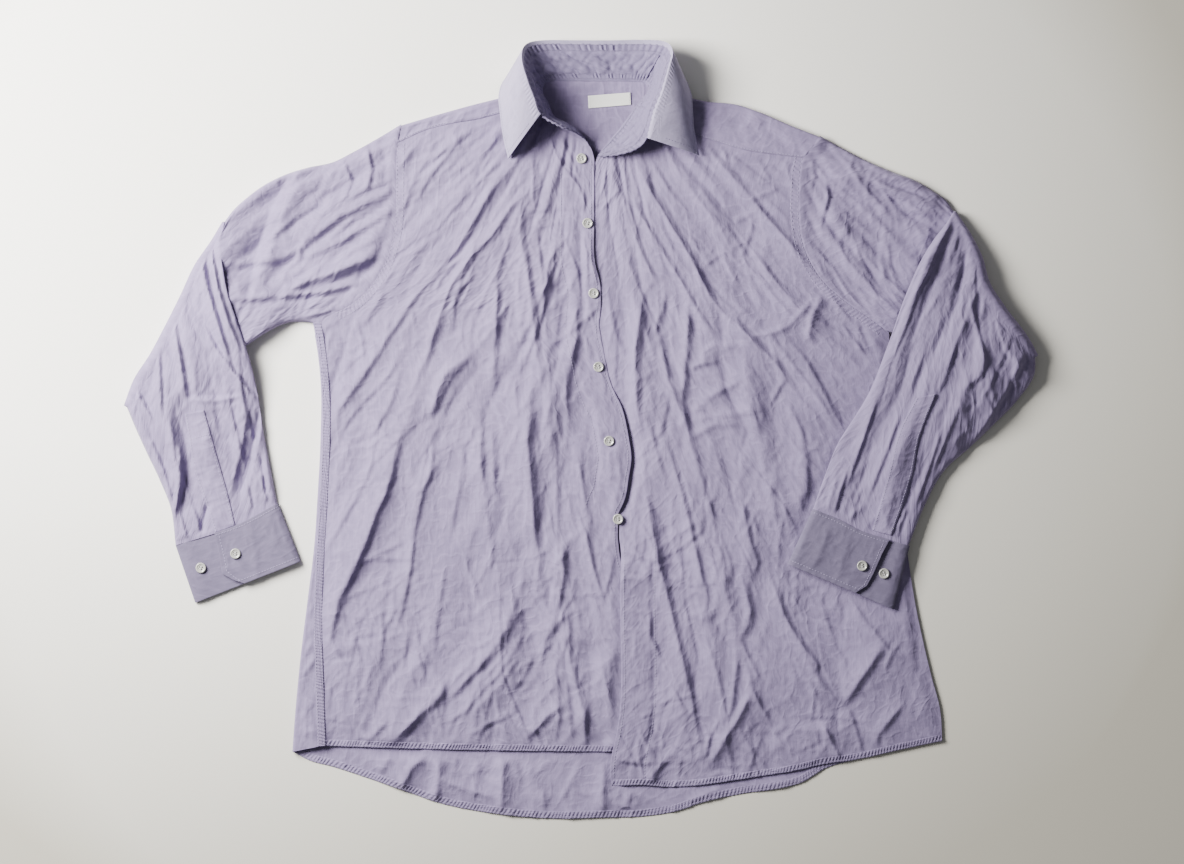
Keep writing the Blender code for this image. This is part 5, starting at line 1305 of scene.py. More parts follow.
class Wiring:
    """Short ways to add and join nodes in one tree."""

    def __init__(self, tree: bpy.types.NodeTree) -> None:
        """Keeps the tree.

        Args:
            tree: Where the nodes go.
        """
        self.tree = tree

    def feed(self, socket: bpy.types.NodeSocket, value: object) -> None:
        """Joins another socket to this one, or sets its value.

        Args:
            socket: An input.
            value: An output, or a plain value.
        """
        if isinstance(value, bpy.types.NodeSocket):
            self.tree.links.new(value, socket)
        else:
            socket.default_value = value

    def fill(self, node: bpy.types.Node, values: dict[str, object]) -> None:
        """Feeds several inputs of a node.

        Args:
            node: The node.
            values: What goes in, by the inputs' names.
        """
        for label, value in values.items():
            self.feed(node.inputs[label], value)

    def sum(self, kind: str, *values: object) -> bpy.types.NodeSocket:
        """Adds a math node.

        Args:
            kind: The sum that it does, such as MULTIPLY.
            values: Its one to three inputs, numbers or sockets.

        Returns:
            The socket with its result.
        """
        node = self.tree.nodes.new("ShaderNodeMath")
        node.operation = kind
        for socket, value in zip(node.inputs, values):
            self.feed(socket, value)
        return node.outputs[0]

    def times(self, first: object, second: object) -> bpy.types.NodeSocket:
        """Adds a node that multiplies two values."""
        return self.sum("MULTIPLY", first, second)

    def plus(self, first: object, second: object) -> bpy.types.NodeSocket:
        """Adds a node that adds two values."""
        return self.sum("ADD", first, second)

    def far(self, across: object, along: object) -> bpy.types.NodeSocket:
        """Adds the distance that two lengths at right angles make."""
        return self.sum("SQRT", self.plus(self.times(across, across), self.times(along, along)))

    def noise(self, where: object, scale: object, detail: float, rough: float) -> bpy.types.NodeSocket:
        """Adds a noise texture.

        Args:
            where: The places it is read at.
            scale: Bumps in a unit of length.
            detail: How many finer layers it has.
            rough: How strong the finer layers are.

        Returns:
            The socket with its value, about 0 to 1.
        """
        node = self.tree.nodes.new("ShaderNodeTexNoise")
        self.fill(node, {"Vector": where, "Scale": scale, "Detail": detail, "Roughness": rough})
        return node.outputs[0]

    def mix(self, share: object, first: object, second: object) -> bpy.types.NodeSocket:
        """Adds a mix of two colours.

        Args:
            share: How much of the second, 0 to 1.
            first: The colour at 0.
            second: The colour at 1.

        Returns:
            The socket with the mixed colour.
        """
        node = self.tree.nodes.new("ShaderNodeMix")
        node.data_type = "RGBA"
        for number, value in ((0, share), (6, first), (7, second)):
            self.feed(node.inputs[number], value)
        return node.outputs[2]

    def stretched(self, scale: tuple[float, float, float]) -> bpy.types.NodeSocket:
        """Adds the cloth's own lengths, in metres, drawn out or in along each way.

        Args:
            scale: How much, across, along and through the cloth.

        Returns:
            The socket with the lengths.
        """
        where = self.tree.nodes.new("ShaderNodeUVMap")
        where.uv_map = CLOTH_LENGTHS
        node = self.tree.nodes.new("ShaderNodeMapping")
        self.fill(node, {"Vector": where.outputs[0], "Scale": scale})
        return node.outputs[0]

    def parts(self, where: object) -> bpy.types.NodeOutputs:
        """Adds a node that parts places.

        Args:
            where: The places.

        Returns:
            The sockets with how far across, along and up they lie.
        """
        node = self.tree.nodes.new("ShaderNodeSeparateXYZ")
        self.feed(node.inputs[0], where)
        return node.outputs

    def bump(self, height: bpy.types.NodeSocket) -> bpy.types.NodeSocket:
        """Adds a bump.

        Args:
            height: Its height in metres.

        Returns:
            The socket with the normal.
        """
        node = self.tree.nodes.new("ShaderNodeBump")
        self.fill(node, {"Distance": 1.0, "Strength": 1.0, "Height": height})
        return node.outputs[0]


def started(name: str) -> tuple[bpy.types.Material, Wiring, bpy.types.Node]:
    """Starts a material.

    Args:
        name: Its name.

    Returns:
        The material, the wiring of its nodes, and its shader.
    """
    material = bpy.data.materials.new(name)
    material.use_nodes = True
    return material, Wiring(material.node_tree), material.node_tree.nodes["Principled BSDF"]


def own_places(wires: Wiring) -> bpy.types.NodeSocket:
    """The places in a piece's own frame."""
    return wires.tree.nodes.new("ShaderNodeTexCoord").outputs["Object"]


def shirting_group() -> bpy.types.NodeTree:
    """Plain-woven shirting: the crossing threads, thicker threads here and there and a mottled dye.

    Returns:
        The group. Its pitch is the width of two threads in metres, and its height is in metres.
    """
    takes = {
        "Colour": (0.5, 0.5, 0.5, 1.0), "Deep Colour": (0.4, 0.4, 0.4, 1.0),
        "Pitch": 0.0008, "Depth": 0.00002, "Roughness": 0.85,
    }
    gives = {"Color": "NodeSocketColor", "Roughness": "NodeSocketFloat", "Height": "NodeSocketFloat"}
    group, wires, given = new_group("Shirting", takes, gives)
    across, along, _ = wires.parts(wires.stretched((1.0, 1.0, 1.0)))
    turn = wires.sum("DIVIDE", 2.0 * math.pi, given["Pitch"])
    warp = wires.sum("SINE", wires.times(across, turn))
    weft = wires.sum("SINE", wires.times(along, turn))
    crossing = wires.times(warp, weft)
    slub = wires.noise(wires.stretched((1.0, 0.05, 1.0)), 560.0, 2.0, 0.65)
    slub_weft = wires.noise(wires.stretched((0.05, 1.0, 1.0)), 560.0, 2.0, 0.65)
    dye = wires.noise(wires.stretched((1.0, 0.6, 1.0)), 9.0, 3.0, 0.55)
    threads = wires.plus(wires.times(slub, 0.7), wires.times(slub_weft, 0.3))
    share = wires.plus(wires.times(threads, 0.75), wires.times(dye, 0.4))
    share = wires.plus(share, wires.times(crossing, 0.02))
    uneven = wires.times(wires.sum("SUBTRACT", threads, 0.5), 0.12)
    height = wires.plus(wires.times(crossing, 0.06), threads)
    wires.fill(group.nodes["Gives"], {
        "Color": wires.mix(share, given["Colour"], given["Deep Colour"]),
        "Roughness": wires.plus(given["Roughness"], uneven),
        "Height": wires.times(height, given["Depth"]),
    })
    return group


def wrinkle_group() -> bpy.types.NodeTree:
    """The finest wrinkles of cloth that was balled up, too small for the mesh.

    Returns:
        The group. Its height is in metres and its share of painted highlight is 1 on the crests.
    """
    takes = {"Depth": 0.0002, "Crests A Metre": 55.0}
    gives = {"Height": "NodeSocketFloat", "Crest Highlight": "NodeSocketFloat"}
    group, wires, given = new_group("Fine wrinkles", takes, gives)
    often = given["Crests A Metre"]
    long_ones = wires.noise(wires.stretched((1.0, 0.45, 1.0)), often, 2.0, 0.5)
    cross_ones = wires.noise(wires.stretched((0.7, 1.0, 1.0)), wires.times(often, 1.3), 1.0, 0.5)
    crests = []
    for value in (long_ones, cross_ones):
        away = wires.sum("ABSOLUTE", wires.sum("SUBTRACT", value, 0.5))
        crests.append(wires.sum("SUBTRACT", 1.0, wires.sum("MINIMUM", wires.times(away, 10.0), 1.0)))
    tiny = wires.noise(wires.stretched((1.0, 0.7, 1.0)), wires.times(often, 3.2), 2.0, 0.6)
    both = wires.plus(wires.times(crests[0], 0.7), wires.times(crests[1], 0.5))
    both = wires.plus(both, wires.times(tiny, 1.1))
    # The crests also give the share of painted highlight on them.
    wires.fill(group.nodes["Gives"], {
        "Height": wires.times(both, given["Depth"]), "Crest Highlight": wires.sum("MAXIMUM", crests[0], crests[1]),
    })
    return group


def placed(wires: Wiring, group: bpy.types.NodeTree, values: dict[str, object]) -> bpy.types.NodeOutputs:
    """Puts a group in a material with its own values.

    Args:
        wires: The wiring of the material.
        group: The group.
        values: What its inputs are given, by their names.

    Returns:
        The group's outputs.
    """
    node = wires.tree.nodes.new("ShaderNodeGroup")
    node.node_tree = group
    wires.fill(node, values)
    return node.outputs


@dataclass(frozen=True)
class ShirtCloth:
    """The finish of the shirt's cotton."""

    name: str
    colour: tuple[float, float, float, float]
    deep_colour: tuple[float, float, float, float]
    wrinkle_depth: float
    roughness: float = 0.86
    pitch: float = 0.0008
    thread_depth: float = 0.00018
    sheen: float = 0.18
    crests_a_metre: float = 52.0
    # Painted highlight on the wrinkles' crests: how much lighter, and how strongly.
    crest_highlight_lighter: float = 1.5
    crest_highlight: float = 0.16

    def material(self, shirting: bpy.types.NodeTree, wrinkles: bpy.types.NodeTree) -> bpy.types.Material:
        """Makes the material.

        Args:
            shirting: The group for the weave.
            wrinkles: The group for the finest wrinkles.

        Returns:
            The material.
        """
        material, wires, shader = started(self.name)
        weave = placed(wires, shirting, {
            "Colour": self.colour, "Deep Colour": self.deep_colour, "Pitch": self.pitch,
            "Depth": self.thread_depth, "Roughness": self.roughness,
        })
        fine = placed(wires, wrinkles, {"Depth": self.wrinkle_depth, "Crests A Metre": self.crests_a_metre})
        # Painted highlight: the crests of the finest wrinkles are lightened, standing in for the light that
        # catches them.
        crest_highlight_colour = tuple(part * self.crest_highlight_lighter for part in self.colour[:3]) + (1.0,)
        wires.fill(shader, {
            "Base Color": wires.mix(wires.times(fine["Crest Highlight"], self.crest_highlight), weave["Color"], crest_highlight_colour),
            "Roughness": weave["Roughness"],
            "Normal": wires.bump(wires.plus(weave["Height"], fine["Height"])),
            "Specular IOR Level": 0.25, "Sheen Weight": self.sheen, "Sheen Roughness": 0.45,
            "Sheen Tint": (0.86, 0.84, 1.0, 1.0),
        })
        return material


@dataclass(frozen=True)
class Ribbon:
    """The finish of the bare woven label."""

    name: str = "label_ribbon"
    colour: tuple[float, float, float, float] = (0.78, 0.78, 0.75, 1.0)
    deep_colour: tuple[float, float, float, float] = (0.66, 0.66, 0.63, 1.0)

    def material(self, shirting: bpy.types.NodeTree) -> bpy.types.Material:
        """Makes the material, closer woven than the cloth.

        Args:
            shirting: The group for the weave.

        Returns:
            The material.
        """
        material, wires, shader = started(self.name)
        weave = placed(wires, shirting, {
            "Colour": self.colour, "Deep Colour": self.deep_colour, "Pitch": 0.0009, "Depth": 0.00004,
            "Roughness": 0.5,
        })
        wires.fill(shader, {
            "Base Color": weave["Color"], "Roughness": weave["Roughness"],
            "Normal": wires.bump(weave["Height"]), "Sheen Weight": 0.1,
        })
        return material


@dataclass(frozen=True)
class Pearl:
    """The finish of the buttons: milky shell with soft cloudy bands under a clear gloss."""

    name: str = "button_pearl"
    colour: tuple[float, float, float, float] = (0.44, 0.43, 0.395, 1.0)
    cloud: tuple[float, float, float, float] = (0.33, 0.33, 0.32, 1.0)

    def material(self) -> bpy.types.Material:
        """Makes the material.

        Returns:
            The material.
        """
        material, wires, shader = started(self.name)
        bands = wires.noise(own_places(wires), 240.0, 3.0, 0.6)
        wires.fill(shader, {
            "Base Color": wires.mix(wires.times(bands, 0.9), self.colour, self.cloud),
            "Roughness": wires.plus(0.16, wires.times(bands, 0.12)),
            "Coat Weight": 0.5, "Coat Roughness": 0.08,
            "Subsurface Weight": 0.15, "Subsurface Radius": (0.002, 0.002, 0.002),
        })
        return material


@dataclass(frozen=True)
class Thread:
    """The finish of the sewing thread: two plies twisted round each other."""

    name: str = "sewing_thread"
    colour: tuple[float, float, float, float] = (0.33, 0.285, 0.44, 1.0)
    deep_colour: tuple[float, float, float, float] = (0.25, 0.215, 0.345, 1.0)

    def material(self) -> bpy.types.Material:
        """Makes the material.

        Returns:
            The material.
        """
        material, wires, shader = started(self.name)
        twist = wires.noise(own_places(wires), 1400.0, 1.0, 0.5)
        wires.fill(shader, {
            "Base Color": wires.mix(twist, self.colour, self.deep_colour),
            "Roughness": wires.plus(0.6, wires.times(twist, 0.2)),
        })
        return material


@dataclass(frozen=True)
class Board:
    """The finish of the pale board below the shirt, with painted shade that stands in for the window's
    falloff.
    """

    name: str = "pale_board"
    colour: tuple[float, float, float, float] = (0.86, 0.845, 0.80, 1.0)
    painted_shade_colour: tuple[float, float, float, float] = (0.50, 0.475, 0.405, 1.0)

    def material(self) -> bpy.types.Material:
        """Makes the material: painted shade, lightest at the upper left, deeper to the right and at the
        corners.

        Returns:
            The material.
        """
        material, wires, shader = started(self.name)
        where = own_places(wires)
        soft = wires.noise(where, 2.0, 2.0, 0.5)
        across, up, _ = wires.parts(where)
        # Painted shade: the board's colour deepens with distance from the upper left, in place of the
        # window's falloff.
        away = wires.far(wires.plus(across, 0.35), wires.sum("MULTIPLY_ADD", up, -1.3, 0.455))
        share = wires.plus(wires.sum("MULTIPLY_ADD", away, 1.35, -0.70), wires.times(soft, 0.06))
        # Painted shade at the corners: the colour darkens towards them.
        corner = wires.sum("MAXIMUM", wires.sum("MULTIPLY_ADD", wires.far(across, up), 3.5, -2.1), 0.0)
        share = wires.sum("MAXIMUM", wires.sum("MINIMUM", wires.plus(share, corner), 1.0), 0.0)
        wires.fill(shader, {
            "Base Color": wires.mix(share, self.colour, self.painted_shade_colour),
            "Roughness": wires.plus(0.85, wires.times(soft, 0.05)),
            "Specular IOR Level": 0.1,
        })
        return material


@dataclass
class Wardrobe:
    """Every material, made once."""

    cloth: bpy.types.Material
    leaf: bpy.types.Material
    stand: bpy.types.Material
    cuff: bpy.types.Material
    ribbon: bpy.types.Material
    pearl: bpy.types.Material
    thread: bpy.types.Material
    white_thread: bpy.types.Material
    board: bpy.types.Material

    @classmethod
    def filled(cls) -> "Wardrobe":
        """Makes the groups and the materials.

        Returns:
            The wardrobe.
        """
        shirting, wrinkles = shirting_group(), wrinkle_group()
        cloths = (
            ShirtCloth("lilac_cotton", LILAC, LILAC_DEEP, 0.00038),
            # Painted light: a lighter copy of the cotton for the collar leaf.
            ShirtCloth("collar_leaf_cotton_painted_light", LEAF_LIT_LILAC, LEAF_LIT_LILAC_DEEP, 0.00014, roughness=0.82),
            # Painted shade: a darker copy of the cotton for the collar stand.
            ShirtCloth("collar_stand_cotton_painted_shade", STAND_SHADED_LILAC, STAND_SHADED_LILAC_DEEP, 0.00036, roughness=0.84),
            # Painted shade: a darker copy of the cotton for the cuffs.
            ShirtCloth("cuff_cotton_painted_shade", CUFF_SHADED_LILAC, CUFF_SHADED_LILAC_DEEP, 0.00026, roughness=0.84),
        )
        white = Thread("white_thread", (0.70, 0.69, 0.70, 1.0), (0.58, 0.57, 0.60, 1.0))
        return cls(
            *(cloth.material(shirting, wrinkles) for cloth in cloths), Ribbon().material(shirting),
            Pearl().material(), Thread().material(), white.material(), Board().material(),
        )


class ClothMesh:
    """Gathers grids of points into one mesh, with the cloth's own lengths on it."""

    def __init__(self, name: str) -> None:
        """Starts an empty mesh.

        Args:
            name: The name of the mesh and of its object.
        """
        self.name = name
        self.points: list[np.ndarray] = []
        self.faces: list[np.ndarray] = []
        self.lengths: list[np.ndarray] = []
        self.count = 0

    def add(self, grid: np.ndarray, flipped: bool = False) -> None:
        """Adds a grid.

        Args:
            grid: Rows of u, v and height in millimetres.
            flipped: Whether its faces look the other way.
        """
        rows, columns = grid.shape[:2]
        number = np.arange(rows * columns).reshape(rows, columns) + self.count
        quads = [number[:-1, :-1], number[1:, :-1], number[1:, 1:], number[:-1, 1:]]
        quads = np.stack(quads, -1).reshape(-1, 4)
        self.faces.append(quads[:, ::-1] if flipped else quads)
        points = place(grid)
        across = np.cumsum(np.linalg.norm(np.diff(points, axis=1, prepend=points[:, :1]), axis=2), axis=1)
        along = np.cumsum(np.linalg.norm(np.diff(points, axis=0, prepend=points[:1]), axis=2), axis=0)
        self.points.append(points.reshape(-1, 3))
        self.lengths.append(np.stack([across, along], -1).reshape(-1, 2))
        self.count += rows * columns

    def add_faces(self, points: np.ndarray, faces: np.ndarray) -> None:
        """Adds loose faces.

        Args:
            points: Points in metres.
            faces: Four corners for each face.
        """
        self.faces.append(faces + self.count)
        self.points.append(points)
        self.lengths.append(points[:, :2])
        self.count += len(points)

    def built(self, material: bpy.types.Material, weld: bool = False) -> bpy.types.Object:
        """Makes the object.

        Args:
            material: Its finish.
            weld: Whether points that share a place become one.

        Returns:
            The object, in the scene.
        """
        points = np.concatenate(self.points)
        faces = np.concatenate(self.faces)
        lengths = np.concatenate(self.lengths)
        mesh = bpy.data.meshes.new(self.name)
        mesh.vertices.add(len(points))
        mesh.vertices.foreach_set("co", points.ravel())
        mesh.loops.add(faces.size)
        mesh.loops.foreach_set("vertex_index", faces.ravel())
        mesh.polygons.add(len(faces))
        mesh.polygons.foreach_set("loop_start", np.arange(0, faces.size, 4))
        mesh.uv_layers.new(name=CLOTH_LENGTHS).data.foreach_set("uv", lengths[faces.ravel()].ravel())
        mesh.update(calc_edges=True)
        if weld:
            form = bmesh.new()
            form.from_mesh(mesh)
            bmesh.ops.remove_doubles(form, verts=form.verts, dist=1e-6)
            form.to_mesh(mesh)
            form.free()
        mesh.shade_smooth()
        mesh.materials.append(material)
        piece = bpy.data.objects.new(self.name, mesh)
        bpy.context.scene.collection.objects.link(piece)
        return piece


def thickened(piece: bpy.types.Object, cloth: float, rounded: bool = False) -> bpy.types.Object:
    """Gives a sheet its thickness.

    Args:
        piece: The sheet.
        cloth: The thickness in millimetres.
        rounded: Whether its rim is rounded too.

    Returns:
        The same object.
    """
    wall = piece.modifiers.new("Thickness", "SOLIDIFY")
    wall.thickness = cloth * MM
    wall.offset = 0.0
    wall.use_even_offset = True
    if rounded:
        rim = piece.modifiers.new("Rounded rim", "BEVEL")
        rim.width = 0.28 * cloth * MM
        rim.segments = 2
        rim.limit_method = "ANGLE"
        rim.angle_limit = math.radians(60)
    return piece


class Surface:
    """The top of the pieces already laid, for what is sewn on them."""

    def __init__(self, *pieces: bpy.types.Object) -> None:
        """Reads the pieces as they are shown.

        Args:
            pieces: Those that carry what is sewn on.
        """
        bpy.context.view_layer.update()
        graph = bpy.context.evaluated_depsgraph_get()
        self.trees = [BVHTree.FromObject(piece, graph) for piece in pieces]

    def height(self, u: float, v: float) -> float:
        """Finds the highest cloth at a plan place.

        Args:
            u: The place to the right.
            v: The place down the table.

        Returns:
            Its height in millimetres, nought beside the cloth.
        """
        x, y = (u - TABLE_MIDDLE_U) * MM, (TABLE_MIDDLE_V - v) * MM
        found = [tree.ray_cast(Vector((x, y, 0.2)), Vector((0.0, 0.0, -1.0)))[0] for tree in self.trees]
        return max([hit.z / MM for hit in found if hit is not None], default=0.0)

    def drape(self, plan: np.ndarray, lift: float) -> np.ndarray:
        """Lays plan places on the cloth.

        Args:
            plan: Places in any grid.
            lift: How far above the cloth they lie, in millimetres.

        Returns:
            The same places with their heights.
        """
        flat = plan.reshape(-1, 2)
        heights = np.array([self.height(u, v) for u, v in flat]).reshape(plan.shape[:-1])
        return with_height(plan, heights + lift)


class Stitches(NamedTuple):
    """A row of stitches: its line, one stitch to the next, what shows of each, and the thread's width."""

    line: np.ndarray
    pitch: float = 3.0
    length: float = 2.2
    width: float = 0.62


def stitched(mesh: ClothMesh, row: Stitches) -> None:
    """Adds a row of stitches that lie on the cloth.

    Args:
        mesh: What they are added to.
        row: The row, its line in u, v and height.
    """
    runs = run_lengths(row.line)
    count = max(int(runs[-1] / row.pitch), 1)
    starts = (np.arange(count) + 0.5) * runs[-1] / count
    middle = read_along(row.line, runs, starts[:, None] + STITCH_SHARES[None] * row.length)
    way = unit(middle[:, -1] - middle[:, 0])
    side = unit(np.cross(way, UP))
    sides = (side[:, None, :] * row.width / 2) * STITCH_SWELL[None, :, None]
    rise = UP * (row.width * 0.45) * STITCH_SWELL[None, :, None]
    rings = np.stack([
        middle - sides - rise * 0.4, middle - sides * 0.55 + rise,
        middle + sides * 0.55 + rise, middle + sides - rise * 0.4,
    ], 2)
    number = np.arange(count * 16).reshape(count, 4, 4)
    faces = [number[:, :-1, :-1], number[:, :-1, 1:], number[:, 1:, 1:], number[:, 1:, :-1]]
    mesh.add_faces(place(rings).reshape(-1, 3), np.stack(faces, -1).reshape(-1, 4))


def worn(piece: bpy.types.Object, slot: Slot, *nodes: str) -> bpy.types.Object:
    """Rides a piece on the shirt, hides the solids that it stands for and logs its triangles.

    Args:
        piece: The piece, in place.
        slot: Not used.
        nodes: The nodes that it replaces.

    Returns:
        The same object.
    """
    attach(piece, "root")
    if nodes:
        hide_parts(*nodes)
    graph = bpy.context.evaluated_depsgraph_get()
    shown = piece.evaluated_get(graph).to_mesh()
    shown.calc_loop_triangles()
    LOG.info("%s: %d triangles", piece.name, len(shown.loop_triangles))
    return piece


def sewn(
    name: str, rows: Sequence[Stitches], thread: bpy.types.Material, slot: Slot = Slot.CLOTH,
    carrier: bpy.types.Object | None = None,
) -> bpy.types.Object:
    """Sews rows of stitches as one piece.

    Args:
        name: What they are sewn on.
        rows: The rows.
        thread: Their material.
        slot: The record's material slot.
        carrier: The piece that they hang on, where they don't stand by themselves.

    Returns:
        The stitches.
    """
    mesh = ClothMesh(f"{name}_stitching")
    for row in rows:
        stitched(mesh, row)
    stitches = worn(mesh.built(thread), slot)
    if carrier is not None:
        stitches.parent = carrier
        stitches.matrix_parent_inverse.identity()
    return stitches


class Side(Enum):
    """A side of the shirt as seen from above."""

    LEFT = "left"
    RIGHT = "right"


def front_level(u: np.ndarray, v: np.ndarray) -> np.ndarray:
    """Works out the fronts without their folds, before their sides and hems fall to the table.

    Args:
        u: Places to the right.
        v: Places down the table.

    Returns:
        The height at each place.
    """
    body = smooth_step((v - BODY_TOP) / BODY_BLEND)
    from_neck = np.hypot(u - NECK_MIDDLE[0], v - NECK_MIDDLE[1])
    neck = (NECK_LEVEL - FRONT_LEVEL) * np.exp(-((from_neck / NECK_REACH) ** 2))
    raised = SHOULDER_LEVEL - FRONT_LEVEL
    shoulder = raised * (1 - smooth_step((v - CHEST_TOP) / CHEST_BLEND))
    inside = np.minimum(u - ARMHOLES_U[0], ARMHOLES_U[1] - u)
    armhole = raised * np.exp(-((inside / ARMHOLE_REACH) ** 2)) * (1 - body)
    return FRONT_LEVEL + np.maximum(np.maximum(neck, shoulder), armhole)


def away_from_seams(u: np.ndarray, v: np.ndarray, reach: float) -> np.ndarray:
    """Calms the cloth on the seams round the chest.

    Args:
        u: Places to the right.
        v: Places down the table.
        reach: How far from a seam the cloth is free.

    Returns:
        Nought on the seams, one where the cloth is free.
    """
    calm = np.ones(np.shape(u))
    for line in CHEST_SEAMS:
        away, _ = distance_to(line, u, v)
        calm *= smooth_step(np.abs(away) / reach)
    return calm


def under_lap_level(v: np.ndarray) -> np.ndarray:
    """Height of the lap that lies below, lowest where the one above stands off it."""
    gape = smooth_step((v - GAPE_TOP) / 40) * (1 - smooth_step((v - GAPE_END) / 25))
    return UNDER_LAP_CLOSE + (FRONT_UNDER_EDGE - UNDER_LAP_CLOSE) * gape


@dataclass
class FrontPanel:
    """A front: its turned edge, its hem and its creases."""

    side: Side
    folds: tuple[Fold, ...]
    creases: tuple[Fold, ...]
    crumple: Crumple
    hem: Plan
    columns: int = 196
    rows: int = 376
    turn: float = 0.55
    turn_depth: float = 6.0

    @property
    def name(self) -> str:
        """The node that the panel stands for."""
        return f"front_{self.side.value}"

    def sides(self) -> tuple[np.ndarray, np.ndarray, np.ndarray, np.ndarray]:
        """Draws the four lines round the panel.

        Returns:
            The top, the bottom, the left and the right line, in plan.
        """
        s, t = spread(self.columns), spread(self.rows)
        bottom = curve(self.hem, s)
        if self.side is Side.LEFT:
            top = joined((YOKE_SEAM_LEFT, NECKLINE_LEFT), s)
            left = moved_aside(joined((ARMHOLE_LEFT_FRONT, SIDE_SEAM), t), UNDER_SEAM)
            right = joined(CENTRE_LEFT_PARTS, t)
        else:
            top = joined((NECKLINE_RIGHT, YOKE_SEAM_RIGHT), s)
            left = joined(CENTRE_RIGHT_PARTS, t)
            aside = UNDER_SEAM * (1 - smooth_step((t * 6.4 - 1.9) / 0.2))
            right = moved_aside(joined((ARMHOLE_RIGHT_FRONT, EDGE_RIGHT), t), -aside)
        top = top - np.outer(smooth_step(np.minimum(s, 1 - s) / 0.03), (0.0, UNDER_SEAM))
        top[0], top[-1], bottom[0], bottom[-1] = left[0], right[0], left[-1], right[-1]
        return top, bottom, left, right

    def fine(self, u: np.ndarray, v: np.ndarray) -> np.ndarray:
        """Works out the panel's small creases.

        Args:
            u: Places to the right.
            v: Places down the table.

        Returns:
            The height to add at each place.
        """
        lower = 1 + LOWER_CREASED * smooth_step((v - LOWER_FROM) / LOWER_BLEND)
        strewn = raised_by(self.strewn, u, v, SHARP) + self.crumple.net(u, v)
        return raised_by(pinched(self.creases, CREASE_GAIN), u, v, SHARP) + strewn * lower

    @cached_property
    def strewn(self) -> list[Fold]:
        """The panel's short creases, the same for all that is sewn on it."""
        lines = np.concatenate(self.sides())
        return pinched(self.crumple.strewn(lines.min(0), lines.max(0)), 1.0)

    def height(self, u: np.ndarray, v: np.ndarray) -> np.ndarray:
        """Works out the panel's height.

        Args:
            u: Places to the right.
            v: Places down the table.

        Returns:
            The height in millimetres at each place.
        """
        body = smooth_step((v - BODY_TOP) / BODY_BLEND)
        right_edge = line_u(EDGE_RIGHT, v) - u
        left_edge = u - line_u(SIDE_SEAM, v)
        near_side = body * (1 - smooth_step(right_edge / SIDE_REACH))
        near_seam = body * (1 - smooth_step(left_edge / SIDE_SEAM_REACH))
        above_hem = hem_v(self.hem, u) - v
        near_hem = (1 - smooth_step(above_hem / HEM_REACH)) * (1 - near_seam)
        level = front_level(u, v) - (FRONT_LEVEL - SIDE_EDGE_LEVEL) * near_side
        level += (SIDE_SEAM_LEVEL - FRONT_LEVEL) * near_seam
        level += (np.minimum(level, FRONT_HEM_LEVEL) - level) * near_hem
        calm = away_from_seams(u, v, SEAM_CALM) * smooth_step(right_edge / SIDE_CALM) * (1 - near_seam)
        calm *= 1 - (1 - HEM_FOLD_SHARE) * near_hem
        covered = smooth_step(inside_polygon(COVERED_BY_SLEEVE, u, v) / SEAM_CALM)
        height = (level + FOLD_SHARE * raised_by(self.folds, u, v, 1.25) * calm) * (1 - covered)
        height = height + np.minimum(level, COVERED_LEVEL) * covered
        hidden, drawn, from_edge = self.laps(u, v, above_hem)
        height = height * (1 - hidden) + under_lap_level(v) * hidden
        lap = (1 - smooth_step((from_edge - LAP_WIDTH) / LAP_BLEND)) * drawn
        height = np.maximum(height, LAP_LEVEL * lap)
        tight = away_from_seams(u, v, SEAM_TIGHT) * smooth_step(left_edge / SIDE_SEAM_TIGHT + (1 - body))
        tight *= smooth_step(np.maximum(right_edge, PAST_SIDE * (1 - body)) / SIDE_TIGHT)
        for button_u, button_v in FRONT_BUTTONS:
            tight *= smooth_step((np.hypot(u - button_u, v - button_v) - BUTTON_TIGHT_FROM) / BUTTON_TIGHT)
        fine = self.fine(u, v) * tight * (1 - COVERED_SMOOTH * covered) * (1 - HIDDEN_SMOOTH * hidden)
        fine = np.maximum(fine, LAP_TROUGH) * lap + fine * (1 - lap)
        edge = smooth_step(from_edge / 3.0) * 0.5 + 0.5
        height = np.maximum(height + fine * edge, LOWEST_FRONT) + OVER_SOLID
        at_hem = (1 - smooth_step(above_hem / HEM_TURN)) * (1 - near_seam)
        return height + (np.minimum(height, HEM_EDGE_LEVEL) - height) * at_hem

    def laps(
        self, u: np.ndarray, v: np.ndarray, above_hem: np.ndarray,
    ) -> tuple[np.ndarray, np.ndarray, np.ndarray]:
        """Finds where the two fronts lap.

        Args:
            u: Places to the right.
            v: Places down the table.
            above_hem: How far each place is above the hem.

        Returns:
            How much the other front lies over this one, how much this one laps over it, and how far
            each place is in from this one's free edge.
        """
        if self.side is Side.LEFT:
            lower = smooth_step((v - LEFT_UNDER_START) / LAP_SWITCH_BLEND)
            hidden = smooth_step((u - line_u(CENTRE_RIGHT, v) + UNDER_LAP) / UNDER_LAP) * lower
            from_top = smooth_step((v - LAP_TOP) / UNDER_LAP)
            drawn = (1 - smooth_step((v - LEFT_LAP_END) / LAP_SWITCH_BLEND)) * from_top
            return hidden, drawn, line_u(CENTRE_LEFT, v) - u
        from_top = smooth_step((v - LAP_TOP) / UNDER_LAP)
        upper = (1 - smooth_step((v - RIGHT_UNDER_END) / LAP_SWITCH_BLEND)) * from_top
        hidden = smooth_step((line_u(CENTRE_LEFT, v) + UNDER_LAP - u) / UNDER_LAP) * upper
        drawn = smooth_step((v - RIGHT_LAP_START) / LAP_SWITCH_BLEND) * smooth_step(above_hem / HEM_REACH)
        return hidden, drawn, u - line_u(CENTRE_RIGHT, v)

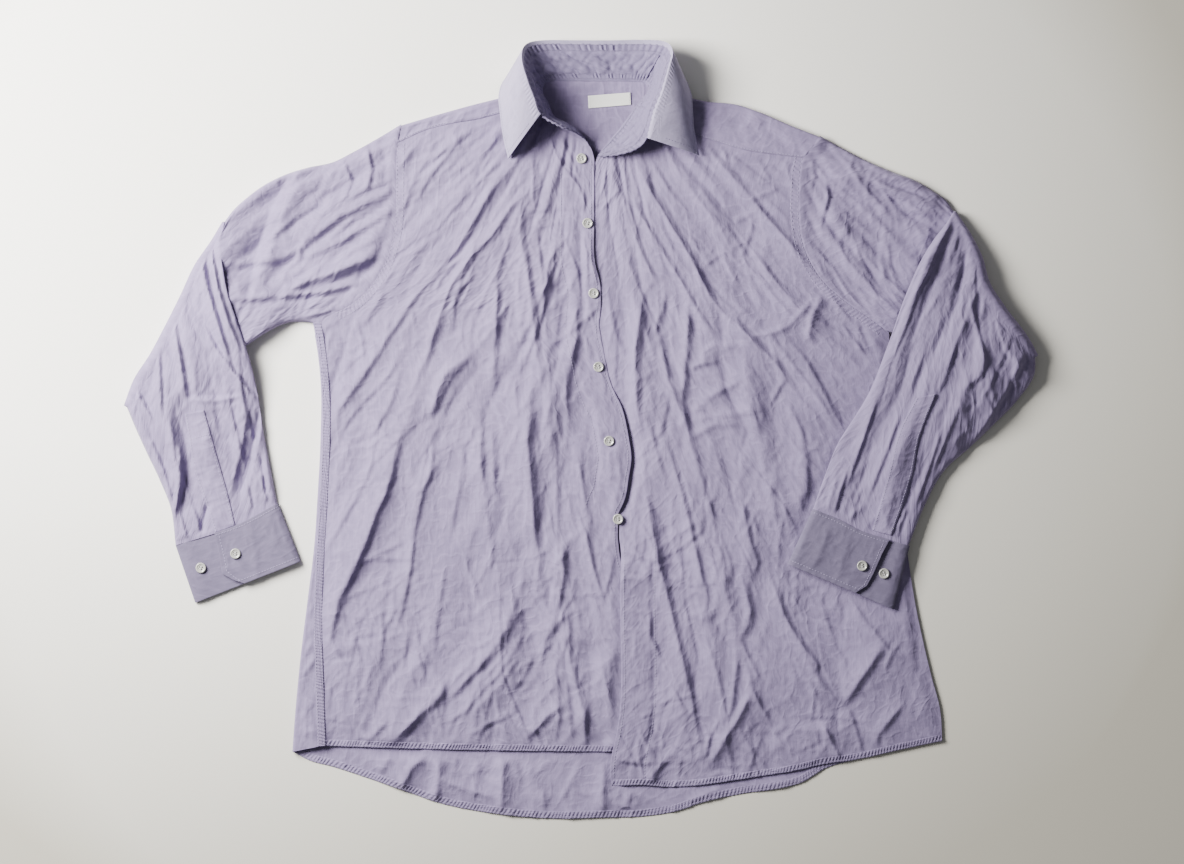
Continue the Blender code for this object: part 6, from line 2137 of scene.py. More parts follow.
    def turned_under(self, grid: np.ndarray) -> np.ndarray:
        """Turns the free edge under, so that it looks as thick as doubled cloth.

        Args:
            grid: The panel.

        Returns:
            The panel with its turned edge.
        """
        last, inner = (grid[:, -1], grid[:, -2]) if self.side is Side.LEFT else (grid[:, 0], grid[:, 1])
        outward = unit(last[:, :2] - inner[:, :2])
        columns = []
        for angle in (0.35, 0.8, 1.4, 2.0, 2.6, 3.14):
            out = outward * self.turn * math.sin(angle)
            columns.append(with_height(last[:, :2] + out, last[:, 2] - self.turn * (1 - math.cos(angle))))
        for depth in (0.5, 1.0):
            plan = last[:, :2] - outward * self.turn_depth * depth
            columns.append(with_height(plan, last[:, 2] - 2 * self.turn))
        columns = np.stack(columns, 1)
        if self.side is Side.LEFT:
            return np.concatenate([grid, columns], 1)
        return np.concatenate([columns[:, ::-1], grid], 1)

    def build(self, wardrobe: Wardrobe) -> bpy.types.Object:
        """Builds the panel with its hem and its stitching.

        Args:
            wardrobe: The materials.

        Returns:
            The panel.
        """
        mesh = ClothMesh(f"{self.name}_cloth")
        mesh.add(self.turned_under(lying_on(self.height, patch(*self.sides()))))
        panel = worn(mesh.built(wardrobe.cloth), Slot.CLOTH, self.name)
        hem_line = moved_aside(curve(self.hem, spread(60)), -3.2)
        hem = SewnBand(f"{self.name}_hem", hem_line, 6.6, seed=self.crumple.seed)
        pieces = [hem.build(self.height, wardrobe), self.armhole_band().build(self.height, wardrobe)]
        edge = curve(CENTRE_LEFT if self.side is Side.LEFT else CENTRE_RIGHT, spread(240))
        inward = 1.0 if self.side is Side.LEFT else -1.0
        rows = []
        for away, low, high in self.edge_lines():
            line = moved_aside(edge, inward * away)
            line = line[(line[:, 1] > low) & (line[:, 1] < high)]
            dense = curve(line, spread(int(run_lengths(line)[-1] / 1.2)))
            rows.append(Stitches(lying_on(self.height, dense, 0.12)))
        pieces.append(sewn(self.name, rows, wardrobe.thread))
        return panel

    def armhole_band(self) -> "SewnBand":
        """Draws the felled seam on the body's side of the armhole.

        Returns:
            The band, not yet built.
        """
        if self.side is Side.LEFT:
            seam = moved_aside(curve(ARMHOLE_LEFT_FRONT, spread(120)[:-12]), -4.9)
        else:
            seam = moved_aside(curve(ARMHOLE_RIGHT_FRONT, spread(120)[:-4]), 4.9)
        return SewnBand(
            f"{self.name}_armhole_seam", seam, 9.0, seed=self.crumple.seed + 5, cloth=0.16, pucker=0.24,
            pitch=4.2, stitch_at=(-0.7, 0.7),
        )

    def edge_lines(self) -> tuple[tuple[float, float, float], ...]:
        """Gives the lines of stitching along the free edge.

        Returns:
            How far in each is, and from where to where it runs down the table.
        """
        if self.side is Side.LEFT:
            return ((3.0, 160.0, 640.0), (33.0, 170.0, 510.0))
        return ((3.0, 541.0, 780.0), (33.5, 541.0, 780.0))


@dataclass
class SewnBand:
    """A narrow doubled band sewn down along a line, gathered a little by its stitches."""

    name: str
    line: np.ndarray
    width: float
    seed: int
    cloth: float = 0.5
    pucker: float = 0.50
    pitch: float = 3.2
    slant: float = 0.5
    stitch_at: tuple[float, ...] = (0.55,)
    step: float = 0.75

    def build(self, height: Heights, wardrobe: Wardrobe) -> bpy.types.Object:
        """Builds the band and the stitches on it.

        Args:
            height: Gives the height of what it is sewn on.
            wardrobe: The materials.

        Returns:
            The band, with its stitches as a child.
        """
        centre = curve(self.line, spread(int(run_lengths(np.asarray(self.line, float))[-1] / self.step)))
        along = run_lengths(centre)
        drift = 0.9 * smooth_noise(along / 22.0, np.full(len(along), 0.5), self.seed)
        strength = 0.9 + 0.35 * smooth_noise(along / 9.0, np.full(len(along), 3.5), self.seed + 1)
        columns = []
        for across, lift in BAND_PROFILE:
            turn = 2 * math.pi * (along / self.pitch + drift + self.slant * across)
            ripple = self.pucker * np.sin(turn) * strength * max(lift, 0.0) * (1.25 - abs(across) * 0.6)
            plan = moved_aside(centre, across * self.width / 2)
            columns.append(lying_on(height, plan, lift * self.cloth + ripple))
        mesh = ClothMesh(self.name)
        mesh.add(np.stack(columns, 1), flipped=True)
        band = worn(mesh.built(wardrobe.cloth, weld=True), Slot.CLOTH)
        rows = []
        for across in self.stitch_at:
            lift = np.interp(across, *zip(*BAND_PROFILE)) * self.cloth + 0.06
            plan = moved_aside(centre, across * self.width / 2)
            rows.append(Stitches(lying_on(height, plan, lift), self.pitch))
        sewn(self.name, rows, wardrobe.thread, carrier=band)
        return band


def turned_over(
    line: np.ndarray, outward: np.ndarray, low: np.ndarray, high: np.ndarray, steps: int,
) -> list[np.ndarray]:
    """Turns a sheet over at a line.

    Args:
        line: Where it turns, in plan.
        outward: The way out, one for all or one for each place.
        low: Height of its low layer.
        high: Height of its high layer.
        steps: How many parts the turn has.

    Returns:
        The columns of the turn, from the low layer to the high one.
    """
    columns = []
    for angle in spread(steps) * math.pi:
        out = -np.asarray(outward) * (WRAP_DEPTH * (1 - math.sin(angle)) + CLOTH / 2)
        columns.append(with_height(line + out, (low + high) / 2 - (high - low) / 2 * math.cos(angle)))
    return columns


@dataclass
class BackPanel:
    """The back: flat on the table, its left edge turned over up to the side seam."""

    crumple: Crumple
    wrap_crumple: Crumple
    columns: int = 300
    armhole_rows: int = 44
    edge_rows: int = 130
    shown_from: tuple[float, float] = (300.0, 740.0)
    shown_to: tuple[float, float] = (930.0, 820.0)
    wrap_from: tuple[float, float] = (290.0, 330.0)
    wrap_to: tuple[float, float] = (326.0, 750.0)
    wrap_level: float = SIDE_SEAM_LEVEL + OVER_SOLID

    def height(self, u: np.ndarray, v: np.ndarray) -> np.ndarray:
        """Works out the back, with folds and creases where it shows below the fronts.

        Args:
            u: Places to the right.
            v: Places down the table.

        Returns:
            The height at each place.
        """
        shown = smooth_step((v - np.interp(u, *zip(*BACK_SHOWN_FROM)) + 5) / BACK_SHOWN_BLEND)
        strewn = self.crumple.strewn(self.shown_from, self.shown_to)
        net = self.crumple.net(u, v)
        fine = raised_by(BACK_CREASES, u, v, BACK_SHARP) + raised_by(strewn, u, v, BACK_SHARP) + net + 0.3
        rolls = raised_by(BACK_FOLDS, u, v)
        hidden = 0.35 * np.maximum(net, 0.0)
        return FLOOR_LAYER + np.maximum((rolls + fine) * shown, 0.0) + hidden * (1 - shown)

    def wrap(self, edge: np.ndarray, seam: np.ndarray) -> list[np.ndarray]:
        """Lays the turned part on the front, with its creases.

        Args:
            edge: Where it comes off the turn, in plan.
            seam: The side seam, in plan.

        Returns:
            The columns from the turn to the seam.
        """
        strewn = self.wrap_crumple.strewn(self.wrap_from, self.wrap_to)
        columns = []
        for share in spread(18)[1:]:
            plan = edge * (1 - share) + seam * share
            u, v = plan[:, 0], plan[:, 1]
            fine = raised_by(WRAP_CREASES, u, v, BACK_SHARP) + raised_by(strewn, u, v, BACK_SHARP)
            fine = fine + self.wrap_crumple.net(u, v)
            fine = fine * smooth_step(share * 3.0) * smooth_step((1 - share) * 2.5)
            columns.append(with_height(plan, self.wrap_level + np.maximum(fine, -2.0)))
        return columns

    def build(self, wardrobe: Wardrobe) -> bpy.types.Object:
        """Builds the back with its hem and its side seam.

        Args:
            wardrobe: The materials.

        Returns:
            The panel.
        """
        upper = spread(self.armhole_rows)
        lower = 1 - (1 - spread(self.edge_rows)) ** 1.7
        n = self.armhole_rows
        left = np.concatenate([curve(BACK_ARMHOLE_LEFT, upper), curve(EDGE_LEFT, lower)[1:]])
        right = np.concatenate([curve(BACK_ARMHOLE_RIGHT, upper), curve(EDGE_RIGHT, lower)[1:]])
        turn = turned_over(left[n:], np.array((-1.0, 0.0)), FLOOR_LAYER, self.wrap_level, 10)
        left[n:] = turn[0][:, :2]
        top = curve(YOKE_SEAM_BACK, spread(self.columns))
        bottom = curve(HEM_BACK, spread(self.columns))
        top[0], top[-1], bottom[0], bottom[-1] = left[0], right[0], left[-1], right[-1]
        flat = lying_on(self.height, patch(top, bottom, left, right))
        flat[:, 0, 2] = FLOOR_LAYER
        over = self.wrap(turn[-1][:, :2], curve(((319.6, 334),) + SIDE_SEAM[1:], lower))
        mesh = ClothMesh("back_cloth")
        mesh.add(flat)
        mesh.add(np.stack(turn + over, 1), flipped=True)
        panel = worn(mesh.built(wardrobe.cloth, weld=True), Slot.CLOTH, "back")
        hem_line = moved_aside(curve(HEM_BACK[:-1] + ((905, 747.6),), spread(90)), -3.6)
        hem = SewnBand("back_hem", hem_line, 7.4, seed=71, pitch=3.7).build(self.height, wardrobe)
        seam_line = curve(((317.5, 322.0),) + SIDE_SEAM[1:], spread(60))
        side = SewnBand("side_seam", seam_line, 8.6, seed=81, cloth=1.1, pucker=0.62, stitch_at=(-0.72, 0.72))
        seam_band = side.build(lambda u, v: np.full(np.shape(u), self.wrap_level - 0.1), wardrobe)
        return panel


@dataclass
class Yoke:
    """The yoke: inside the neck and turned over both shoulders."""

    crumple: Crumple
    shoulder_steps: int = 110
    neck_steps: int = 46
    under_rows: int = 34
    front_shares: int = 12
    creased_from: tuple[float, float] = (396.0, 84.0)
    creased_to: tuple[float, float] = (822.0, 160.0)

    def under_height(self, u: np.ndarray, v: np.ndarray) -> np.ndarray:
        """Works out the under layer, raised to meet the collar at the back of the neck.

        Args:
            u: Places to the right.
            v: Places down the table.

        Returns:
            The height at each place.
        """
        away, _ = distance_to(curve(NECKLINE_BACK, spread(10)), u, v)
        near_neck = 1 - smooth_step((np.abs(away) - COLLAR_CLOTH) / NECK_BACK_REACH)
        fine = np.maximum(self.crumple.net(u, v) * 0.7, -0.4) * smooth_step(np.abs(away) / 8)
        return FLOOR_LAYER + (NECK_BACK_LEVEL - FLOOR_LAYER) * near_neck + np.maximum(fine, -0.25)

    def over_height(self, u: np.ndarray, v: np.ndarray) -> np.ndarray:
        """Works out where the yoke lies over the shoulders.

        Args:
            u: Places to the right.
            v: Places down the table.

        Returns:
            The height at each place.
        """
        from_neck = np.hypot(u - NECK_MIDDLE[0], v - NECK_MIDDLE[1])
        level = SHOULDER_LEVEL + (NECK_LEVEL - SHOULDER_LEVEL) * np.exp(-((from_neck / NECK_REACH) ** 2))
        return level + OVER_SOLID

    def shoulder(self, line: np.ndarray, seam: Plan) -> list[np.ndarray]:
        """Lays the yoke over one shoulder.

        Args:
            line: Where the yoke turns over.
            seam: Its seam with the front.

        Returns:
            Columns from the under layer to the front's seam.
        """
        outward = moved_aside(line, -1.0) - line
        low = self.under_height(line[:, 0], line[:, 1])
        high = self.over_height(line[:, 0], line[:, 1])
        columns = turned_over(line, outward, low, high, 10)
        turned = columns[-1][:, :2]
        front = curve(seam, spread(len(line) - 1)) + (0.0, 0.4)
        strewn = self.crumple.strewn(self.creased_from, self.creased_to)
        for share in spread(self.front_shares)[1:]:
            plan = turned * (1 - share) + front * share
            u, v = plan[:, 0], plan[:, 1]
            calm = smooth_step((1 - share) * 4)
            fine = self.crumple.net(u, v) * smooth_step(share * 4) * calm
            fine += raised_by(strewn, u, v, BACK_SHARP) * calm
            edge = SEAM_RISE * smooth_step((share - 0.55) / 0.4)
            columns.append(with_height(plan, self.over_height(u, v) + fine + edge))
        columns.append(lying_on(self.over_height, front, -0.7))
        columns.append(lying_on(self.over_height, front - (0.0, 1.0), -0.9))
        return columns

    def build(self, wardrobe: Wardrobe) -> bpy.types.Object:
        """Builds the yoke.

        Args:
            wardrobe: The materials.

        Returns:
            The panel.
        """
        left = self.shoulder(curve(SHOULDER_LEFT, spread(self.shoulder_steps)), YOKE_SEAM_LEFT)
        right = self.shoulder(curve(SHOULDER_RIGHT, spread(self.shoulder_steps)), YOKE_SEAM_RIGHT)
        back_neck = with_height(curve(NECKLINE_BACK, spread(self.neck_steps)), NECK_BACK_LEVEL)
        top = np.concatenate([left[0], back_neck[1:-1], right[0]])
        bottom = curve(YOKE_SEAM_BACK, share_along(top)) + (0.0, 2.0)
        sides = []
        for line, end in ((YOKE_SIDE_LEFT, 0), (YOKE_SIDE_RIGHT, -1)):
            side = curve(line, spread(self.under_rows))
            side[0], side[-1] = top[end, :2], bottom[end]
            sides.append(side)
        flat = lying_on(self.under_height, patch(top[:, :2], bottom, *sides))
        flat[-3:, :, 2] += 0.5
        flat[0] = top
        mesh = ClothMesh("yoke_cloth")
        mesh.add(flat)
        mesh.add(np.stack(left, 1), flipped=True)
        mesh.add(np.stack(right, 1), flipped=True)
        panel = worn(mesh.built(wardrobe.cloth, weld=True), Slot.CLOTH, "yoke")
        rows = []
        for seam in (YOKE_SEAM_LEFT, YOKE_SEAM_RIGHT):
            line = curve(seam, spread(150)) - (0.0, 1.3)
            rows.append(Stitches(lying_on(self.over_height, line, SEAM_RISE + 0.1)))
        stitches = sewn("yoke", rows, wardrobe.thread)
        return panel


@dataclass
class Sleeve:
    """A sleeve: one flattened tube whose forearm is folded over its upper arm."""

    side: Side
    cut: SleeveCut
    upper_creases: tuple[Fold, ...]
    fore_creases: tuple[Fold, ...]
    crumple: Crumple
    fore_flow: tuple[float, float]
    body_height: Callable[[np.ndarray, np.ndarray], np.ndarray]
    stations: int = 80
    upper_steps: int = 112
    fold_steps: int = 12
    fore_steps: int = 160
    upper_length: float = 190.0
    fore_length: float = 260.0

    def across(self) -> tuple[np.ndarray, np.ndarray]:
        """Spaces the stations across the tube, closer at its edges.

        Returns:
            The stations and how far the tube's two layers part at each.
        """
        even = spread(self.stations)
        s = even - 0.09 * np.sin(2 * math.pi * even) / (2 * math.pi) * 2
        inside = np.clip(np.minimum(s, 1 - s) / 0.06, 0.0, 1.0)
        return s, np.sqrt(1 - (1 - inside) ** 2)

    def middles(
        self, rows: Sequence[SleeveRow], along: np.ndarray, s: np.ndarray,
    ) -> tuple[np.ndarray, np.ndarray]:
        """Carries the sleeve's rows to every place along and across it.

        Args:
            rows: What is known along the sleeve.
            along: The places wanted along it.
            s: The stations across it.

        Returns:
            Heights of the tube's middle, and half its depth at each place along.
        """
        found = blend(along, [row.along for row in rows], [row[1:] for row in rows])
        heights = np.array([blend(s, ACROSS_STATIONS, row[:4]) for row in found[..., None]])[..., 0]
        return heights, found[:, 4]

    def fine(self, creases: Sequence[Fold], u: np.ndarray, v: np.ndarray, crumple: Crumple) -> np.ndarray:
        """Works out the small creases on the upper side.

        Args:
            creases: Those listed one by one.
            u: Places to the right.
            v: Places down the table.
            crumple: The net and the strewn ones.

        Returns:
            The height to add at each place.
        """
        strewn = crumple.strewn((float(u.min()), float(v.min())), (float(u.max()), float(v.max())))
        drawn = pinched(creases, SLEEVE_CREASE_GAIN) + pinched(strewn, 1.0)
        return raised_by(drawn, u, v, SHARP) + crumple.net(u, v)

    def rings(self) -> np.ndarray:
        """Lays the tube, from the armhole over the elbow's fold to inside the cuff.

        Returns:
            Its rings, each from the over-arm edge along the upper layer and back along the lower.
        """
        cut = self.cut
        s, part = self.across()
        outward = np.outer(1 - s, cut.outward[0]) + np.outer(s, cut.outward[1])
        low_z, low_half = self.middles(UPPER_ARM_ROWS, spread(self.upper_steps), s)
        high_z, high_half = self.middles(cut.rows, spread(self.fore_steps), s)
        radius = (high_z[0] - low_z[-1]) / 2
        inset = curve(cut.fold, s) - outward * (radius + low_half[-1] * part + CLOTH / 2)[:, None]
        armhole, seam = curve(cut.armhole, s), curve(cut.cuff_seam, s)
        over = curve((armhole[0],) + cut.over_upper + (tuple(inset[0]),), spread(self.upper_steps))
        under = curve((armhole[-1],) + cut.under_upper + (tuple(inset[-1]),), spread(self.upper_steps))
        upper = patch(armhole, inset, over, under)
        over = curve((tuple(inset[0]),) + cut.over_fore + (seam[0],), spread(self.fore_steps))
        under = curve((tuple(inset[-1]),) + cut.under_fore + (seam[-1],), spread(self.fore_steps))
        fore = patch(inset, seam, over, under)

        ring = np.concatenate([np.arange(len(s)), np.arange(len(s) - 2, -1, -1)])
        gap = part[ring] * np.concatenate([np.ones(len(s)), -np.ones(len(s) - 1)])
        middles, halves = (low_z[-1, ring], high_z[0, ring]), (low_half[-1], high_half[0])
        return np.concatenate([
            self.upper_rings(upper[:, ring], low_z[:, ring], low_half, gap),
            self.elbow_rings(inset[ring], outward[ring], middles, halves, gap),
            self.fore_rings(fore[:, ring], high_z[:, ring], high_half, gap),
        ])

    def upper_rings(
        self, plan: np.ndarray, middle: np.ndarray, half: np.ndarray, gap: np.ndarray,
    ) -> np.ndarray:
        """Lays the upper arm, whose upper side meets the body's cloth at the armhole.

        Args:
            plan: Places of each ring.
            middle: Heights of the tube's middle.
            half: Half its depth in each ring.
            gap: Where in that depth each place of a ring lies, from -1 at the top to 1.

        Returns:
            The rings, with the welt under the armhole's seam first.
        """
        u, v = plan[..., 0], plan[..., 1]
        along = spread(len(plan) - 1)[:, None]
        away, left_over = along * self.upper_length, (1 - along) * self.upper_length
        top = smooth_step(-gap)[None] * smooth_step(along * 4) * smooth_step((1 - along) * 4)
        tight = smooth_step(away / 6.0) * smooth_step(left_over / 14.0)
        height = middle - gap * half[:, None] + raised_by(self.cut.upper_folds, u, v) * top
        height += self.fine(self.upper_creases, u, v, self.crumple) * smooth_step(-gap * 1.2)[None] * tight
        height += np.maximum(-self.crumple.net(u, v), 0.0) * 0.5 * smooth_step(gap)[None] * tight
        swell = raised_by(self.cut.swell, u, v, 2.0) * smooth_step(-gap * 1.5)[None]
        height += swell * smooth_step(left_over / 4.0) * smooth_step(away / 30.0)
        on_body = self.body_height(plan[0, :, 0], plan[0, :, 1]) + SEAM_RISE
        joins = (1 - smooth_step(away / 16.0)) * smooth_step(-gap * 3.0 + 0.5)[None]
        height += (np.maximum(on_body[None], height) - height) * joins
        rows = with_height(plan, np.maximum(height, LOWEST_SLEEVE))
        welt = rows[0] - (rows[2] - rows[0]) * 0.5
        welt[:, 2] = rows[0, :, 2] - 0.5
        return np.concatenate([welt[None], rows])

    def elbow_rings(
        self, inset: np.ndarray, outward: np.ndarray, middles: tuple[np.ndarray, np.ndarray],
        halves: tuple[float, float], gap: np.ndarray,
    ) -> np.ndarray:
        """Turns the tube at the elbow, from the upper arm up and back over it.

        Args:
            inset: The line that it turns about, in plan.
            outward: The way out at each place of a ring.
            middles: Heights of the tube's middle before and after the turn.
            halves: Half its depth before and after the turn.
            gap: Where in that depth each place of a ring lies.

        Returns:
            The rings between the upper arm and the forearm.
        """
        low, high = middles
        radius = (high - low) / 2
        rings = []
        for angle in spread(self.fold_steps)[1:-1] * math.pi:
            half = halves[0] + (halves[1] - halves[0]) * angle / math.pi
            reach = (radius + gap * half) * math.sin(angle)
            height = (low + high) / 2 - (radius + gap * half) * math.cos(angle)
            rings.append(with_height(inset + outward * reach[:, None], height))
        return np.array(rings)

    def fore_rings(
        self, plan: np.ndarray, middle: np.ndarray, half: np.ndarray, gap: np.ndarray,
    ) -> np.ndarray:
        """Lays the forearm, whose end goes on into the cuff.

        Args:
            plan: Places of each ring.
            middle: Heights of the tube's middle.
            half: Half its depth in each ring.
            gap: Where in that depth each place of a ring lies, from -1 below to 1 at the top.

        Returns:
            The rings, with the one inside the cuff last.
        """
        last = plan[-1] + (plan[-1] - plan[-3])
        u, v = plan[..., 0], plan[..., 1]
        along = spread(len(plan) - 1)[:, None]
        top = smooth_step(gap)[None] * smooth_step(along * 6) * smooth_step((1 - along) * 6)
        away, left_over = along * self.fore_length, (1 - along) * self.fore_length
        tight = smooth_step(away / 14.0) * smooth_step(left_over / 7.0)
        height = middle + gap * half[:, None] + raised_by(self.cut.fore_folds, u, v) * top
        crumple = replace(self.crumple, seed=self.crumple.seed + 7, flow_from=self.fore_flow)
        height += self.fine(self.fore_creases, u, v, crumple) * smooth_step(gap * 1.2)[None] * tight
        height += np.maximum(crumple.net(u, v), -0.5) * 0.6 * smooth_step(-gap)[None] * tight
        rows = with_height(plan, np.maximum(height, LOWEST_SLEEVE))
        end = with_height(last, rows[-1, :, 2] * 0.9 + 0.1 * middle[-1])
        return np.concatenate([rows, end[None]])

    def build(self, wardrobe: Wardrobe) -> bpy.types.Object:
        """Builds the sleeve.

        Args:
            wardrobe: The materials.

        Returns:
            The sleeve.
        """
        name = f"sleeve_{self.side.value}"
        mesh = ClothMesh(f"{name}_cloth")
        mesh.add(self.rings())
        sleeve = worn(mesh.built(wardrobe.cloth, weld=True), Slot.CLOTH, name)
        return sleeve


@dataclass
class SleevePlacket:
    """The strip sewn over a sleeve's opening above the cuff."""

    side: Side
    edges: tuple[Plan, Plan]
    cross_stitch: Plan
    lift: float = 0.75
    puckered: float = 0.5
    pulled_smooth: int = 6
    steps: tuple[int, int] = (110, 14)

    def build(self, sleeve: bpy.types.Object, wardrobe: Wardrobe) -> bpy.types.Object:
        """Builds the strip on its sleeve.

        Args:
            sleeve: What it lies on.
            wardrobe: The materials.

        Returns:
            The strip.
        """
        first, last = (curve(edge, spread(self.steps[0])) for edge in self.edges)
        plan = np.stack([first * (1 - share) + last * share for share in spread(self.steps[1])], 1)
        grid = Surface(sleeve).drape(plan, 0.0)
        for _ in range(self.pulled_smooth):
            inner = grid[1:-1, 1:-1, 2]
            around = (grid[:-2, 1:-1, 2] + grid[2:, 1:-1, 2] + grid[1:-1, :-2, 2] + grid[1:-1, 2:, 2]) / 4
            grid[1:-1, 1:-1, 2] = np.maximum(inner, around)
        along, across = np.meshgrid(run_lengths(first), spread(self.steps[1]), indexing="ij")
        gathered = np.maximum(smooth_noise(along / 4.5, across * 1.2, 91), 0.0)
        grid[..., 2] += self.lift + self.puckered * gathered * (0.35 + across)
        name = f"sleeve_placket_{self.side.value}"
        mesh = ClothMesh(f"{name}_cloth")
        mesh.add(grid)
        strip = worn(thickened(mesh.built(wardrobe.cloth), 0.9, rounded=True), Slot.CLOTH, name)
        rows = [Stitches(curve(grid[:, column], spread(120)) + (0.0, 0.0, 0.5)) for column in (1, -2)]
        rows.append(Stitches(Surface(strip).drape(curve(self.cross_stitch, spread(24)), 0.1), 2.6, 2.0))
        stitches = sewn(name, rows, wardrobe.thread)
        return strip


@dataclass
class Cuff:
    """A cuff: a stiffened band that goes round once and laps over itself."""

    side: Side
    cut: CuffCut
    creases: tuple[Fold, ...]
    seed: int
    width: float = 112.0
    round_steps: int = 190
    down_steps: int = 40

    def grid(self) -> np.ndarray:
        """Lays the band round and over itself.

        Returns:
            Rows round it, columns down it.
        """
        path = np.asarray(self.cut.path, float) * (self.width, CUFF_LAYER)
        way = curve(path, spread(self.round_steps))
        at = run_lengths(way)
        first = np.linalg.norm(path[1] - path[0])
        down = spread(self.down_steps)
        end = np.interp(down, *zip(*self.cut.free_end))
        share = np.clip(1 - at / first, 0.0, 1.0)[:, None]
        across = way[:, :1] / self.width + share * end[None]
        layer = np.repeat(np.clip(way[:, 1:], 0.0, 2 * CUFF_LAYER), len(down), 1)
        top = curve(self.cut.top, across.ravel()).reshape(across.shape + (2,))
        bottom = curve(self.cut.bottom, across.ravel()).reshape(across.shape + (2,))
        plan = top * (1 - down)[None, :, None] + bottom * down[None, :, None]
        u, v = plan[..., 0], plan[..., 1]
        upper = smooth_step((layer - 1.6 * CUFF_LAYER) / (0.3 * CUFF_LAYER))
        soft = 0.5 * smooth_noise(u / 30.0, v / 30.0, self.seed) + raised_by(self.creases, u, v, 1.5)
        soft += 0.35 * crest(u / 19.0, v / 17.0, self.seed + 2, 3.4)
        return with_height(plan, self.cut.base + layer + upper * np.maximum(soft, -0.8))

    def build(self, wardrobe: Wardrobe) -> bpy.types.Object:
        """Builds the cuff with its edge stitching.

        Args:
            wardrobe: The materials.

        Returns:
            The cuff.
        """
        name = f"cuff_{self.side.value}"
        grid = self.grid()
        mesh = ClothMesh(f"{name}_cloth")
        mesh.add(grid)
        cuff = worn(thickened(mesh.built(wardrobe.cuff), 1.5, rounded=True), Slot.STIFFENED, name)
        shown = int(len(grid) * 0.34)
        lines = [curve(grid[:shown, column], spread(90)) for column in (2, -4)]
        lines.append(curve(grid[3, 3:-3], spread(50)))
        rows = [Stitches(line + (0.0, 0.0, 0.85)) for line in lines]
        stitches = sewn(name, rows, wardrobe.thread, Slot.STIFFENED)
        return cuff


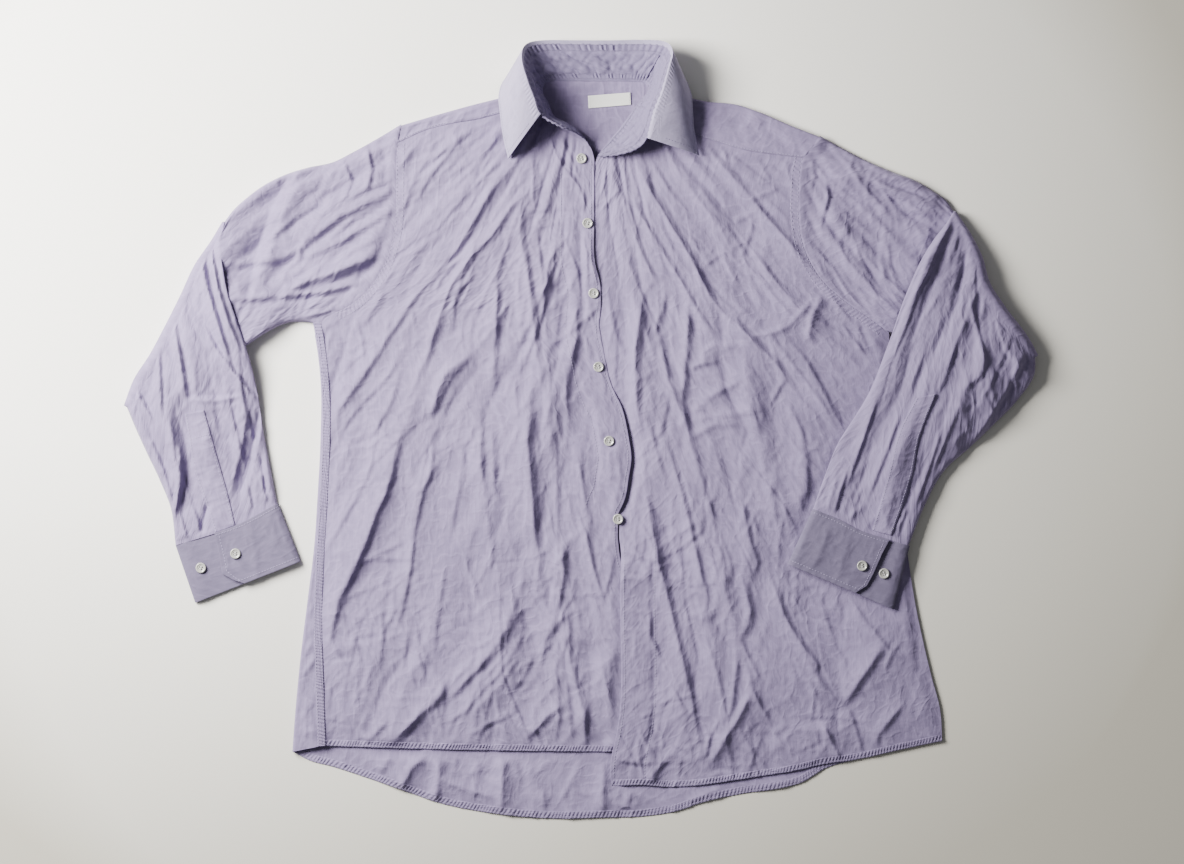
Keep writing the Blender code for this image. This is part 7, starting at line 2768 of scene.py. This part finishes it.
@dataclass
class Collar:
    """The collar: a stand round the neck and a leaf turned down from it."""

    rows: tuple[CollarRow, ...]
    steps: int = 300
    stand_steps: int = 22
    roll_steps: int = 5
    leaf_steps: int = 40
    cloth: float = 1.3

    def stand(self, neck: np.ndarray, top: np.ndarray) -> np.ndarray:
        """Raises the stand from the neck's seam.

        Args:
            neck: The seam.
            top: The stand's top.

        Returns:
            Rows up the stand, a column for each place round the neck.
        """
        up = top - neck
        tall = np.linalg.norm(up, axis=1)[:, None]
        outward = unit(np.cross(np.gradient(neck, axis=0), up / tall))
        share = np.concatenate([[-0.045], spread(self.stand_steps)])[:, None, None]
        along = run_lengths((neck + top) / 2)[None]
        belly = self.gathers(along, share[..., 0])[..., None] * np.minimum(tall / 30.0, 1.0)
        return neck + up * share + outward * belly

    def leaf(self, neck: np.ndarray, top: np.ndarray) -> np.ndarray:
        """Turns the leaf down from the top of the stand.

        Args:
            neck: The stand's seam.
            top: The stand's top.

        Returns:
            Rows down the leaf, the roll over the stand first.
        """
        count = len(self.rows)
        held = [(i, row) for i, row in enumerate(self.rows) if row.edge is not None]
        around = np.linspace(held[0][0], held[-1][0], self.steps)
        at = np.linspace(0, count - 1, self.steps)
        edge = blend(around, [i for i, _ in held], [row.edge for _, row in held])
        bend = np.interp(around, range(count), [row.bend for row in self.rows])[:, None]
        foot = read_along(top, at, around)
        lift = read_along(unit(top - neck), at, around)
        start = foot + lift * LEAF_RISE
        plan = start[:, :2] + (edge[:, :2] - start[:, :2]) * bend
        turn = with_height(plan, edge[:, 2] + (start[:, 2] - edge[:, 2]) * bend[:, 0])
        roll = foot - lift + (start - foot + lift) * spread(self.roll_steps)[:-1, None, None]
        t = spread(self.leaf_steps)[:, None, None]
        leaf = (1 - t) ** 2 * start + 2 * t * (1 - t) * turn + t**2 * edge
        down = t[..., 0]
        wave = 0.55 * smooth_noise(np.linspace(0, 9, self.steps)[None] + 0 * down, 2.2 * down, 43)
        wave = wave * np.sin(math.pi * np.minimum(down * 1.2, 1.0))
        leaf[..., 2] += wave * smooth_step(edge[None, :, 2] / 4 - 0.5)
        beside = run_lengths(start)[None]
        pucker = np.sin(2 * math.pi * beside / 3.7 + 2.0 * smooth_noise(beside / 20.0, 0.5 + 0 * beside, 45))
        at_fold = smooth_step(down / 0.03) * (1 - smooth_step((down - 0.07) / 0.05))
        leaf[..., 2] += 0.42 * pucker * at_fold
        return np.concatenate([roll, leaf])

    def gathers(self, along: np.ndarray, share: np.ndarray) -> np.ndarray:
        """How far the stand's cloth stands off its plain form.

        Args:
            along: Millimetres round the neck.
            share: From 0 at the neck's seam to 1 at the top.

        Returns:
            Millimetres outward, in rows up the stand.
        """
        wide = 2.4 * (crest(along / 24.0 + 1.3 * share, 1.8 * share + 0.3, 41, 2.4) - 0.4)
        fine = 1.2 * (crest(along / 9.0 - 2.2 * share, 3.0 * share + 0.6, 42, 2.6) - 0.4)
        inner = smooth_step((share - 0.14) / 0.08) * (1 - smooth_step((share - 0.72) / 0.08))
        drift = 1.4 * smooth_noise(along / 17.0, 0.5 + 0 * along, 44)
        uneven = 0.75 + 0.5 * smooth_noise(along / 12.0, 2.5 + 0 * along, 46)
        in_band = smooth_step((share - 0.78) / 0.04) * (1 - smooth_step((share - 0.95) / 0.05))
        top_band = in_band * (0.4 + 1.1 * uneven * np.sin(2 * math.pi * along / 5.0 + drift))
        at_seam = smooth_step(share / 0.03) * (1 - smooth_step((share - 0.16) / 0.04))
        neck_band = at_seam * (0.5 + 0.8 * uneven * np.sin(2 * math.pi * along / 4.2 - drift))
        return (wide + fine) * inner + top_band + neck_band

    def build(self, wardrobe: Wardrobe) -> None:
        """Builds the stand and the leaf with their stitching.

        Args:
            wardrobe: The materials.
        """
        count = len(self.rows)
        at = np.linspace(0, count - 1, self.steps)
        neck = blend(at, range(count), [row.neck for row in self.rows])
        top = blend(at, range(count), [row.top for row in self.rows])
        stand, leaf = self.stand(neck, top), self.leaf(neck, top)
        for name, grid, finish, lines, flat in (
            ("collar_stand", stand, wardrobe.stand, self.stand_lines(stand), (0.40, 0.036)),
            ("collar_leaf", leaf, wardrobe.leaf, self.leaf_lines(leaf), (0.42, 0.055)),
        ):
            mesh = ClothMesh(f"{name}_cloth")
            mesh.add(grid)
            piece = worn(thickened(mesh.built(finish), self.cloth, rounded=True), Slot.STIFFENED, name)
            rows = [Stitches(line) for line in lines]
            pieces = [sewn(name, rows, wardrobe.thread, Slot.STIFFENED)]
            if name == "collar_stand":
                pieces.append(self.tab(grid, wardrobe))

    def tab(self, stand: np.ndarray, wardrobe: Wardrobe) -> bpy.types.Object:
        """Builds the small stitched tab inside the stand.

        Args:
            stand: The stand's grid.
            wardrobe: The materials.

        Returns:
            The tab.
        """
        middle = stand[len(stand) // 2]
        on_back = (middle[:, 0] > TAB_FROM) & (middle[:, 0] < TAB_TO) & (middle[:, 1] < 80)
        cloth = stand[3:-6, np.flatnonzero(on_back)] + (-0.4, 0.4, 1.5)
        mesh = ClothMesh("collar_tab")
        mesh.add(cloth)
        tab = worn(thickened(mesh.built(wardrobe.stand), 0.9, rounded=True), Slot.STIFFENED)
        rows = []
        for row in (1, len(cloth) // 2, -2):
            rows.append(Stitches(curve(cloth[row], spread(20)) + (0.0, 0.0, 0.55), 2.4, 1.8))
        sewn("collar_tab", rows, wardrobe.thread, Slot.STIFFENED, tab)
        return tab

    @staticmethod
    def outward(grid: np.ndarray) -> np.ndarray:
        """The way that each place of a grid faces."""
        return unit(np.cross(np.gradient(grid, axis=1), np.gradient(grid, axis=0)))

    def stand_lines(self, grid: np.ndarray) -> list[np.ndarray]:
        """Draws the stand's lines of stitching, just off the cloth.

        Args:
            grid: The stand.

        Returns:
            The lines.
        """
        off = grid + self.outward(grid) * 0.75
        return [curve(off[row], spread(360)) for row in (2, 5, -6)]

    def leaf_lines(self, grid: np.ndarray) -> list[np.ndarray]:
        """Draws the leaf's lines of stitching on the side that shows.

        Args:
            grid: The leaf.

        Returns:
            The lines.
        """
        out = self.outward(grid)
        off = grid + out * np.sign(out[..., 2:] + 1e-6) * 0.78
        lines = [curve(off[-5], spread(360))]
        for column in (5, -6):
            lines.append(curve(off[self.roll_steps + 8 : -4, column], spread(80)))
        return lines


@dataclass
class NeckLabel:
    """The label in the neck: a bare ribbon sewn down at both ends."""

    corners: Plan = LABEL_CORNERS
    steps: tuple[int, int] = (60, 18)

    def build(self, yoke: bpy.types.Object, wardrobe: Wardrobe) -> bpy.types.Object:
        """Builds the label on the yoke.

        Args:
            yoke: What it is sewn on.
            wardrobe: The materials.

        Returns:
            The label.
        """
        a, b, c, d = (np.asarray(corner, float) for corner in self.corners)
        s = spread(self.steps[0])[:, None]
        upper, lower = a * (1 - s) + b * s, d * (1 - s) + c * s
        plan = np.stack([upper * (1 - t) + lower * t for t in spread(self.steps[1])], 1)
        grid = Surface(yoke).drape(plan, 0.75)
        flattened = np.maximum(grid[..., 2], np.median(grid[..., 2]) - 0.5)
        grid[..., 2] = flattened + 0.25 * np.sin(math.pi * s) ** 0.5
        mesh = ClothMesh("neck_label_ribbon")
        mesh.add(grid)
        label = worn(thickened(mesh.built(wardrobe.ribbon), 0.6, rounded=True), Slot.LABEL, "neck_label")
        rows = []
        for row in (2, -3):
            rows.append(Stitches(curve(grid[row, 1:-1], spread(20)) + (0.0, 0.0, 0.35), 2.2, 1.6, 0.4))
        stitches = sewn("neck_label", rows, wardrobe.white_thread, Slot.LABEL)
        return label


@dataclass
class ShirtButton:
    """A four-holed pearl button with its thread."""

    hole: float = 0.85
    hole_from_middle: float = 1.55
    profile: Plan = (
        (0.0, 0.0), (4.4, 0.0), (5.0, 0.35), (5.25, 1.0), (5.15, 1.6), (4.85, 2.05), (4.4, 2.2), (3.95, 2.1),
        (3.5, 1.65), (3.0, 1.45), (0.0, 1.4),
    )
    sides: int = 40
    hole_sides: int = 12
    seat_reach: float = 4.5
    thread_radius: float = 0.2
    shape: bpy.types.Mesh | None = field(default=None, repr=False)

    @staticmethod
    def ring(
        form: bmesh.types.BMesh, middle: tuple[float, float], radius: float, height: float, sides: int,
    ) -> list[bmesh.types.BMVert]:
        """Adds a ring of points.

        Args:
            form: What it is added to.
            middle: Its middle, in millimetres.
            radius: Its radius.
            height: Its height.
            sides: How many points it has.

        Returns:
            The points.
        """
        points = []
        for a in (2 * math.pi * i / sides for i in range(sides)):
            x = middle[0] * MM + radius * MM * math.cos(a)
            y = middle[1] * MM + radius * MM * math.sin(a)
            points.append(form.verts.new((x, y, height * MM)))
        return points

    @staticmethod
    def meshed(form: bmesh.types.BMesh, name: str) -> bpy.types.Mesh:
        """Makes a mesh of a form and frees the form.

        Args:
            form: The form.
            name: The mesh's name.

        Returns:
            The mesh.
        """
        bmesh.ops.recalc_face_normals(form, faces=form.faces)
        mesh = bpy.data.meshes.new(name)
        form.to_mesh(mesh)
        form.free()
        return mesh

    def disc(self, wardrobe: Wardrobe) -> bpy.types.Mesh:
        """Turns the profile and drills the four holes, once for all buttons.

        Args:
            wardrobe: The materials.

        Returns:
            The button's mesh.
        """
        form = bmesh.new()
        rings = []
        for radius, height in self.profile:
            if radius == 0.0:
                rings.append([form.verts.new((0.0, 0.0, height * MM))])
            else:
                rings.append(self.ring(form, (0.0, 0.0), radius, height, self.sides))
        for low, high in zip(rings, rings[1:]):
            for i in range(self.sides):
                face = [low[i % len(low)], low[(i + 1) % len(low)]]
                face += [high[(i + 1) % len(high)], high[i % len(high)]]
                form.faces.new(list(dict.fromkeys(face)))
        disc = bpy.data.objects.new("button_disc", self.meshed(form, "button_disc"))
        drills = bpy.data.objects.new("button_drills", self.drills())
        for thing in (disc, drills):
            bpy.context.scene.collection.objects.link(thing)
        cut = disc.modifiers.new("Holes", "BOOLEAN")
        cut.operation, cut.solver, cut.object = "DIFFERENCE", "EXACT", drills
        bpy.context.view_layer.update()
        shape = bpy.data.meshes.new_from_object(disc.evaluated_get(bpy.context.evaluated_depsgraph_get()))
        shape.shade_smooth()
        shape.set_sharp_from_angle(angle=math.radians(50))
        shape.materials.clear()
        shape.materials.append(wardrobe.pearl)
        for thing in (disc, drills):
            bpy.data.objects.remove(thing, do_unlink=True)
        return shape

    def drills(self) -> bpy.types.Mesh:
        """Makes four round bars where the holes go.

        Returns:
            Their mesh.
        """
        form = bmesh.new()
        for number in range(4):
            angle = math.pi / 4 + number * math.pi / 2
            middle = (self.hole_from_middle * math.cos(angle), self.hole_from_middle * math.sin(angle))
            low = self.ring(form, middle, self.hole, -1.0, self.hole_sides)
            high = self.ring(form, middle, self.hole, 4.0, self.hole_sides)
            for i in range(self.hole_sides):
                form.faces.new((low[i - 1], low[i], high[i], high[i - 1]))
            form.faces.new(low)
            form.faces.new(high)
        return self.meshed(form, "button_drills")

    def build(self, node: str, surface: Surface, turn: float, wardrobe: Wardrobe) -> bpy.types.Object:
        """Builds one button where its solid is.

        Args:
            node: The solid that it stands for.
            surface: The cloth that it is sewn on.
            turn: How far its holes are turned.
            wardrobe: The materials.

        Returns:
            The button.
        """
        if self.shape is None:
            self.shape = self.disc(wardrobe)
        low, high = (np.array(corner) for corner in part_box(node))
        middle = (low + high) / 2
        u, v = TABLE_MIDDLE_U + middle[0] / MM, TABLE_MIDDLE_V - middle[1] / MM
        turns = np.linspace(0, 2 * math.pi, 12)
        around = [(u + self.seat_reach * math.cos(a), v + self.seat_reach * math.sin(a)) for a in turns]
        seat = min(max([surface.height(*spot) for spot in around]), low[2] / MM + 0.4)
        button = bpy.data.objects.new(f"{node}_pearl", self.shape)
        button.location = (middle[0], middle[1], seat * MM)
        button.rotation_euler = (0.0, 0.0, turn)
        bpy.context.scene.collection.objects.link(button)
        worn(button, Slot.PEARL, node)
        worn(self.thread(f"{node}_thread", np.array((u, v)), seat, turn, wardrobe), Slot.CLOTH)
        return button

    def thread(
        self, name: str, middle: np.ndarray, seat: float, turn: float, wardrobe: Wardrobe,
    ) -> bpy.types.Object:
        """Draws two bars of thread through each pair of holes.

        Args:
            name: The thread's name.
            middle: The button's middle, in plan.
            seat: The height that the button lies at.
            turn: How far its holes are turned.
            wardrobe: The materials.

        Returns:
            The thread.
        """
        mesh = ClothMesh(name)
        shares = spread(6)
        height = seat + 1.25 + 0.75 * np.sin(math.pi * shares)
        for start in (math.pi / 4 - turn, math.pi / 4 + math.pi - turn):
            first, second = (
                middle + self.hole_from_middle * np.array((math.cos(a), math.sin(a)))
                for a in (start, start + math.pi / 2)
            )
            way = (second - first) / np.linalg.norm(second - first)
            for aside in (-0.16, 0.16):
                line = first + np.outer(shares, second - first) + np.array((-way[1], way[0])) * aside
                self.bar(mesh, with_height(line, height))
        return mesh.built(wardrobe.white_thread)

    def bar(self, mesh: ClothMesh, line: np.ndarray) -> None:
        """Adds a thin round bar of thread.

        Args:
            mesh: What it is added to.
            line: Its middle line.
        """
        way = unit(np.gradient(line, axis=0))
        side = unit(np.cross(way, UP))
        up = np.cross(side, way)
        turns = np.linspace(0, 2 * math.pi, 7)
        round_it = [side * math.cos(a) + up * math.sin(a) for a in turns]
        mesh.add(np.stack([line + self.thread_radius * away for away in round_it], 1))


@dataclass
class Stage:
    """The pale board, the window's soft light from the upper left and the camera above."""

    camera_height: float = 5.0
    sensor: float = 36.0
    window_power: float = 84.0
    window_size: tuple[float, float] = (0.75, 0.6)
    window_colour: tuple[float, float, float] = (1.0, 0.985, 0.955)
    window_place: tuple[float, float, float] = (-1.0, 0.5, 0.8)
    window_target: tuple[float, float, float] = (0.05, 0.0, 0.0)
    room_light: float = 0.21
    room_colour: tuple[float, float, float, float] = (0.93, 0.95, 1.0, 1.0)
    board_level: float = -0.15

    def build(self, wardrobe: Wardrobe) -> None:
        """Sets the board, the light and the camera.

        Args:
            wardrobe: The materials.
        """
        mesh = ClothMesh("board")
        corners = [[(u, v, self.board_level) for u in (-9000, 581, 10000)] for v in (-9000, 430, 10000)]
        mesh.add(np.array(corners, float))
        mesh.built(wardrobe.board)
        window = bpy.data.objects.new("window", bpy.data.lights.new("window", "AREA"))
        window.data.shape = "RECTANGLE"
        window.data.size, window.data.size_y = self.window_size
        window.data.energy = self.window_power
        window.data.color = self.window_colour
        window.location = self.window_place
        way = Vector(self.window_target) - window.location
        window.rotation_euler = way.to_track_quat("-Z", "Y").to_euler()
        world = bpy.data.worlds.new("room")
        world.use_nodes = True
        room = world.node_tree.nodes["Background"]
        room.inputs["Color"].default_value = self.room_colour
        room.inputs["Strength"].default_value = self.room_light
        bpy.context.scene.world = world
        camera = bpy.data.objects.new("camera", bpy.data.cameras.new("camera"))
        camera.data.sensor_width = self.sensor
        camera.data.lens = self.sensor * self.camera_height / (PHOTO_WIDTH * MM)
        x, y = PHOTO_WIDTH / 2 - TABLE_MIDDLE_U, TABLE_MIDDLE_V - PHOTO_HEIGHT / 2
        camera.location = (x * MM, y * MM, self.camera_height)
        camera.data.clip_end = 30.0
        for thing in (window, camera):
            bpy.context.scene.collection.objects.link(thing)
        bpy.context.scene.camera = camera


def main() -> None:
    """Builds the shirt and what it lies on, in order."""
    logging.basicConfig(level=logging.INFO, format="%(name)s: %(message)s")
    wardrobe = Wardrobe.filled()
    Stage().build(wardrobe)
    BackPanel(Crumple(211, (600.0, 300.0), 90, 0.7), Crumple(223, (330.0, 200.0), 60, 0.55)).build(wardrobe)
    yoke_form = Yoke(Crumple(307, (592.0, -200.0), 110, 0.85))
    yoke = yoke_form.build(wardrobe)
    fronts = []
    for side, rolls, creases, seed, hem in (
        (Side.LEFT, FRONT_LEFT_FOLDS, FRONT_LEFT_CREASES, 11, HEM_FRONT_LEFT),
        (Side.RIGHT, FRONT_RIGHT_FOLDS, FRONT_RIGHT_CREASES, 23, HEM_FRONT_RIGHT),
    ):
        crumple = Crumple(seed, (592.0, 40.0), 620, 0.95)
        fronts.append(FrontPanel(side, rolls, creases, crumple, hem).build(wardrobe))

    def body_height(u: np.ndarray, v: np.ndarray) -> np.ndarray:
        """Works out the fronts or the yoke beside an armhole.

        Args:
            u: Places to the right.
            v: Places down the table.

        Returns:
            The height at each place.
        """
        on_yoke = 1 - smooth_step((v - 143) / 14)
        return front_level(u, v) * (1 - on_yoke) + yoke_form.over_height(u, v) * on_yoke + OVER_SOLID

    left_crumple = Crumple(401, (520.0, 60.0), 250, 1.3)
    right_crumple = Crumple(503, (700.0, 60.0), 250, 1.35)
    sleeves = {}
    for side, cut, upper, fore, crumple, fore_flow in (
        (Side.LEFT, SLEEVE_LEFT, UPPER_LEFT_CREASES, FORE_LEFT_CREASES, left_crumple, (150.0, -50.0)),
        (Side.RIGHT, SLEEVE_RIGHT, UPPER_RIGHT_CREASES, FORE_RIGHT_CREASES, right_crumple, (1000.0, 80.0)),
    ):
        sleeves[side] = Sleeve(side, cut, upper, fore, crumple, fore_flow, body_height).build(wardrobe)
    for side, edges, cross_stitch in (
        (Side.LEFT, PLACKET_LEFT, ((190.5, 440), (200, 437), (211, 434))),
        (Side.RIGHT, PLACKET_RIGHT, ((897.5, 434), (907, 437), (917, 440))),
    ):
        SleevePlacket(side, edges, cross_stitch).build(sleeves[side], wardrobe)
    cuffs = [
        Cuff(Side.LEFT, CUFF_LEFT, CUFF_LEFT_CREASES, 601).build(wardrobe),
        Cuff(Side.RIGHT, CUFF_RIGHT, CUFF_RIGHT_CREASES, 607).build(wardrobe),
    ]
    Collar(COLLAR_ROWS).build(wardrobe)
    NeckLabel().build(yoke, wardrobe)
    button = ShirtButton()
    on_fronts, on_cuffs = Surface(*fronts), Surface(*cuffs)
    for number in range(1, len(FRONT_BUTTONS) + 1):
        button.build(f"front_button_{number}", on_fronts, 0.35 * math.sin(number * 2.1), wardrobe)
    for number in range(1, len(CUFF_BUTTONS) + 1):
        button.build(f"cuff_button_{number}", on_cuffs, 0.4 * math.cos(number * 1.7), wardrobe)


if __name__ == "__main__":
    main()
